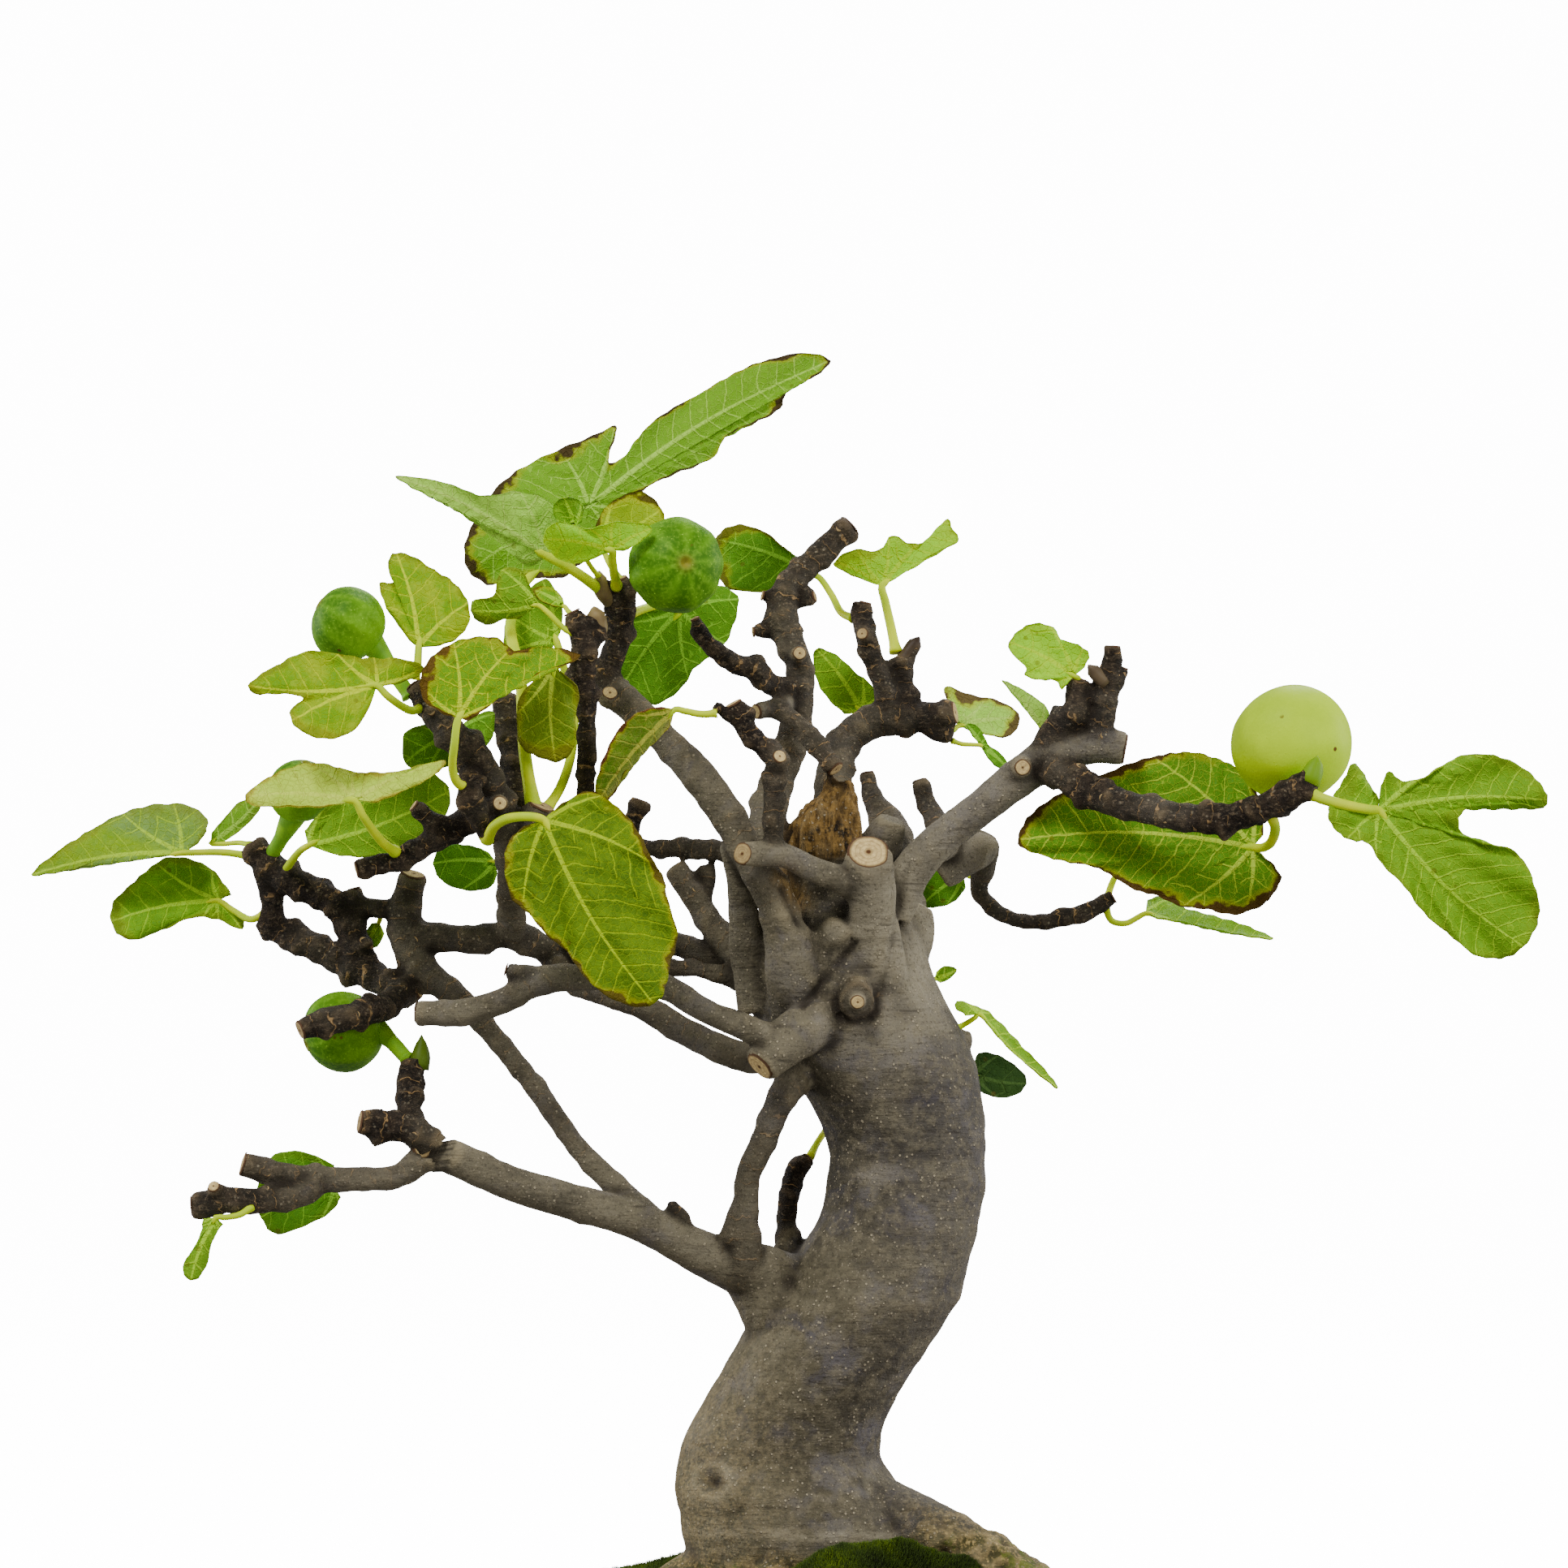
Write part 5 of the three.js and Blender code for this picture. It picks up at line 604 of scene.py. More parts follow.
        "lean": [0.7, 0.8], "fold": 0.1, "bow": 0.1, "wave": 0.5, "stalk": 0.9,
        "outline": [
            [54.2, 254.2], [50.9, 256.6], [51.4, 258.6], [55, 257.6], [60, 256], [66, 250.6], [72.4, 243.6],
            [78, 238.2], [82.6, 231.6], [76, 236.4], [68.6, 242.8], [63, 248.6]
        ],
        "petiole": [[51.6, -2, 250.4], [54.6, -3, 252], [57, -4, 253.6]]
    },
    "leaf_trunk_dark": {
        "base": [56.6, 18, 235.8], "tip": [72, 234],
        "lean": [0.1, 0.2], "fold": -0.1, "bow": 0, "wave": 0.5, "stalk": 1.1,
        "outline": [
            [56.4, 239], [58, 242.6], [62.9, 242.4], [69.1, 239], [72.9, 234.5], [71.1, 230.6],
            [65.4, 228.8], [59.6, 230.3], [56.4, 232.6]
        ],
        "petiole": [
            [6, 9, 210.4], [9, 13, 216], [16, 21, 224], [30, 24.5, 231], [46, 22.5, 235.4], [54, 19, 236]
        ]
    },
    "leaf_low_left": {
        "base": [-140.4, -14, 201.5], "tip": [-161, 192],
        "lean": [0.05, 0.12], "fold": -0.1, "bow": 0, "wave": 0.9, "stalk": 1,
        "outline": [
            [-140.4, 208.3], [-151.2, 212.4], [-159.7, 210.8], [-164, 202], [-163, 192], [-158.9, 187],
            [-150.4, 189], [-141.2, 194], [-138.4, 198.3]
        ],
        "petiole": [[-136.6, -23, 203.2], [-138.6, -16, 202]]
    },
    "leaf_low_tip": {
        "base": [-177, -35, 192], "tip": [-185, 174],
        "lean": [0.4, 0.15], "fold": 0.7, "bow": 0.1, "wave": 0.3, "stalk": 1.1,
        "outline": [
            [-180.9, 191.6], [-181.6, 187], [-184, 182], [-187.1, 177], [-186.1, 173.3], [-183.2, 172.8],
            [-180, 177], [-178, 184.5], [-174.9, 190]
        ],
        "petiole": [[-166, -32, 195.2], [-169.6, -34, 192.8], [-174.4, -35, 192]]
    },
    "leaf_hub_small": {
        "base": [-126.6, 12, 283], "tip": [-130.6, 276],
        "lean": [0.2, 0.2], "fold": 0.2, "bow": 0, "wave": 0.3, "stalk": 0.9,
        "outline": [[-129, 282.6], [-131.2, 279], [-130.4, 275], [-127.2, 275.4], [-125, 279.4]],
        "petiole": [[-125.4, 8, 286.6], [-126.2, 11, 284.6]]
    },
    "leaf_shoulder_bud": {
        "base": [44.4, 5, 265.4], "tip": [51, 268],
        "lean": [0.3, 0.3], "fold": 0.2, "bow": 0, "wave": 0.2, "stalk": 0.9,
        "outline": [[45, 267.6], [47.4, 269.4], [51.4, 268.4], [49, 265.4], [46.4, 264.2]],
        "petiole": [[41.6, 5, 264.4], [43.4, 5, 265]]
    }
}

# Figs: centre, radii across and along, the way the eye looks and the foot of the stalk

FIGS = {
    "fig_ripe": {
        "centre": [154.4, -21, 337.8], "radius": 18.6, "tall": 16.9,
        "eye": [-0.2, 0.45, 0.85], "foot": [157, -35, 325]
    },
    "fig_top": {
        "centre": [-35.2, -20, 392.8], "radius": 14.4, "tall": 12.4,
        "eye": [0.25, -0.95, 0.05], "foot": [-50.4, -12, 385.6]
    },
    "fig_left": {
        "centre": [-136.2, -30, 374.8], "radius": 11.3, "tall": 10.6,
        "eye": [-0.7, -0.2, 0.5], "foot": [-117, -31, 352.5]
    },
    "fig_low": {
        "centre": [-137.6, -4, 249.2], "radius": 12.5, "tall": 12,
        "eye": [-0.85, -0.2, -0.3], "foot": [-117.6, -12, 240.4]
    },
    "fig_hidden": {
        "centre": [-151, 3, 323.4], "radius": 9.8, "tall": 9.4,
        "eye": [0.2, -0.3, 0.9], "foot": [-161, 13, 301.5]
    }
}

# Geometry helpers

def placed(points):
    """Crown points [x, depth, z] as they lie in space, from where they show in the front view."""
    points = np.asarray(points, float)
    scale = 1 + points[..., 1:2] / VIEW
    middle = np.array([VIEW_X, 0.0, VIEW_Z])
    out = middle + (points - middle) * scale
    out[..., 1] = points[..., 1]
    out[..., 0] += CENTRE_X
    return out


def spread_out(points):
    """Points of the tables as they lie in space."""
    return placed(np.array(points, float) * [1, SPREAD, 1])


def unit(vectors):
    """The vectors at a length of one."""
    vectors = np.asarray(vectors, float)
    return vectors / np.maximum(np.linalg.norm(vectors, axis=-1, keepdims=True), 1e-9)


def circle(sides):
    """Angles once round."""
    return np.arange(sides) / sides * 2 * np.pi


def gauss(distance, width):
    return np.exp(-(distance / width) ** 2)


def smooth_curve(points, step):
    """A centripetal Catmull-Rom curve through the points: its samples and where each lies in the list."""
    points = np.asarray(points, float)
    ends = np.vstack([2 * points[0] - points[1], points, 2 * points[-1] - points[-2]])
    samples, places = [], []
    for i in range(len(points) - 1):
        p0, p1, p2, p3 = ends[i:i + 4]
        d0, d1, d2 = (max(np.linalg.norm(b - a) ** 0.5, 1e-3) for a, b in ((p0, p1), (p1, p2), (p2, p3)))
        t1 = ((p1 - p0) / d0 - (p2 - p0) / (d0 + d1) + (p2 - p1) / d1) * d1
        t2 = ((p2 - p1) / d1 - (p3 - p1) / (d1 + d2) + (p3 - p2) / d2) * d1
        count = max(2, int(round(np.linalg.norm(p2 - p1) / step)))
        last = i == len(points) - 2
        s = np.linspace(0, 1, count + 1)[:None if last else -1, None]
        bends = (3 * (p2 - p1) - 2 * t1 - t2) * s ** 2 + (2 * (p1 - p2) + t1 + t2) * s ** 3
        samples.append(p1 + t1 * s + bends)
        places.append(i + s[:, 0])
    return np.vstack(samples), np.concatenate(places)


def tangents_of(points):
    return unit(np.gradient(points, axis=0))


def frames_of(points):
    """The line's direction and two square to it at each of its points, without twist."""
    along = tangents_of(points)
    side = np.array([0.0, 1.0, 0.0])
    sides = []
    for tangent in along:
        side = unit(side - tangent * side.dot(tangent))
        sides.append(side)
    sides = np.array(sides)
    return along, sides, np.cross(along, sides)


def tube_rings(points, reach):
    """Rings of points round a line. reach is [ring, side] in millimetres."""
    along, side, across = frames_of(points)
    angle = circle(reach.shape[1])
    ring = side[:, None] * np.cos(angle)[None, :, None] + across[:, None] * np.sin(angle)[None, :, None]
    return points[:, None] + ring * reach[..., None]


def plain_tube(points, radius, sides):
    return tube_rings(points, np.repeat(radius[:, None], sides, 1))


def ring_faces(rings, sides, start=0, caps=True):
    """Quads over rings of points, with a fan-free cap at both ends."""
    i, j = np.meshgrid(np.arange(rings - 1), np.arange(sides), indexing="ij")
    a = start + i * sides + j
    b = start + i * sides + (j + 1) % sides
    faces = np.stack([a, b, b + sides, a + sides], -1).reshape(-1, 4).tolist()
    if caps:
        faces.append(list(range(start + sides - 1, start - 1, -1)))
        faces.append(list(range(start + (rings - 1) * sides, start + rings * sides)))
    return faces


def noise_at(points, size, seed=0.0):
    """Smooth noise between about -1 and 1 at points in millimetres, for lumps of that size."""
    shift = Vector((seed * 17.3, seed * 5.1, seed * 9.7))
    return np.array([noise.noise(Vector(p) / size + shift) for p in points])


def mesh_object(name, points, faces, materials=(), smooth=True):
    """A mesh object from points in millimetres."""
    mesh = bpy.data.meshes.new(name)
    mesh.from_pydata((np.asarray(points, float) * MM).tolist(), [], faces)
    mesh.update()
    mesh.polygons.foreach_set("use_smooth", [smooth] * len(mesh.polygons))
    for material in materials:
        mesh.materials.append(material)
    obj = bpy.data.objects.new(name, mesh)
    bpy.context.scene.collection.objects.link(obj)
    return obj


def solid(name, rings, materials=()):
    """A closed mesh object from rings of points."""
    rings = np.array(rings)
    return mesh_object(name, rings.reshape(-1, 3), ring_faces(*rings.shape[:2]), materials)


def mesh_values(items, key, width, kind=np.float32):
    """One value or vector of each vertex, edge or loop of a mesh."""
    flat = np.empty(len(items) * width, kind)
    items.foreach_get(key, flat)
    return flat.reshape(-1, width)


def mesh_places(mesh):
    return mesh_values(mesh.vertices, "co", 3) / MM


def mesh_normals(mesh):
    return mesh_values(mesh.vertex_normals, "vector", 3)


def set_places(mesh, places):
    mesh.vertices.foreach_set("co", (places * MM).astype(np.float32).ravel())
    mesh.update()


def point_attribute(mesh, name, values):
    mesh.attributes.new(name, "FLOAT", "POINT").data.foreach_set("value", np.asarray(values, np.float32))


def second_material(mesh, first):
    """The faces from the first on take the mesh's second material."""
    slots = np.zeros(len(mesh.polygons), np.int32)
    slots[first:] = 1
    mesh.polygons.foreach_set("material_index", slots)


def with_modifier(obj, kind, **settings):
    """The object's mesh after one modifier, which is then taken off."""
    modifier = obj.modifiers.new(kind.lower(), kind)
    for key, value in settings.items():
        setattr(modifier, key, value)
    shown = obj.evaluated_get(bpy.context.evaluated_depsgraph_get())
    obj.data = bpy.data.meshes.new_from_object(shown)
    obj.modifiers.clear()
    return obj.data


def seat(obj, slot, *nodes):
    """The piece rides with the plant and stands for CAD nodes, which it hides. slot is not used."""
    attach(obj, "root")
    if nodes:
        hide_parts(*nodes)


# Materials

class Wire:
    """What a node gives out, with the arithmetic that the materials need."""

    def __init__(self, paint, socket):
        self.paint, self.socket = paint, socket

    def __add__(self, other):
        return self.paint.math("ADD", self, other)

    def __sub__(self, other):
        return self.paint.math("SUBTRACT", self, other)

    def __mul__(self, other):
        return self.paint.math("MULTIPLY", self, other)

    def __truediv__(self, other):
        return self.paint.math("DIVIDE", self, other)

    def step(self, low, high, to_low=0.0, to_high=1.0):
        """Eases from to_low to to_high while the value goes from low to high."""
        return self.paint.node("MapRange", {
            "Value": self, "From Min": low, "From Max": high, "To Min": to_low, "To Max": to_high
        }, "Result", interpolation_type="SMOOTHSTEP")


class Paint:
    """A node material. A tuple of three stands for a colour as seen on a screen, 0 to 255."""

    def __init__(self, name):
        self.material = bpy.data.materials.new(name)
        self.material.use_nodes = True
        self.tree = self.material.node_tree
        self.shader = self.tree.nodes["Principled BSDF"]

    def put(self, socket, value):
        if isinstance(value, Wire):
            self.tree.links.new(value.socket, socket)
        elif isinstance(value, tuple) and len(value) == 3:
            socket.default_value = rgb(*value)
        else:
            socket.default_value = value

    def node(self, kind, inputs=(), out=0, **settings):
        """What a new node gives out."""
        node = self.tree.nodes.new("ShaderNode" + kind)
        for key, value in settings.items():
            setattr(node, key, value)
        for key, value in dict(inputs).items():
            self.put(node.inputs[key], value)
        return Wire(self, node.outputs[out])

    def attributes(self, names):
        return [self.node("Attribute", out="Fac", attribute_name=name) for name in names.split()]

    def places(self, stretch=(1, 1, 1)):
        """The object's own places in millimetres, stretched."""
        coordinates = self.node("TexCoord", out="Object")
        return self.node("VectorMath", {0: coordinates, 1: [s / MM for s in stretch]}, operation="MULTIPLY")

    def parts(self, vector):
        return [self.node("SeparateXYZ", {0: vector}, out=k) for k in range(3)]

    def noise(self, size, detail=3.0, roughness=0.55, stretch=(1, 1, 1), distortion=0.0):
        return self.node("TexNoise", {
            "Vector": self.places(stretch), "Scale": 1 / size, "Detail": detail, "Roughness": roughness,
            "Distortion": distortion
        }, "Fac")

    def cells(self, size, feature="F1"):
        inputs = {"Vector": self.places(), "Scale": 1 / size}
        return self.node("TexVoronoi", inputs, "Distance", feature=feature)

    def math(self, operation, a, b=0.0):
        return self.node("Math", {0: a, 1: b}, operation=operation)

    def mix(self, share, a, b):
        return self.node("Mix", {0: share, 6: a, 7: b}, 2, data_type="RGBA")

    def layers(self, colour, *coats):
        """The colour under coats of (share, colour), each over the last."""
        for share, coat in coats:
            colour = self.mix(share, colour, coat)
        return colour

    def bump(self, height, distance, strength=1.0):
        inputs = {"Height": height, "Distance": distance * MM, "Strength": strength}
        return self.node("Bump", inputs, "Normal")

    def done(self, colour, roughness, gloss=0.5, **more):
        """Sets the shader and gives the finished material."""
        values = dict(Base_Color=colour, Roughness=roughness, Specular_IOR_Level=gloss, **more)
        for key, value in values.items():
            self.put(self.shader.inputs[key.replace("_", " ")], value)
        return self.material


def rgb(red, green, blue):
    """The shader's colour for a surface that looks like this on a screen, 0 to 255, in the studio light."""
    screen = (red, green, blue)
    linear = np.array([((c / 255 + 0.055) / 1.055) ** 2.4 if c > 10 else c / 3294.6 for c in screen])
    lifted = linear * (1 + 2.5 * linear ** 2)
    strong = lifted.mean() + 1.14 * (lifted - lifted.mean())
    strong = np.clip(strong * 0.86, 0.0015, None)
    return tuple(strong * min(1.0, 0.88 / strong.max())) + (1.0,)


def bark_paint():
    """Smooth grey trunk bark that turns to dark, ringed young wood where the tone attribute rises."""
    paint = Paint("bark")
    tone, along, pale, moss, rust, hollow, ridge = paint.attributes("tone along pale mossy rust hollow ridge")
    grit, fine = paint.noise(1.1, 4, 0.7), paint.noise(3.2, 4, 0.65)
    bands = paint.noise(17, 4, 0.6, (1, 1, 1.35), 0.9)
    wrinkle = paint.noise(5.5, 5, 0.62, (0.4, 0.4, 2.4), 0.4)
    flakes = paint.noise(1.7, 5, 0.7, (1, 1, 1.5), 0.8)
    grain = paint.noise(2.6, 5, 0.65, (1.6, 1.6, 0.3))
    # The right-hand mask paints the trunk's right side paler and greyer: painted light falling on that side
    right = paint.parts(paint.places())[0].step(10, 62, 0.0, 0.5)
    # Part of the pale coat is painted light on the trunk's lower left; the rest is the bark's own pale marks
    old = paint.layers(
        (66, 61, 49), (paint.noise(30, 3).step(0.38, 0.6), (98, 92, 75)), (right, (104, 100, 98)),
        (bands.step(0.54, 0.7, 0, 0.8), (80, 76, 80)),
        (paint.noise(21, 3, 0.6).step(0.52, 0.64, 0, 0.45), (120, 116, 116)),
        (bands.step(0.46, 0.34, 0, 0.45), (126, 120, 103)), (pale * 0.75, (156, 150, 134)),
        (fine.step(0.42, 0.68, 0, 0.55), (132, 125, 107)), (grit.step(0.48, 0.34, 0, 0.5), (52, 46, 38)),
        (wrinkle.step(0.56, 0.72, 0, 0.55), (60, 54, 47)))
    phase = paint.math("FRACT", (along + paint.noise(6, 2) * 5.0) / 5.6)
    ring = paint.math("ABSOLUTE", phase - 0.5).step(0.07, 0.02) * paint.noise(4.5, 2).step(0.42, 0.6)
    young = paint.layers(
        (28, 22, 17), (paint.noise(6, 4, 0.7).step(0.38, 0.66), (60, 49, 39)),
        (fine.step(0.5, 0.62, 0, 0.45), (94, 82, 68)), (flakes.step(0.56, 0.62, 0, 0.6), (128, 114, 94)),
        (flakes.step(0.46, 0.38, 0, 0.8), (20, 15, 12)), (ring * 0.9, (168, 146, 110)))
    wood = paint.layers(
        (80, 60, 32), (grain.step(0.36, 0.62), (142, 118, 74)),
        (paint.noise(9, 4, 0.7).step(0.56, 0.64), (34, 26, 18)))
    lush = paint.noise(6.5, 4, 0.6).step(0.54, 0.62) * moss.step(0.5, 0.9)
    green = paint.layers(
        (80, 76, 42), (fine.step(0.4, 0.6), (142, 128, 92)), (grit.step(0.52, 0.7), (186, 172, 132)),
        (lush * 0.8, (92, 108, 26)))
    specks = paint.cells(2.2).step(0.24, 0.14) * paint.noise(8, 2).step(0.42, 0.56) * (tone * -0.6 + 1.0)
    dust = (paint.cells(1.25) + grit * 0.5).step(0.5, 0.34) * fine.step(0.36, 0.6, 0.15, 0.8)
    # The hollow layer lays painted shade, a dark brown, into the hollows and the joins between limbs
    colour = paint.layers(
        old, (tone, young), (rust, wood), (moss, green), (specks * 0.7, (170, 163, 146)),
        (dust * tone.step(0, 1, 0.75, 0.25), (158, 151, 137)), (hollow * 0.8, (36, 29, 22)),
        (ridge * tone.step(0, 1, 0.3, 0.6), paint.mix(tone, (172, 162, 136), (130, 114, 90))))
    height = fine * 0.6 - wrinkle * 0.7 + grit * 0.35 + flakes * tone * 0.8 + specks * 0.35
    height = height + ring * tone * 0.9 + grain * rust * 1.5
    return paint.done(colour, fine.step(0.3, 0.7, 0.68, 0.9), 0.2, Normal=paint.bump(height, 1.15))


def cut_paint():
    """Sawn and clipped wood: cream, with rings and a dark middle, inside a brown rim."""
    paint = Paint("cut_wood")
    out, warm = paint.attributes("out warm")
    grain = paint.noise(1.4, 4, 0.7)
    rings = paint.math("SINE", (out + grain * 0.12) * 30.0)
    colour = paint.layers(
        (172, 156, 122), (grain.step(0.3, 0.7), (212, 200, 166)), (warm, (128, 108, 82)),
        (rings.step(0.2, 1.0, 0, 0.4), (138, 118, 86)), (out.step(0.22, 0.06), (96, 66, 42)),
        (out.step(0.78, 0.93), (92, 68, 50)))
    return paint.done(colour, 0.85, 0.2, Normal=paint.bump(grain, 0.3, 0.8))


def leaf_paint(name, upper, vein, under, mottle, scorch):
    """A leaf surface. The map "veins" runs along and across the nearest main vein in millimetres,
    side is 1 beneath, edge is 0 at the margin and burnt is how far the margin is scorched."""
    paint = Paint(name)
    along, across, up = paint.parts(paint.node("UVMap", uv_map="veins"))
    across = paint.math("ABSOLUTE", across)
    reach, side, edge, burnt = paint.attributes("reach side edge burnt")
    wide, fine = paint.noise(9, 3), paint.noise(1.5, 3, 0.6)
    main = (across - reach.step(0, 1, 0.62, 0.12)).step(0.3, 0.0)
    swept = across * (across * 0.014 + 0.52)
    phase = paint.math("FRACT", (along - swept + (paint.noise(7, 2) - 0.5) * 3.2) / SIDE_VEINS)
    second = (paint.math("ABSOLUTE", phase - 0.5) * 4.7).step(0.36, 0.06)
    net = paint.cells(2.1, "DISTANCE_TO_EDGE").step(0.1, 0.0)
    small = paint.cells(0.85, "DISTANCE_TO_EDGE").step(0.16, 0.0)
    below = paint.mix(wide.step(0.3, 0.7, 0, 0.5), under, upper)
    patch = paint.noise(13, 3, 0.6) - 0.49
    ragged = edge + (paint.noise(4, 4, 0.7) - 0.5) * 0.3 - patch * 1.3
    spots = paint.cells(6.5).step(0.16, 0.1) * paint.noise(16, 1).step(0.5, 0.6)
    colour = paint.layers(
        upper, (wide.step(0.36, 0.66), mottle), (fine.step(0.3, 0.75, 0, 0.3), under), (side, below),
        (small * 0.1, vein), (net * side.step(0, 1, 0.2, 0.34), vein),
        (second * side.step(0, 1, 0.5, 0.72), vein), (main * 0.82, vein),
        (ragged.step(0.36, 0.1) * burnt * 0.6, (170, 168, 40)),
        (ragged.step(0.16, 0.06) * burnt * 0.95, scorch), (spots * 0.5, (104, 84, 38)))
    height = (net * -0.35 + small * -0.12 + second * -0.5 + fine * 0.2) * side.step(0.4, 0.6, 1.0, -1.3)
    return paint.done(colour, fine.step(0.3, 0.7, 0.5, 0.66), 0.13, Normal=paint.bump(height, 0.5, 0.9))


def stalk_paint(name, light, dark):
    """Two tones of a smooth stalk or bud."""
    paint = Paint(name)
    colour = paint.mix(paint.noise(9, 2).step(0.35, 0.65), light, dark)
    return paint.done(colour, 0.5, 0.2, Normal=paint.bump(paint.noise(2.0, 3), 0.15, 0.5))


def fruit_paint(name, low, high, rib, spot, eye):
    """Fig skin, paler along its ribs and towards the stalk, with pale specks and a brown eye."""
    paint = Paint(name)
    tall, ribs, round_eye = paint.attributes("tall ribs eye")
    wide, fine = paint.noise(8, 3), paint.noise(1.2, 3, 0.6)
    specks = paint.cells(1.5).step(0.2, 0.1) * wide.step(0.4, 0.6)
    marks = paint.cells(9).step(0.1, 0.05) * paint.noise(12, 1).step(0.5, 0.55)
    colour = paint.layers(
        low, ((wide * 0.5 + tall * 0.5).step(0.3, 0.75), high), (ribs * 0.24, rib), (specks * 0.6, spot),
        (fine.step(0.4, 0.8, 0, 0.25), spot), (marks, (110, 80, 40)), (round_eye, eye))
    return paint.done(colour, 0.48, 0.1, Normal=paint.bump(fine + specks, 0.12, 0.6))


def clay_paint():
    """Unglazed brown clay with pale lime stains."""
    paint = Paint("clay")
    wide, fine = paint.noise(30, 4), paint.noise(1.1, 4, 0.7)
    stain = paint.noise(14, 4, 0.6, (1, 1, 0.35)).step(0.56, 0.74)
    colour = paint.layers(
        (98, 62, 48), (wide.step(0.35, 0.65), (122, 80, 62)), (fine.step(0.45, 0.8, 0, 0.5), (150, 108, 86)),
        (stain * 0.35, (158, 148, 134)))
    return paint.done(colour, 0.78, Normal=paint.bump(fine, 0.25, 0.7))


def ground_paint(name, dark, middle, light, size):
    """Soil or moss, in three tones by the shade of each grain or shoot."""
    paint = Paint(name)
    fine = paint.noise(size, 4, 0.7)
    share = paint.attributes("shade")[0] * 0.65 + fine * 0.35
    colour = paint.layers(dark, (share.step(0.2, 0.55), middle), (share.step(0.6, 0.9), light))
    return paint.done(colour, 0.92, Normal=paint.bump(fine, 0.4, 0.8))


def screen_paint():
    """Black plastic mesh."""
    paint = Paint("plastic_mesh")
    fine = paint.noise(0.8, 3)
    colour = paint.mix(fine.step(0.4, 0.7), (34, 34, 36), (52, 52, 54))
    return paint.done(colour, 0.6, Normal=paint.bump(fine, 0.1, 0.5))

# Wood

WOOD_STEP = 1.6         # distance between rings along a limb
TRUNK_STEP = 2.5
LIMB_SIDES = 26
TRUNK_SIDES = 96
SCAR_SIDES = 20
VOXEL = 1.05            # the limbs are joined on a grid this fine
BARK_FACES = 192000     # triangles kept of the bark's mesh
NO_LIMB = -1            # the trunk's number among the limbs
# Short forms that end without a cut
BUDS = ("bud", "nub", "knob", "spike", "deadwood", "root", "foot", "shoulder", "flank", "link", "hub")
# How dark and knotty each young limb is from its start to its end. The rest is grey, smooth bark.
YOUNG = {
    "a": (0.0, 0.35), "a_upper": (0.75, 1), "v": (0.8, 1), "v_stub": (1, 1), "d_up": (0.55, 1),
    "e": (0.05, 0.95), "e_stub_left": (0.8, 0.9), "e_stub_left_high": (0.8, 0.9),
    "e_stub_right": (0.8, 0.9), "e_left": (0.8, 1), "e_down": (0.6, 0.8), "g": (0.15, 0.95),
    "g_knob": (0.9, 0.9), "g_up": (0.7, 1), "g_up_right": (1, 1), "g_tip": (1, 1), "h_stub": (0.3, 0.7),
    "h_right": (0.05, 1), "h": (0.2, 0.5), "c_up": (0.7, 1), "c_up_right": (0.75, 1), "c_fork": (1, 1),
    "c_low": (0.8, 1), "c_bud": (1, 1), "c_low_bud": (1, 0.4), "back": (0.5, 0.8), "back_stub": (0.8, 0.9),
    "l2": (0.3, 0.6), "l2_low": (0.3, 0.7), "l": (0.15, 0.5), "n": (0.25, 0.95), "n_left": (0.9, 1),
    "n_left_stub": (1, 1), "n_front": (0.9, 1), "n_cut": (0.6, 0.5), "n_up": (0.9, 1), "m": (0.95, 0.9),
    "m_low": (0.95, 0.8), "m_link": (0.9, 0.9), "m_hub": (0.6, 0.7), "m_stub": (0.8, 0.9),
    "m_front": (0.8, 1), "j_bud": (0.7, 0.9), "j1": (0.05, 0.7), "j1_low": (0.5, 0.95), "j2": (0.7, 0.95),
    "j3": (0.7, 1), "j3_bud": (0.9, 0.3), "k1": (0.35, 0.25), "k2": (0.9, 1), "d2": (0.1, 0.4),
    "d1": (0, 0.2), "flank_stub": (0.2, 0.5), "flank_stub_fork": (0.4, 0.6), "d_bud": (0.8, 1),
    "a_bud": (1, 1), "d1_stub": (0.2, 0.3), "g_nub": (1, 1)
}
# Cuts sawn or clipped at a slant, by the direction that they face
SLANTED = {"stump": (0.12, -0.72, 0.62), "d": (-0.55, -0.8, 0.1), "j": (0.75, -0.6, 0.2)}
# Knobs too small to stand apart in the solids: [x, depth, z, radius] along each
KNOBS = {
    "knob_pale": [[24, 15, 301, 7], [29.5, 13, 310, 6.2], [31.5, 12, 314.5, 4.6]],
    "knob_burl": [[12, -11, 277, 7], [13.5, -15.5, 279.5, 5], [14, -18, 280, 3]],
    "knob_edge": [[44, -2, 171, 6], [48.5, -2, 168, 5.2], [50.8, -2, 165.6, 3.2]],
    "knob_twist": [[46, 4, 298, 5.4], [58.5, 3, 305, 5.8], [62, 2, 303.5, 4.4]]
}
# Round scars left by old twigs: [x, depth, z, radius] on the limb and at the scar's face
SCARS = [
    [[20.6, -20, 258.8, 3], [20.8, -23.2, 258.3, 2.6]], [[-5.5, -27, 331, 2.6], [-3.2, -30.5, 334, 2.6]],
    [[2, 8, 365.5, 2.9], [2.9, 4.8, 365.8, 2.5]], [[24, 23, 370.5, 2.6], [22.2, 20.3, 371.8, 2.4]],
    [[71, -14, 331, 4], [71.6, -18, 330.6, 3]], [[-91, -33, 319, 3.4], [-89.4, -38.2, 319.6, 2.7]],
    [[-175.6, -31, 198.6, 3], [-177.6, -34.5, 201.6, 2.3]], [[-56, -10, 351, 4], [-55.5, -12.4, 353.6, 3]]
]
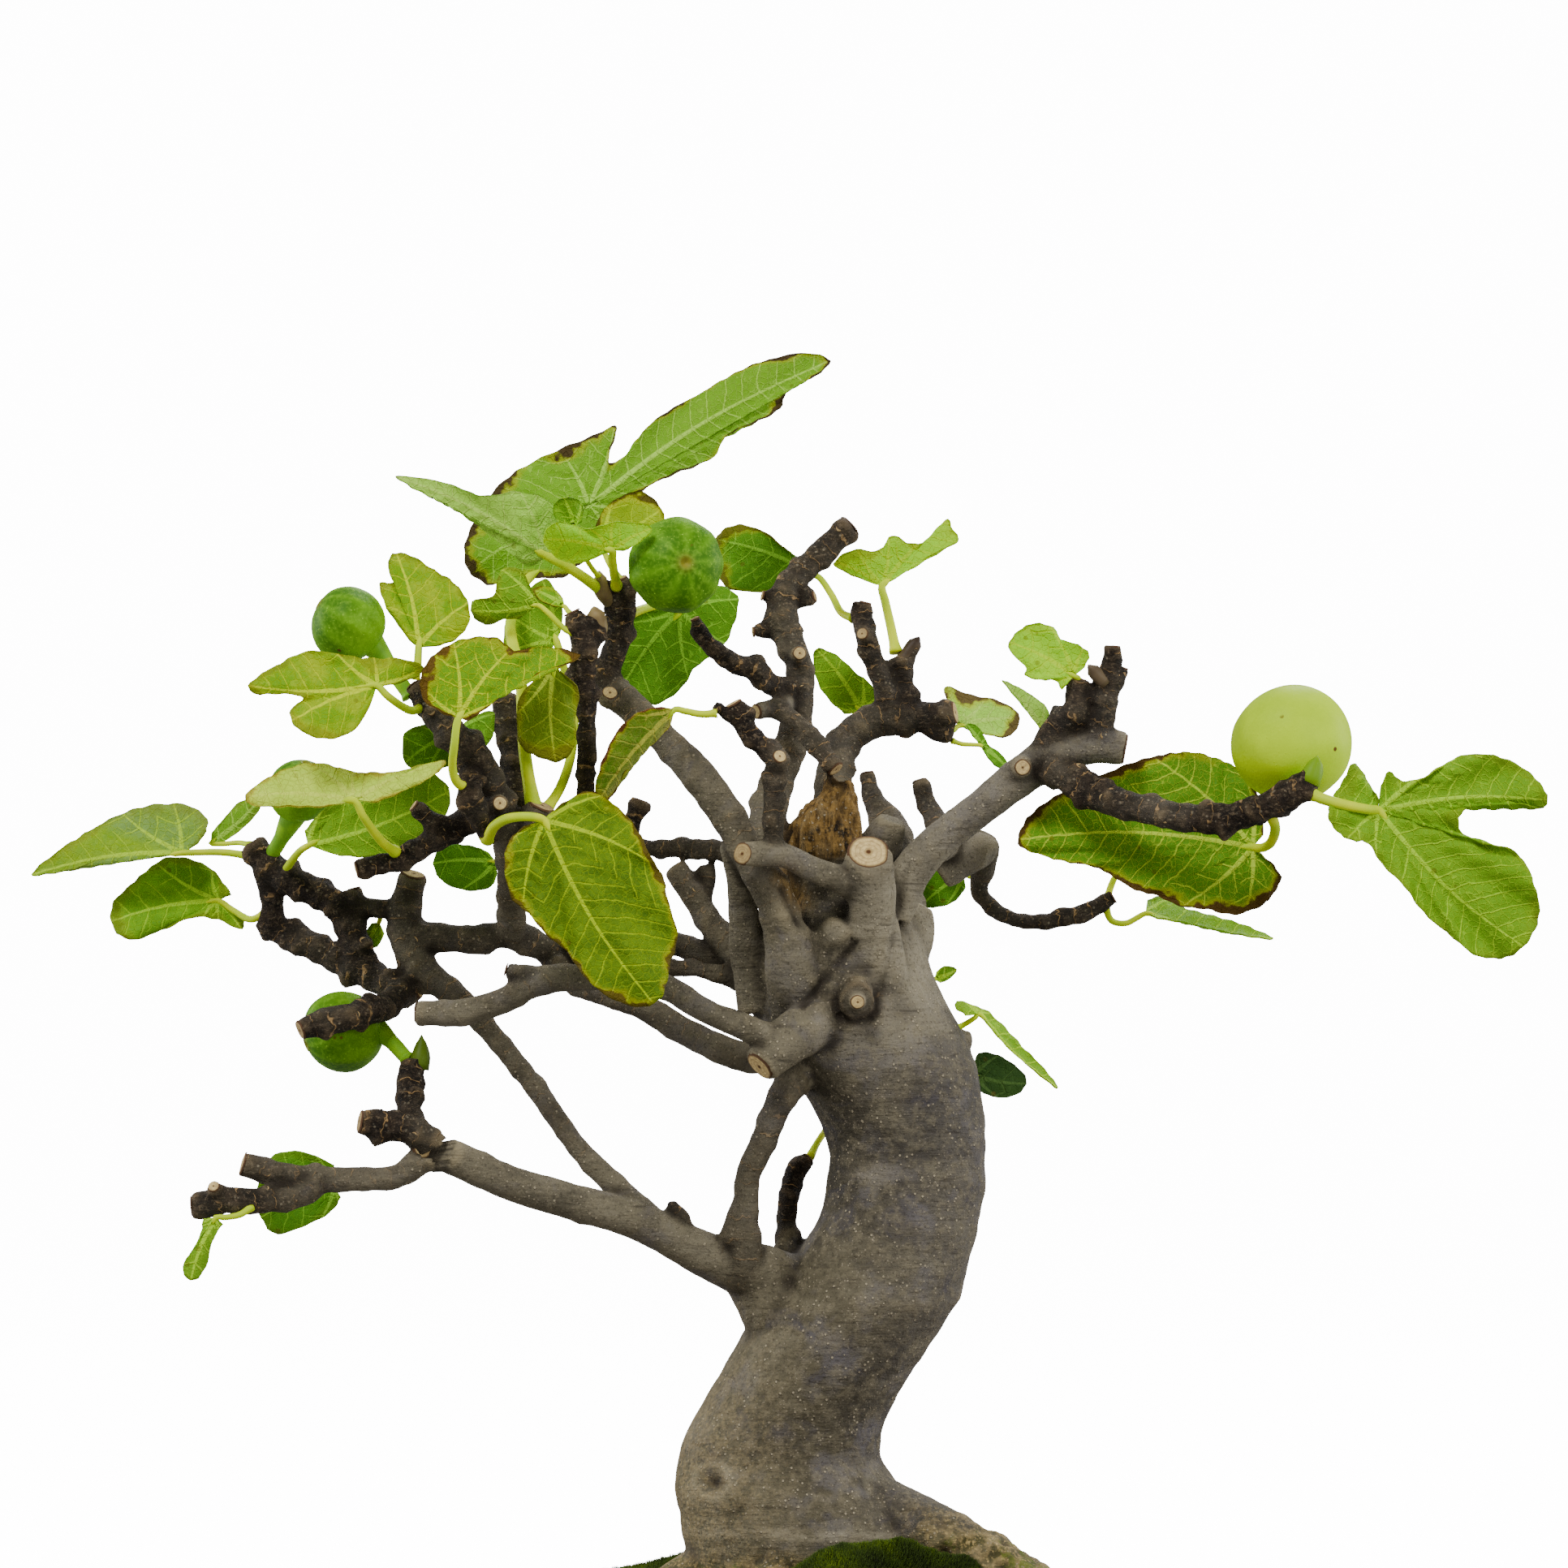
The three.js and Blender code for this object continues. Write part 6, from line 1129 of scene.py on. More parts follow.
# Creases between the limbs of the head: start, end, half width, depth
CREASES = [
    [(20, 277), (4, 258), 1.3, 1.1], [(-2, 293), (3, 284), 2.4, 2.2], [(36, 300), (28, 262), 1.4, 0.8],
    [(-24, 262), (-4, 240), 1.6, 0.5]
]
EYE = (-19, 112)        # x and z of the healed knot low on the trunk
BUTTON = (25, 259)      # of the swirl round the knob on its front
ROOT_TOP = (34, 108)    # of the place where the bare root leaves the trunk
HEAD_Z = 283            # middle height of the head, where the limbs leave
MOSS_LINE = 93          # how high the moss stains the bark
HOLLOW_SHADE_DEPTH = 0.45           # a hollow this deep takes the full painted shade
RIDGE = 0.55            # and a ridge this high fully pale


def limb_line(points):
    """Samples [x, y, z], radius and length run along a limb."""
    points = np.asarray(points, float)
    line, place = smooth_curve(spread_out(points[:, :3]), WOOD_STEP)
    radius = np.interp(place, np.arange(len(points)), points[:, 3])
    run = np.concatenate([[0], np.cumsum(np.linalg.norm(np.diff(line, axis=0), axis=1))])
    return line, radius, run


def limb_shape(name, points, draw):
    """Rings of a limb: knots at its nodes where it is young, slow lumps where it is old."""
    line, radius, run = limb_line(points)
    start, end = YOUNG.get(name, (0.0, 0.0))
    tone = start + (end - start) * run / run[-1]
    angle = circle(LIMB_SIDES)
    reach = radius[:, None] * (1 + 0.03 * np.sin(2 * angle + draw.uniform(0, 6)))[None]
    knot = draw.uniform(1, 5)
    turn = draw.uniform(0, 6)
    along, side, across = frames_of(line)
    while knot < run[-1] - 1:
        size = np.minimum(1.0, radius / 5.5)[:, None]
        young = np.interp(knot, run, tone)
        strength = draw.uniform(0.6, 1.35)
        ring = gauss(run - knot, 1.4)[:, None] * (0.1 + 1.0 * young) * size * strength
        lump = gauss(run - knot, 2.2)[:, None] * gauss(np.angle(np.exp(1j * (angle - turn))), 0.62)[None]
        reach += ring + lump * (0.3 + 2.6 * young) * size * strength
        if young > 0.4 and radius.min() > 2 and draw.random() < 0.55:
            i = int(np.argmin(abs(run - knot)))
            outward = side[i] * math.cos(turn) + across[i] * math.sin(turn)
            scar = min(1.9, radius[i] * 0.36)
            twig_scars.append((line[i] + outward * radius[i], outward + along[i] * 0.4, scar))
        turn += 2.4 + draw.uniform(-0.4, 0.4)
        knot += draw.uniform(3.8, 7.2) * (1.5 - 0.5 * young)
    return line, radius, run, tone, tube_rings(line, reach)


def averaged(values, edges):
    """Each point's value averaged with those of its neighbours."""
    total = values.copy()
    count = np.ones(len(values))
    for near, far in (edges.T, edges.T[::-1]):
        np.add.at(total, near, values[far])
        np.add.at(count, near, 1)
    return total / (count[:, None] if values.ndim > 1 else count)


def along_crease(places, start, end, width):
    """How near each point's front view lies to a line of the crown, from 0 to 1."""
    a, b = (np.array([p[0] + CENTRE_X, p[1]], float) for p in (start, end))
    flat = places[:, [0, 2]] - a
    t = np.clip(flat @ (b - a) / ((b - a) @ (b - a)), 0, 1)
    return gauss(np.linalg.norm(flat - t[:, None] * (b - a), axis=1), width) * (places[:, 1] < 6)


draw = random.Random(7)
twig_scars = []             # where leaves once sat: point, outward direction, radius
wood_points, wood_faces = [], []
line_samples = []           # x, y, z, radius, run, tone, whether it is dead wood, limb
ends = []                   # cut ends: middle, direction, radius, limb


def add_rings(rings):
    wood_faces.extend(ring_faces(*rings.shape[:2], sum(map(len, wood_points))))
    wood_points.append(rings.reshape(-1, 3))


trunk = np.asarray(TRUNK, float)
trunk_line, trunk_place = smooth_curve(placed(trunk[:, :3]), TRUNK_STEP)
trunk_radius = np.interp(trunk_place, np.arange(len(trunk)), trunk[:, 3])
angle = circle(TRUNK_SIDES)
trunk_rings = trunk_line[:, None] + np.stack([
    -np.sin(angle)[None] * trunk_radius[:, None], np.cos(angle)[None] * trunk_radius[:, None] * TRUNK_DEPTH,
    np.zeros((len(trunk_line), TRUNK_SIDES))], -1)
add_rings(trunk_rings[:, ::-1])
for i, place in enumerate(trunk_line):
    line_samples.append([*place, trunk_radius[i], i * TRUNK_STEP, 0, 0, NO_LIMB])
for index, (name, points) in enumerate({**LIMBS, **KNOBS}.items()):
    line, radius, run, tone, rings = limb_shape(name, points, draw)
    add_rings(rings)
    offset = draw.uniform(0, 40)
    for i, place in enumerate(line):
        line_samples.append([*place, radius[i], run[i] + offset, tone[i], "deadwood" in name, index])
    if not any(word in name for word in BUDS):
        ends.append((line[-1], unit(SLANTED.get(name, tangents_of(line)[-1])), radius[-1], index))
for points in SCARS:
    line, radius, run = limb_line(points)
    add_rings(plain_tube(line, radius, SCAR_SIDES))
    ends.append((line[-1], tangents_of(line)[-1], radius[-1] * 0.9, None))

wood = mesh_object("tree_bark", np.vstack(wood_points), wood_faces)
joined = with_modifier(wood, "REMESH", mode="VOXEL", voxel_size=VOXEL * MM)
joined.polygons.foreach_set("use_smooth", [True] * len(joined.polygons))
places = mesh_places(joined).astype(float)
edges = mesh_values(joined.edges, "vertices", 2, np.int32)
for i in range(2):
    shrunk = averaged(places, edges)
    places = shrunk + 0.6 * (shrunk - averaged(shrunk, edges))

# Each point takes the radius, run, tone and kind of the limb whose middle line is nearest
samples = np.array(line_samples)
nearest = np.empty(len(places), int)
for i in range(0, len(places), 4000):
    gap = np.linalg.norm(places[i:i + 4000, None] - samples[None, :, :3], axis=2) - samples[None, :, 3]
    nearest[i:i + 4000] = gap.argmin(1)
owner = samples[nearest]
owner_radius, owner_run, tone, dead, owner_limb = owner[:, 3:].T
big = np.clip((owner_radius - 6) / 14, 0, 1)
for i in range(4):
    tone, big = averaged(tone, edges), averaged(big, edges)

# Relief: lumps on old wood, splinters on dead wood, knots and creases
set_places(joined, places)
normals = mesh_normals(joined)
x, y, z = places.T
lumps = noise_at(places, 26, 1) * 1.2 * big + noise_at(places, 9, 2) * (0.4 * big + 0.2)
lumps += noise_at(places, 3.4, 12) * (0.1 + 0.5 * tone)
lumps -= 0.55 * big * np.clip(noise_at(places * [0.35, 0.35, 1.6], 7, 3) - 0.15, 0, 1)
lumps += dead * (1.3 * noise_at(places * [2.2, 2.2, 0.3], 4, 4) - 0.4)
roots = np.clip((ROOT_TOP[1] - z) / 14, 0, 1) * np.clip((x - ROOT_TOP[0]) / 14, 0, 1)
lumps += roots * (noise_at(places, 7, 5) * 1.9 + noise_at(places, 3.2, 15) * 1.1)
lumps += gauss(z - HEAD_Z, 24) * (y < 5) * noise_at(places * [1.2, 1, 0.7], 7, 14) * 0.7
eye = np.hypot(x - EYE[0], z - EYE[1])
lumps += (y < 0) * (0.9 * gauss(eye - 5, 1.8) - 1.1 * gauss(eye, 2.2) + 0.3 * gauss(eye - 9, 1.2))
swirl = np.hypot(x - BUTTON[0], z - BUTTON[1]) + 1.6 * noise_at(places, 5, 18)
rims = 0.7 * gauss(swirl - 4.6, 0.9) - 0.5 * gauss(swirl - 6.6, 0.8) + 0.5 * gauss(swirl - 8, 0.9)
lumps += (y < -18) * rims
tone = np.maximum(tone, (y < -16) * 0.6 * gauss(swirl - 5.5, 2.4))
for start, end, width, depth in CREASES:
    lumps -= depth * along_crease(places, start, end, width)
places = places + normals * lumps[:, None]
for centre, along, radius, index in ends:
    ahead = (places - centre) @ along
    away = np.linalg.norm(places - centre, axis=1)
    own = owner_limb == index if index is not None else away < radius * 1.2
    cut = own & (away < radius * 1.7 + 2) & (ahead > 0)
    places[cut] -= ahead[cut, None] * along
set_places(joined, places)

# Where the bark is pale, mossy, rusty or ridged, where painted light pales the trunk's lower left, and where
# painted shade darkens the hollows
x, y, z = places.T
# The lower-left mask makes the trunk's lower left pale and beige: painted light from the pale surroundings
left = np.clip((175 - z) / 60, 0, 1) * np.clip((10 - x) / 36, 0, 1)
pale = left * 0.7 + (y < 0) * 0.7 * gauss(eye - 5.5, 1.6) + 0.6 * gauss(z - 207, 3.4) * gauss(x - 31, 7)
pale += 1.1 * gauss(z - 96.5 + 1.6 * noise_at(places, 16, 16), 0.9)
pale += 1.3 * gauss(z - 272, 26) * gauss(x - 40, 15) + 0.5 * (1 - big) * (z > 150)
green = np.clip((MOSS_LINE - z + 3 * noise_at(places, 9, 8)) / 6, 0, 1)
# The lower left also takes the moss coat's beige tones here, as painted light
mossy = np.maximum(np.maximum(green * 0.8, left * 0.4), roots * (0.75 + 0.5 * noise_at(places, 6, 9)))
stained = 0.8 * along_crease(places, (-2, 297), (3, 290), 3.4) * (y < -2)
# bend measures how far each point lies in a hollow or on a ridge; the hollows take painted shade
eased = places
for i in range(9):
    eased = averaged(eased, edges)
bend = ((eased - places) * mesh_normals(joined)).sum(1)
bend -= np.median(bend * owner_radius) / owner_radius       # what a plain limb of that radius has
for i in range(2):
    bend = averaged(bend, edges)
for name, values in {
    "tone": tone + 0.25 * noise_at(places, 14, 6) * (tone > 0.03),
    "pale": np.clip(pale * (0.7 + 0.6 * noise_at(places, 11, 7)), 0, 1) * (1 - roots),
    "mossy": mossy, "rust": averaged(averaged(dead, edges), edges) + stained,
    "hollow": bend / HOLLOW_SHADE_DEPTH - 0.12, "ridge": -bend / RIDGE - 0.1
}.items():
    point_attribute(joined, name, np.clip(values, 0, 1))
point_attribute(joined, "along", owner_run)
joined.materials.append(bark_paint())
bark = [list(polygon.vertices) for polygon in joined.polygons]
with_modifier(wood, "DECIMATE", ratio=BARK_FACES / (2 * len(bark)))
seat(wood, "bark", "tree_wood")

# Cut faces and twig scars lie on the limb ends as thin ringed discs

BIG_DISC = (28, [0.0, 0.3, 0.62, 0.9, 1.0])         # sides, and how far out each ring lies
SMALL_DISC = (12, [0.0, 0.5, 0.9, 1.0])

tree = bvhtree.BVHTree.FromPolygons((places * MM).tolist(), bark)
discs = []
for centre, along, radius, index in ends:
    discs.append((centre, along, radius, draw.choice([0, 0, 0.15, 0.5]) if radius < 5 else 0))
for point, outward, radius in twig_scars:
    hit, normal, face, gap = tree.find_nearest(Vector(point * MM))
    normal = np.array(normal)
    facing = unit(normal + 0.5 * unit(outward))
    discs.append((np.array(hit) / MM - normal * 0.35, facing, radius, draw.uniform(0.3, 0.9)))
disc_points, disc_faces, disc_out, disc_warm = [], [], [], []
for centre, along, radius, warm in discs:
    side = unit(np.cross(along, [0.3, 0.9, 0.2]))
    across = np.cross(along, side)
    sides, steps = BIG_DISC if radius > 2.2 else SMALL_DISC
    faces = ring_faces(len(steps), sides, len(disc_points), caps=False)
    disc_faces.extend(quad[::-1] for quad in faces)
    seed = draw.uniform(0, 50)
    for out in steps:
        for turn in circle(sides):
            rough = 1 + 0.08 * noise.noise(Vector((math.cos(turn) * 1.5, math.sin(turn) * 1.5, seed)))
            direction = side * math.cos(turn) + across * math.sin(turn)
            lift = 0.16 + 0.14 * noise.noise(Vector((out * 3, turn, seed))) - (0.5 if out == 1 else 0)
            disc_points.append(centre + direction * radius * 0.93 * out * rough + along * lift)
            disc_out.append(out)
            disc_warm.append(warm)
cuts = mesh_object("cut_faces", disc_points, disc_faces, [cut_paint()])
point_attribute(cuts.data, "out", disc_out)
point_attribute(cuts.data, "warm", disc_warm)
seat(cuts, "bark")

# Leaves

# Looks of each leaf: (kind, which side faces the front, how scorched its edge is)
LOOKS = {
    "leaf_top_large": ("pale", "under", 1.0), "leaf_top_back": ("yellow", "upper", 0.9),
    "leaf_top_pale": ("silver", "under", 0), "leaf_top_crinkled": ("mid", "under", 0),
    "leaf_top_bright": ("lime", "upper", 0.1), "leaf_top_scorched": ("deep", "under", 0.7),
    "leaf_top_right": ("lime", "under", 0.3), "leaf_behind_fig": ("deep", "under", 0),
    "leaf_fork_small": ("mid", "under", 0.3), "leaf_fork_tip": ("mid", "upper", 0.8),
    "leaf_inner_left": ("mid", "under", 0.2), "leaf_front_large": ("warm", "upper", 0.85),
    "leaf_folded_front": ("rolled", "upper", 1.0), "leaf_hanging": ("olive", "upper", 0.45),
    "leaf_round_front": ("gold", "under", 0.95), "leaf_upper_left": ("gold", "upper", 0.25),
    "leaf_left_lobed": ("gold", "upper", 0.3), "leaf_left_wide": ("cream", "under", 0.6),
    "leaf_left_dark": ("mid", "under", 0.1), "leaf_left_shadow": ("deep", "upper", 0),
    "leaf_centre_hidden": ("deep", "under", 0.1), "leaf_far_left": ("fold", "under", 0.2),
    "leaf_left_lower": ("mid", "upper", 0.3), "leaf_left_narrow": ("pale", "under", 0.2),
    "leaf_back_right": ("mid", "under", 0), "leaf_right_brown": ("silver", "under", 1.0),
    "leaf_right_small": ("deep", "upper", 0), "leaf_right_top": ("lime", "upper", 0.1),
    "leaf_right_pale": ("silver", "under", 0), "leaf_far_right": ("mid", "under", 0.15),
    "leaf_right_large": ("wide", "under", 1.0), "leaf_right_under": ("mid", "under", 0),
    "leaf_right_upright": ("deep", "upper", 0), "leaf_behind_right": ("deep", "upper", 0),
    "leaf_trunk_long": ("mid", "under", 0.1), "leaf_trunk_dark": ("dark", "upper", 0),
    "leaf_low_left": ("deep", "upper", 0.1), "leaf_low_tip": ("mid", "under", 0),
    "leaf_hub_small": ("mid", "upper", 0), "leaf_shoulder_bud": ("mid", "upper", 0)
}
# Colours of each kind: upper side, veins, underside, mottling, scorch
KINDS = {
    "mid": ((98, 142, 30), (178, 200, 90), (124, 160, 54), (122, 162, 44), (92, 60, 34)),
    "deep": ((74, 124, 22), (150, 184, 82), (94, 140, 36), (94, 144, 32), (84, 54, 30)),
    "wide": ((90, 138, 24), (188, 200, 100), (94, 140, 28), (110, 150, 38), (84, 54, 30)),
    "fold": ((124, 156, 26), (178, 196, 90), (132, 158, 96), (142, 164, 34), (120, 92, 40)),
    "dark": ((42, 70, 28), (86, 114, 60), (70, 98, 48), (54, 82, 34), (60, 44, 28)),
    "pale": ((104, 146, 38), (184, 206, 122), (124, 162, 54), (142, 176, 70), (74, 52, 40)),
    "silver": ((140, 176, 72), (200, 218, 144), (168, 194, 106), (154, 188, 86), (104, 84, 56)),
    "warm": ((70, 102, 6), (172, 186, 36), (124, 152, 50), (100, 128, 14), (80, 48, 28)),
    "yellow": ((128, 150, 4), (182, 194, 50), (146, 164, 30), (150, 166, 6), (70, 44, 26)),
    "lime": ((146, 186, 0), (190, 208, 50), (158, 190, 4), (168, 196, 0), (120, 84, 40)),
    "gold": ((116, 154, 8), (190, 198, 56), (106, 148, 24), (156, 170, 8), (96, 58, 34)),
    "cream": ((164, 184, 78), (206, 214, 130), (184, 196, 104), (176, 190, 84), (150, 124, 62)),
    "rolled": ((92, 134, 26), (190, 190, 110), (166, 164, 112), (120, 148, 40), (116, 70, 50)),
    "olive": ((92, 118, 26), (170, 180, 84), (122, 150, 56), (112, 130, 34), (98, 74, 40))
}
# Leaves folded so that the part to the left of a line from [x, z] to [x, z] shows its other side
TURNED = {
    "leaf_far_left": ([-191.4, 304.2], [-210.2, 312.2]), "leaf_folded_front": ([-37, 346.5], [-58, 321])
}
YOUNG_LEAVES = ("bright", "right_top", "crinkled")
THICK = 0.42            # blade thickness in the scene
QUILT = 0.28            # how far a blade swells between its side veins
CELL = 1.35             # aimed size of a blade's faces
PETIOLE_SIDES = 12
HUB_POINTS = 15         # points round the base of a blade whose veins meet inside it
EDGE_BAND = 12          # width in millimetres over which the margin's scorch fades
FULL_SIZE = 45          # a blade this long from its base has veins of full height
VEIN_PROUD = 0.45       # how far a main vein stands out beneath
VEIN_SUNK = 0.08        # and how far it sinks in above

leaf_paints = {kind: leaf_paint("leaf_" + kind, *colours) for kind, colours in KINDS.items()}
petiole_paint = stalk_paint("petiole", (176, 190, 46), (198, 204, 76))


def blade_places(leaf, flat, wave=0.0):
    """The blade's surface in space over flat points [x, z]."""
    bx, by, bz = leaf["base"]
    tip = np.array(leaf["tip"], float) - [bx, bz]
    length = np.hypot(*tip)
    ux, uz = tip / length
    dx, dz = flat[..., 0] - bx, flat[..., 1] - bz
    along, across = dx * ux + dz * uz, dz * ux - dx * uz
    depth = leaf["lean"][0] * dx + leaf["lean"][1] * dz + leaf["fold"] * (np.sqrt(across ** 2 + 4) - 2)
    depth = depth + leaf["bow"] * along ** 2 / length + by * SPREAD + wave
    return placed(np.stack([flat[..., 0], depth, flat[..., 1]], -1))


def vein_tips(leaf, hub, outline):
    """Where the main veins end, from the hub: the tip, the lobes, and a pair low on the blade."""
    span = outline - hub
    far = np.hypot(*span.T)
    window = max(3, len(outline) // 9)
    tips = []
    for k in range(1, len(outline) - 1):
        near = far[max(0, k - window):k + window + 1]
        if far[k] >= near.max() - 1e-6 and far[k] > 0.3 * far.max():
            tips.append(k)
    turns = np.unwrap(np.arctan2(span[:, 1], span[:, 0]))
    middle = turns[int(np.argmin(np.hypot(*(outline - leaf["tip"]).T)))]
    chosen = [span[k] for k in tips]
    taken = [turns[k] for k in tips]
    for offset in (0.0, 0.72, -0.72, 1.5, -1.5):
        turn = middle + offset
        apart = min((abs(turn - t) for t in taken), default=9)
        if apart > 0.42 and turns.min() + 0.12 < turn < turns.max() - 0.12:
            chosen.append(span[int(np.argmin(abs(turns - turn)))] * (0.96 if offset else 1.0))
            taken.append(turn)
    return np.array(chosen)


def vein_fields(flat, hub, tips):
    """Each point's main vein, and its places along and across every vein."""
    span = flat - hub
    lengths = np.hypot(*tips.T)
    units = tips / lengths[:, None]
    along = span @ units.T
    across = span[:, :1] * units[None, :, 1] - span[:, 1:] * units[None, :, 0]
    bend = 0.045 * lengths * np.where(np.arange(len(tips)) % 2, 1, -1)
    across = across + bend[None] * np.sin(np.pi * np.clip(along / lengths[None], 0, 1))
    beyond = np.maximum(0, along - lengths[None]) + np.maximum(0, -along)
    distance = np.hypot(across * (1 + 0.4 * (lengths.max() / lengths[None] - 1)), beyond * 1.5)
    return distance.argmin(1), along, across, lengths


def blade_normals(surface, quads, fan):
    """The surface's normals, from its quads and from the triangles round its hub."""
    normal = np.zeros_like(surface)
    for faces in (quads, fan):
        p = surface[faces]
        n = np.cross(p[:, 1] - p[:, 0], p[:, 2] - p[:, 0])
        for corner in range(faces.shape[1]):
            np.add.at(normal, faces[:, corner], n)
    return unit(normal)


def petiole_rings(leaf, base, joint):
    """The petiole, thicker at its foot, which runs on a little under the blade."""
    toward = np.array(leaf["tip"], float) - base
    end = blade_places(leaf, (base + toward * min(0.12, 4 / np.hypot(*toward)))[None])[0]
    path, where = smooth_curve(np.vstack([spread_out(leaf["petiole"]), joint, end]), 1.1)
    part = where / where[-1]
    taper = (1 - 0.3 * part) * (1 - 0.75 * np.clip((part - 0.88) / 0.12, 0, 1))
    return plain_tube(path, leaf["stalk"] * taper * (1 + 0.35 * gauss(part, 0.06)), PETIOLE_SIDES)


def leaf_object(name, leaf):
    """A blade with raised veins, quilted between them, and its petiole."""
    kind, face, burnt = LOOKS[name]
    sign = 1 if face == "upper" else -1
    base = np.array([leaf["base"][0], leaf["base"][2]], float)
    hub = np.array(leaf.get("hub", base), float)
    corners = np.array(leaf["outline"], float)
    rim, place = smooth_curve(corners, CELL)
    tips = vein_tips(leaf, hub, rim)
    closed = "hub" in leaf
    if closed:
        to_base = np.linspace(0, 1, (HUB_POINTS + 3) // 2)[1:-1, None]
        rim = np.vstack([rim, rim[-1] + (base - rim[-1]) * to_base, base, base + (rim[0] - base) * to_base])
        place = np.concatenate([place, np.full(HUB_POINTS, len(corners) - 1.0)])
    count = len(rim)
    far = np.hypot(*(rim - hub).T)
    layers = int(np.clip(far.max() / CELL, 7, 40))
    reach = np.linspace(0, 1, layers + 1)[1:] ** 0.9
    ripple = 0.22 * np.sin(place * 9.0 + base[0]) * min(1, far.max() / 25)
    rim = rim + (rim - hub) / np.maximum(far, 1e-6)[:, None] * ripple[:, None]
    flat = hub + (rim - hub)[None] * reach[:, None, None]
    wave = leaf["wave"] * np.sin(2.4 * place + base[0])[None] * reach[:, None] ** 2
    if closed:
        wave[:, -HUB_POINTS:] = 0
    flat = np.vstack([hub[None], flat.reshape(-1, 2)])
    vein, along, across, lengths = vein_fields(flat, hub, tips)
    rows = np.arange(len(flat))
    u, v = along[rows, vein], across[rows, vein]
    share = np.clip(u / lengths[vein], 0, 1)
    size = min(1.0, far.max() / FULL_SIZE)
    main = gauss(v, 0.5 + 0.55 * (1 - share)) * (1 - 0.75 * share) * size
    phase = (u - abs(v) * (0.52 + 0.014 * abs(v))) / SIDE_VEINS
    quilt = np.cos((phase % 1 - 0.5) * 2 * np.pi)

    # The blade's middle surface, then its two faces and the strip that joins them
    surface = blade_places(leaf, flat, np.concatenate([[0], wave.ravel()]))
    across_rim = count if closed else count - 1
    i, j = np.meshgrid(np.arange(layers - 1), np.arange(across_rim), indexing="ij")
    a = 1 + i * count + j
    b = 1 + i * count + (j + 1) % count
    quads = np.stack([a, b, b + count, a + count], -1).reshape(-1, 4)
    fan_j = np.arange(across_rim)
    fan = np.stack([np.zeros_like(fan_j), 1 + fan_j, 1 + (fan_j + 1) % count], -1)
    normal = blade_normals(surface, quads, fan)
    if normal[:, 1].sum() > 0:
        normal = -normal                                     # towards the front
        quads, fan = quads[:, ::-1], fan[:, [0, 2, 1]]
    sheet = surface + normal * (QUILT * quilt * (1 - main) * size * sign)[:, None]
    shown, hidden = (-VEIN_SUNK, VEIN_PROUD)[::sign]
    front = sheet + normal * (THICK / 2 + main * shown)[:, None]
    back = sheet - normal * (THICK / 2 + main * hidden)[:, None]
    total = len(flat)
    faces = quads.tolist() + fan.tolist()
    faces += [[k + total for k in corners[::-1]] for corners in faces]
    border = [1 + (layers - 1) * count + k for k in range(count)]
    if not closed:
        border = [0] + [1 + k * count for k in range(layers - 1)] + border
        border += [1 + k * count + count - 1 for k in range(layers - 2, -1, -1)]
    faces += [[p, p + total, q + total, q] for p, q in zip(border, border[1:] + border[:1])]
    rings = petiole_rings(leaf, base, blade_places(leaf, base[None])[0] if closed else surface[0])
    points = np.vstack([front, back, rings.reshape(-1, 3)])
    stalk = ring_faces(*rings.shape[:2], 2 * total)
    paints = [leaf_paints[kind], petiole_paint]
    obj = mesh_object(name.replace("leaf", "blade"), points, faces + stalk, paints)
    mesh = obj.data
    second_material(mesh, len(faces))
    inward = np.concatenate([[1.0], np.repeat(1 - reach, count)])
    edge = np.clip(inward * np.concatenate([[1], np.tile(far, layers)]) / EDGE_BAND, 0, 1)
    turned = np.zeros(total)
    if name in TURNED:
        start, end = np.array(TURNED[name])
        ahead = unit(end - start)
        past = (flat[:, 1] - start[1]) * ahead[0] - (flat[:, 0] - start[0]) * ahead[1]
        turned = np.clip(past / 3 + 0.5, 0, 1)
    near = turned if sign > 0 else 1 - turned
    pad = np.zeros(len(points) - 2 * total)
    for key, front_values, back_values, rest in (
            ("side", near, 1 - near, pad), ("edge", edge, edge, pad + 1),
            ("burnt", np.full(total, burnt), np.full(total, burnt), pad), ("reach", share, share, pad)):
        point_attribute(mesh, key, np.concatenate([front_values, back_values, rest]))

    # The vein map is kept by corner, so that it breaks cleanly where one vein's field meets the next
    corner = mesh_values(mesh.loops, "vertex_index", 1, np.int32)[:, 0]
    starts = np.array([polygon.loop_start for polygon in mesh.polygons])
    sizes = np.array([polygon.loop_total for polygon in mesh.polygons])
    source = np.where(corner < 2 * total, corner % total, 0)
    field = np.repeat(vein[source[starts + 1]], sizes)
    uv = np.stack([along[source, field], across[source, field]], -1)
    uv[corner >= 2 * total] = 0
    mesh.uv_layers.new(name="veins").data.foreach_set("uv", uv.astype(np.float32).ravel())
    mesh.validate()
    seat(obj, "young_leaf" if any(word in name for word in YOUNG_LEAVES) else "leaf", name)


for name, leaf in LEAVES.items():
    leaf_object(name, leaf)

# Figs

# Half the outline of a fig, [out, up], from its stalk end to its eye
FIG_PROFILE = [
    [0, -1], [0.36, -0.96], [0.72, -0.72], [0.95, -0.32], [1, 0.12], [0.86, 0.56], [0.5, 0.9], [0.16, 1],
    [0, 0.97]
]
FIG_SIDES = 84
STALK_SIDES = 18
GREEN = {"ribs": 9, "deep": 0.03, "slot": "fig_green", "paint": fruit_paint(
    "fig_green", (70, 116, 18), (124, 162, 46), (146, 182, 70), (170, 196, 100), (140, 138, 66))}
RIPE = {"ribs": 7, "deep": 0.012, "slot": "fig_ripe", "paint": fruit_paint(
    "fig_ripe", (166, 184, 4), (188, 204, 6), (196, 212, 24), (200, 214, 50), (130, 110, 30))}
fig_stalk_paint = stalk_paint("fig_stalk", (150, 180, 60), (120, 160, 60))


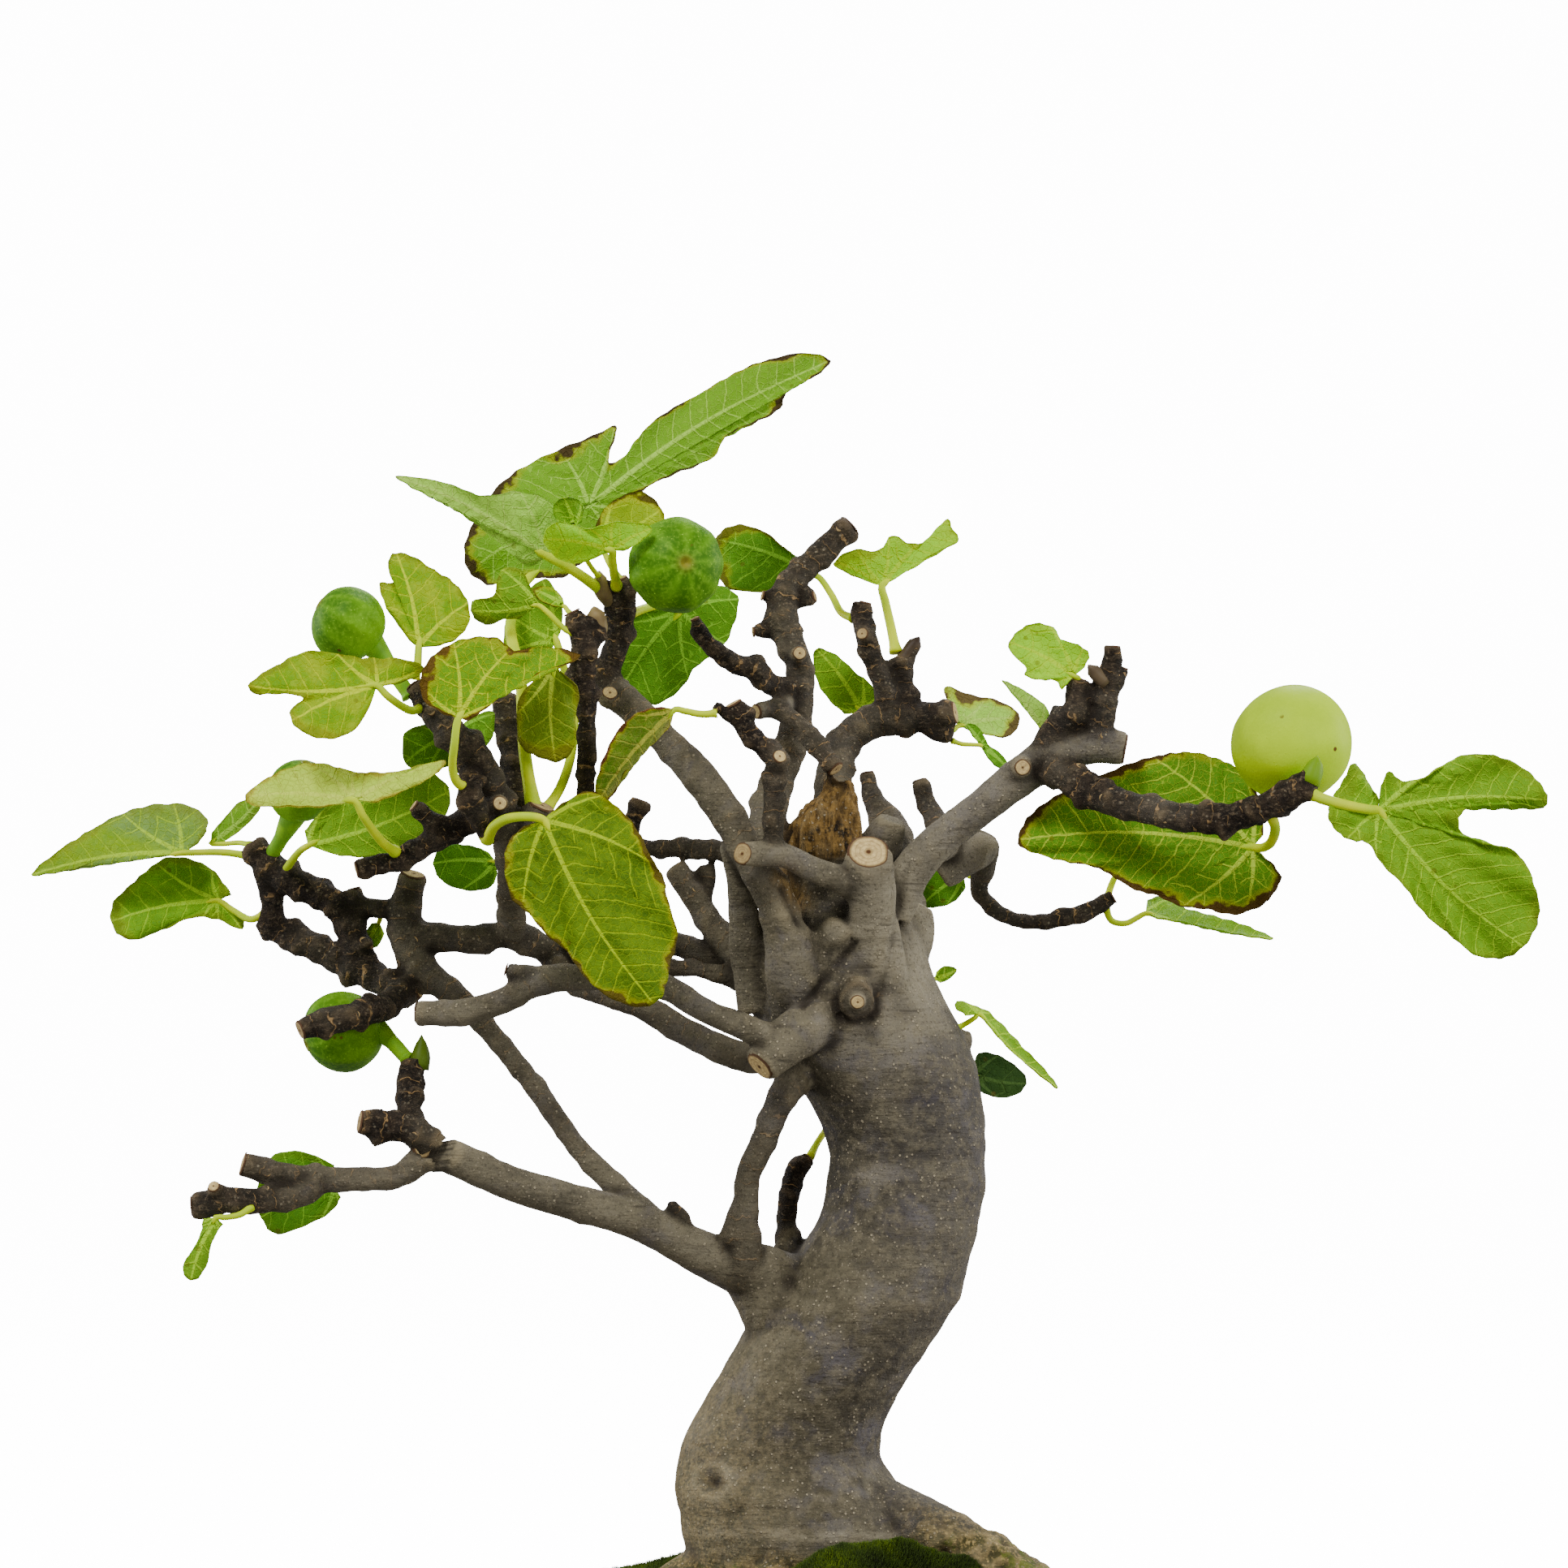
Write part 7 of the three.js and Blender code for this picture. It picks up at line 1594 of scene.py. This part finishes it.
def fig_object(name, fig):
    """A ribbed fruit on its stalk, with a ring of scales at its eye."""
    look = RIPE if name == "fig_ripe" else GREEN
    axis = unit(fig["eye"])
    side = unit(np.cross(axis, [0.2, 0.3, 0.93]))
    middle = spread_out(fig["centre"])
    profile, where = smooth_curve(FIG_PROFILE, 0.035)
    out, up = np.clip(profile[:, 0], 0, None), profile[:, 1]
    out[[0, -1]] = 0.004
    turn = circle(FIG_SIDES)
    wander = 0.8 * np.sin(turn * 2) + 0.7 * up[:, None] * np.sin(turn * 3)
    ribs = 0.5 + 0.5 * np.cos(turn * look["ribs"] + wander)
    spread = out[:, None] * (1 + look["deep"] * np.cos(np.clip(up, -1, 1) * 1.5)[:, None] * (ribs - 0.5))
    dent = (up > 0) * (0.035 * gauss(out - 0.14, 0.06) - 0.05 * gauss(out, 0.1))
    ring = side * np.cos(turn)[:, None] + np.cross(axis, side) * np.sin(turn)[:, None]
    rise = fig["tall"] * (up + dent)[:, None, None] * axis
    flat = (middle + fig["radius"] * spread[..., None] * ring + rise).reshape(-1, 3)
    lumps = noise_at(flat, 9, 11) * 0.35 + noise_at(flat, 24, 17) * 0.7
    flat = flat + unit(flat - middle) * lumps[:, None]
    faces = [face[::-1] for face in ring_faces(len(profile), FIG_SIDES)]
    start = spread_out(fig["foot"])
    end = middle - axis * fig["tall"] * 0.7
    path, place = smooth_curve([start, start + (end - start) * 0.5 - axis * 0.6, end], 0.8)
    rings = plain_tube(path, np.interp(place, [0, 0.15, 1, 2], [2.9, 2.2, 2.4, 4.4]), STALK_SIDES)
    obj = mesh_object(
        name.replace("fig", "fruit"), np.vstack([flat, rings.reshape(-1, 3)]),
        faces + ring_faces(len(path), STALK_SIDES, len(flat)), [look["paint"], fig_stalk_paint])
    second_material(obj.data, len(faces))
    tail = np.zeros(len(path) * STALK_SIDES)
    eye = np.clip(gauss(out, 0.15) * (up > 0) * 1.3, 0, 1)
    for key, values in {
        "tall": np.repeat(0.5 - up * 0.5, FIG_SIDES), "ribs": (ribs * (out > 0.1)[:, None]).ravel() ** 2,
        "eye": np.repeat(eye, FIG_SIDES)
    }.items():
        point_attribute(obj.data, key, np.concatenate([values, tail]))
    seat(obj, look["slot"], name)


for name, fig in FIGS.items():
    fig_object(name, fig)

# Soil, moss and pot

POT_LENGTH, POT_WIDTH, POT_HEIGHT, POT_WALL, FOOT_HEIGHT, FLOOR_TOP = 280.0, 208.0, 76.0, 7.0, 8.0, 16.0
SOIL_EDGE, MOUND, DRAIN_RADIUS, DRAIN_X = 69.0, 13.0, 8.0, 58.0
FOOT_X, FOOT_Y = 76, 44             # the feet's middles from the pot's middle
FOOT_A, FOOT_B = 15, 11             # half the length and width of a foot
LIP_INNER = POT_WALL + 3
WALL_INNER = POT_WALL + 9           # inset of the wall's inside below the lip
WALL_TOP = POT_HEIGHT - 24          # where that inside begins to slope towards the lip
RIM_A, RIM_B = POT_LENGTH / 2 - LIP_INNER - 2.6, POT_WIDTH / 2 - LIP_INNER - 2.6
# The pot's inset and height from its floor outside, over the lip, to its floor inside
POT_PROFILE = [
    [24, FOOT_HEIGHT], [20.5, FOOT_HEIGHT + 1.2], [18, FOOT_HEIGHT + 5], [13, 34], [6.5, POT_HEIGHT - 12.6],
    [5.2, POT_HEIGHT - 11.6], [1.2, POT_HEIGHT - 9.4], [0, POT_HEIGHT - 8.2], [0, POT_HEIGHT - 2.4],
    [0.7, POT_HEIGHT - 0.8], [2.4, POT_HEIGHT], [LIP_INNER - 1, POT_HEIGHT], [LIP_INNER, POT_HEIGHT - 1],
    [WALL_INNER, WALL_TOP], [25, FLOOR_TOP + 6], [31, FLOOR_TOP]
]
# How far a foot's outline grows, at each height
FOOT_PROFILE = [[-1.2, 0], [0, 1.0], [1.6, 6], [3, FOOT_HEIGHT + 4]]
SOIL_PROFILE = [[31.5, FLOOR_TOP + 1.6], [25.5, FLOOR_TOP + 6.2], [WALL_INNER + 0.5, WALL_TOP]]
GRAINS = 7000
HEAP_GRAINS = 420
HEAP = np.array([92, -23])          # the grains heaped over the root's end
MOSS_X = 6                          # the moss's middle, right of the pot's
MOSS_FLAT = 0.88                    # its depth over its width
MOSS_SEAT = 0.5
MOSS_SIDES = 150
# Cushions in the moss: [x, y, height, width]
CUSHIONS = [
    [14, -48, 12, 15], [36, -42, 13, 14], [58, -33, 9, 12], [-24, -38, 2, 12], [-30, 24, 3, 14],
    [30, 40, 5, 14]
]
SHOOTS = 20000
EDGE_SHOOTS = 6500
CUSHION_SHOOTS = 330                # for each millimetre of a cushion's height
TUFTS, TUFT_SHOOTS = 34, 60
BLADES = 4                          # blades of a shoot


def mound(x, y):
    """Height of the soil."""
    share = np.minimum(1, ((x - 5) / RIM_A) ** 2 + (y / RIM_B) ** 2)
    return SOIL_EDGE + MOUND * (1 - share) ** 1.3


def moss_reach(turn):
    return 66 + 7 * np.sin(3 * turn + 0.6) + 4 * np.sin(7 * turn)


def moss_spot(turn, reach):
    """x and y of a place in the moss, by its direction and distance from the middle."""
    return MOSS_X + reach * np.cos(turn), MOSS_FLAT * reach * np.sin(turn)


def moss_out(x, y):
    """How far out a place lies in the moss, from 0 in the middle to 1 at the edge."""
    return np.hypot(x - MOSS_X, y / MOSS_FLAT) / moss_reach(np.arctan2(y / MOSS_FLAT, x - MOSS_X))


def moss_height(x, y):
    """Height of the moss, with its edge rounded down to the soil."""
    low = mound(x, y) + MOSS_SEAT + 1
    high = low + 0.8 + 0.5 * np.sin(x * 0.9) * np.sin(y * 0.8)
    for cx, cy, height, width in CUSHIONS:
        high = high + height * np.exp(-((x - cx) ** 2 + (y - cy) ** 2) / width ** 2)
    share = np.sqrt(1 - (1 - np.clip((0.99 - moss_out(x, y)) / 0.08, 0, 1)) ** 2)
    return low + (high - low) * share


def oval(a, b, z, sides, cx=0.0, cy=0.0):
    turn = circle(sides)
    x, y = cx + CENTRE_X + a * np.cos(turn), cy + b * np.sin(turn)
    return np.stack([x, y, np.broadcast_to(z, turn.shape)], -1)


def pot_ovals(profile, sides):
    return [oval(POT_LENGTH / 2 - inset, POT_WIDTH / 2 - inset, z, sides) for inset, z in profile]


def trim(target, tool, operation):
    """Applies a Boolean with the tool and removes the tool."""
    with_modifier(target, "BOOLEAN", operation=operation, object=tool, solver="EXACT")
    bpy.data.objects.remove(tool)


def pot_object():
    """The oval pot with softened edges, four feet and two drain holes."""
    shell = solid("pot_clay", pot_ovals(POT_PROFILE, 144))
    for sx in (-1, 1):
        for sy in (-1, 1):
            foot = [oval(FOOT_A + grow, FOOT_B + grow, z, 40, sx * FOOT_X, sy * FOOT_Y)
                    for grow, z in FOOT_PROFILE]
            trim(shell, solid("foot", foot), "UNION")
        hole = [oval(DRAIN_RADIUS, DRAIN_RADIUS, z, 40, sx * DRAIN_X)
                for z in (FOOT_HEIGHT - 2, FLOOR_TOP + 2)]
        trim(shell, solid("hole", hole), "DIFFERENCE")
    shell.data.materials.clear()
    shell.data.materials.append(clay_paint())
    shell.data.shade_smooth()
    shell.data.set_sharp_from_angle(angle=math.radians(38))
    seat(shell, "pot", "pot")


def grains(name, spots, sizes, seed, paint, slot):
    """Small rough stones at spots, each a squashed twenty-sided lump."""
    dice = np.random.default_rng(seed)
    count = len(spots)
    g = (1 + 5 ** 0.5) / 2
    corners = np.array([
        [-1, g, 0], [1, g, 0], [-1, -g, 0], [1, -g, 0], [0, -1, g], [0, 1, g], [0, -1, -g], [0, 1, -g],
        [g, 0, -1], [g, 0, 1], [-g, 0, -1], [-g, 0, 1]]) / 1.9
    sides = np.array([
        [0, 11, 5], [0, 5, 1], [0, 1, 7], [0, 7, 10], [0, 10, 11], [1, 5, 9], [5, 11, 4], [11, 10, 2],
        [10, 7, 6], [7, 1, 8], [3, 9, 4], [3, 4, 2], [3, 2, 6], [3, 6, 8], [3, 8, 9], [4, 9, 5], [2, 4, 11],
        [6, 2, 10], [8, 6, 7], [9, 8, 1]])
    size = dice.uniform(*sizes, count)
    shape = corners[None] * dice.uniform(0.6, 1.1, (count, 1, 3))
    shape = shape * (1 + dice.uniform(-0.16, 0.16, (count, 12, 1)))
    turn = dice.uniform(0, 2 * np.pi, count)
    cos, sin = np.cos(turn)[:, None], np.sin(turn)[:, None]
    x = shape[..., 0] * cos - shape[..., 1] * sin
    y = shape[..., 0] * sin + shape[..., 1] * cos
    shape = np.stack([x, y, shape[..., 2]], -1) * size[:, None, None] + spots[:, None]
    faces = (sides[None] + 12 * np.arange(count)[:, None, None]).reshape(-1, 3).tolist()
    obj = mesh_object(name, shape.reshape(-1, 3), faces, [paint], smooth=False)
    point_attribute(obj.data, "shade", np.repeat(dice.uniform(0, 1, count), 12))
    seat(obj, slot)


def soil_object():
    """The soil bed under thousands of grains, with a heap of them over the root's end."""
    rings = pot_ovals(SOIL_PROFILE, 96) + [oval(RIM_A, RIM_B, SOIL_EDGE - 2, 96)]
    for scale in np.linspace(0.985, 0.06, 34):
        ring = oval(RIM_A * scale, RIM_B * scale, 0, 96)
        ring[:, 2] = mound(ring[:, 0] - CENTRE_X, ring[:, 1])
        ring[:, 2] += noise_at(ring, 5, 20) * 0.5 - 0.5
        rings.append(ring)
    paint = ground_paint("soil", (40, 30, 24), (74, 58, 46), (128, 104, 80), 1.6)
    soil = solid("soil_bed", rings, [paint])
    point_attribute(soil.data, "shade", 0.3 + 0.3 * noise_at(mesh_places(soil.data), 3, 21))
    seat(soil, "soil", "soil")
    dice = np.random.default_rng(3)
    spots = dice.uniform(-1, 1, (10400, 2))
    spots = spots[np.hypot(*spots.T) < 0.97][:GRAINS] * [RIM_A, RIM_B]
    x, y = spots.T
    turn = np.arctan2(y / MOSS_FLAT, x - MOSS_X)
    spots = spots[np.hypot(x - MOSS_X, y / MOSS_FLAT) > moss_reach(turn) - 3]
    heap = dice.normal(0, 1, (HEAP_GRAINS, 2)) * [7, 6] + HEAP
    z = mound(*spots.T) + dice.uniform(-0.5, 0.5, len(spots))
    rise = 3.6 * gauss(np.hypot(*(heap - HEAP).T), 9)
    z = np.concatenate([z, mound(*heap.T) + rise * dice.uniform(0.2, 1, HEAP_GRAINS)])
    x, y = np.vstack([spots, heap]).T
    grains("soil_grains", np.stack([x + CENTRE_X, y, z], -1), (1.0, 2.3), 4, paint, "soil")


def moss_ring(share, height):
    """A ring of the moss's bed, a share of the way to its edge. height gives z from x and y."""
    x, y = moss_spot(circle(MOSS_SIDES), moss_reach(circle(MOSS_SIDES)) * share)
    return np.stack([x + CENTRE_X, y, height(x, y)], -1)


def moss_object():
    """Cushions of moss with thousands of pointed shoots."""
    rings = [moss_ring(share, lambda x, y: mound(x, y) + MOSS_SEAT + lift)
             for share, lift in ((0.4, 0.2), (0.7, 0.2), (0.97, 0.2), (1.0, 0.5), (0.99, 1.0))]
    rounded = 0.99 - 0.08 * (1 - np.cos(np.linspace(0.1, 1.5, 9)))
    for share in [*rounded, *np.linspace(0.9, 0.36, 42)]:
        ring = moss_ring(share, moss_height)
        ring[:, 2] += noise_at(ring, 4, 30) * 0.5
        rings.append(ring)
    paint = ground_paint("moss", (38, 48, 13), (74, 96, 22), (130, 148, 40), 1.1)
    bed = solid("moss_bed", rings, [paint])
    point_attribute(bed.data, "shade", 0.3 + 0.35 * noise_at(mesh_places(bed.data), 5, 31))
    seat(bed, "moss", "moss")

    # Shoots over the whole of the moss, more on its cushions and at its edge
    dice = np.random.default_rng(5)
    turn = dice.uniform(0, 2 * np.pi, SHOOTS)
    spots = [moss_spot(turn, np.sqrt(dice.uniform(0.3, 0.98, SHOOTS)) * moss_reach(turn))]
    for cx, cy, height, width in CUSHIONS:
        count = int(height * CUSHION_SHOOTS)
        spots.append([c + dice.normal(0, width * 0.62, count) for c in (cx, cy)])
    turn = dice.uniform(0, 2 * np.pi, EDGE_SHOOTS)
    edge = 0.995 - 0.085 * (1 - np.cos(dice.uniform(0, 1.6, EDGE_SHOOTS)))
    spots.append(moss_spot(turn, edge * moss_reach(turn)))
    x, y = np.hstack(spots)
    inside = moss_out(x, y) < 1
    x, y = x[inside], y[inside]
    z = moss_height(x, y) - 0.1
    steep = np.clip((moss_out(x, y) - 0.9) / 0.09, 0, 1)
    lean = np.stack([x - MOSS_X, y, x * 0], -1) * (steep * 1.3 / 60)[:, None]

    # Small tufts on the soil round the moss
    turn = np.repeat(dice.uniform(0, 2 * np.pi, TUFTS), TUFT_SHOOTS)
    tuft = moss_spot(turn, np.repeat(dice.uniform(1.02, 1.22, TUFTS), TUFT_SHOOTS) * moss_reach(turn))
    size = np.repeat(dice.uniform(1.2, 3.4, TUFTS), TUFT_SHOOTS)
    tuft_x, tuft_y = (c + dice.normal(0, 1, len(size)) * size for c in tuft)
    x, y = np.concatenate([x, tuft_x]), np.concatenate([y, tuft_y])
    z = np.concatenate([z, mound(tuft_x, tuft_y) + 0.1])
    count = len(x)
    lean = np.vstack([lean, np.zeros((len(size), 3))])
    foot = np.stack([x + CENTRE_X, y, z], -1)
    spin = dice.uniform(0, 2 * np.pi, (count, 1)) + circle(BLADES)[None]
    tall = dice.uniform(1.2, 2.7, (count, 1)) * np.ones((1, BLADES))
    out = np.stack([np.cos(spin), np.sin(spin), np.zeros_like(spin)], -1)
    wide = np.stack([-np.sin(spin), np.cos(spin), np.zeros_like(spin)], -1) * 0.38
    low = foot[:, None] + out * 0.12
    high = foot[:, None] + out * dice.uniform(0.5, 1.0, (count, BLADES, 1)) + lean[:, None]
    high[..., 2] += tall
    points = np.stack([low - wide, low + wide, high], 2).reshape(-1, 3)
    faces = np.arange(len(points)).reshape(-1, 3).tolist()
    shoots = mesh_object("moss_shoots", points, faces, [paint], smooth=False)
    patch = 0.45 + 0.4 * noise_at(foot, 8, 32)
    shade = np.clip(patch[:, None] + dice.uniform(-0.25, 0.25, (count, BLADES)), 0, 1)
    point_attribute(shoots.data, "shade", (shade[..., None] + [-0.2, -0.2, 0.2]).ravel())
    seat(shoots, "moss")


pot_object()
soil_object()
moss_object()
screens = screen_paint()
for name in ("drain_screen_left", "drain_screen_right"):
    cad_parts[name].data.materials.clear()
    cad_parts[name].data.materials.append(screens)

# Buds: pointed, green or brown, on the tips of the twigs

BUD_SIDES = 20
bud_green = stalk_paint("bud_green", (120, 150, 40), (160, 170, 60))
bud_dark = stalk_paint("bud_dark", (66, 92, 30), (96, 118, 40))
bud_brown = stalk_paint("bud_brown", (58, 46, 36), (106, 92, 72))
bud_paper = stalk_paint("bud_paper", (112, 96, 66), (160, 146, 110))


def bud_object(name, limb, paint, slot):
    """A pointed bud of overlapping scales over a short limb of the wood."""
    line, radius, run = limb_line(LIMBS[limb])
    line = np.vstack([line, line[-1] + tangents_of(line)[-1] * np.array([[0.9], [1.7], [2.3]])])
    radius = np.concatenate([radius * 1.08 + 0.35, radius[-1] * np.array([0.85, 0.5, 0.08])])
    part = np.linspace(0, 1, len(line))[:, None]
    scales = 1 + 0.07 * np.sin(circle(BUD_SIDES) * 2 + part * 9) * np.sin(np.pi * part)
    seat(solid(name, tube_rings(line, radius[:, None] * scales), [paint]), slot)


bud_object("bud_fig_twig", "c_low_bud", bud_green, "young_leaf")
bud_object("bud_low_twig", "j3_bud", bud_dark, "young_leaf")
bud_object("bud_right_twig", "c_bud", bud_brown, "bark")
bud_object("bud_top_twig", "a_bud", bud_paper, "bark")
bud_object("bud_fork_twig", "v_stub", bud_paper, "bark")
bud_object("bud_back_twig", "g_tip", bud_brown, "bark")

# Stage: a pale floor that rises into a pale wall far behind, soft light and the camera

# Radius and height of the floor and wall, in metres
BOWL = [[0.01, 0], [0.5, 0], [6, 0], [8, 0.2], [9.2, 0.9], [10, 2.2], [10.3, 9]]
BOWL_SIDES = 64
WHITE = (1, 1, 1, 1)
# Lamps: place, target height, size, power
LAMPS = {
    "key": ((-0.9, -1.6, 2.4), 0.28, 0.8, 50), "fill": ((1.9, -2.0, 1.2), 0.28, 1.2, 30),
    "rim": ((0.5, 1.8, 2.1), 0.3, 1.2, 30), "edge_left": ((-2.3, 0.7, 0.7), 0.25, 1.6, 34),
    "edge_right": ((2.3, 0.7, 0.8), 0.25, 1.6, 34)
}
WORLD_LIGHT = 0.4


def in_scene(name, data):
    obj = bpy.data.objects.new(name, data)
    bpy.context.scene.collection.objects.link(obj)
    return obj


turn = circle(BOWL_SIDES)
rings = [np.stack([r * np.cos(turn), r * np.sin(turn), turn * 0 + z], -1) / MM for r, z in BOWL]
backdrop = mesh_object("backdrop", np.concatenate(rings), ring_faces(len(BOWL), BOWL_SIDES, caps=False))
floor = Paint("backdrop")
x, y = floor.parts(floor.places())[:2]
glow = floor.math("SQRT", x * x + y * y).step(250, 950, 1.2, 14.0)
backdrop.data.materials.append(floor.done(
    (0.9, 0.9, 0.9, 1), 0.9, 0.0, Emission_Color=WHITE, Emission_Strength=glow))
backdrop.visible_diffuse = backdrop.visible_glossy = False

for name, (place, height, size, power) in LAMPS.items():
    data = bpy.data.lights.new(name, "AREA")
    data.shape, data.size, data.energy = "DISK", size, power
    light = in_scene(name, data)
    light.location = place
    light.rotation_euler = (Vector((0, 0, height)) - Vector(place)).to_track_quat("-Z", "Y").to_euler()

world = bpy.data.worlds.new("studio")
world.use_nodes = True
world.node_tree.nodes["Background"].inputs["Color"].default_value = WHITE
world.node_tree.nodes["Background"].inputs["Strength"].default_value = WORLD_LIGHT
bpy.context.scene.world = world

camera = in_scene("photo_view", bpy.data.cameras.new("photo_view"))
camera.data.sensor_fit = "HORIZONTAL"
camera.data.sensor_width = 36
camera.data.lens = camera.data.sensor_width * VIEW / PHOTO_WIDE
camera.data.clip_end = 50
camera.location = ((VIEW_X + CENTRE_X) * MM, -VIEW * MM, VIEW_Z * MM)
camera.rotation_euler = (math.pi / 2, 0, 0)
bpy.context.scene.camera = camera
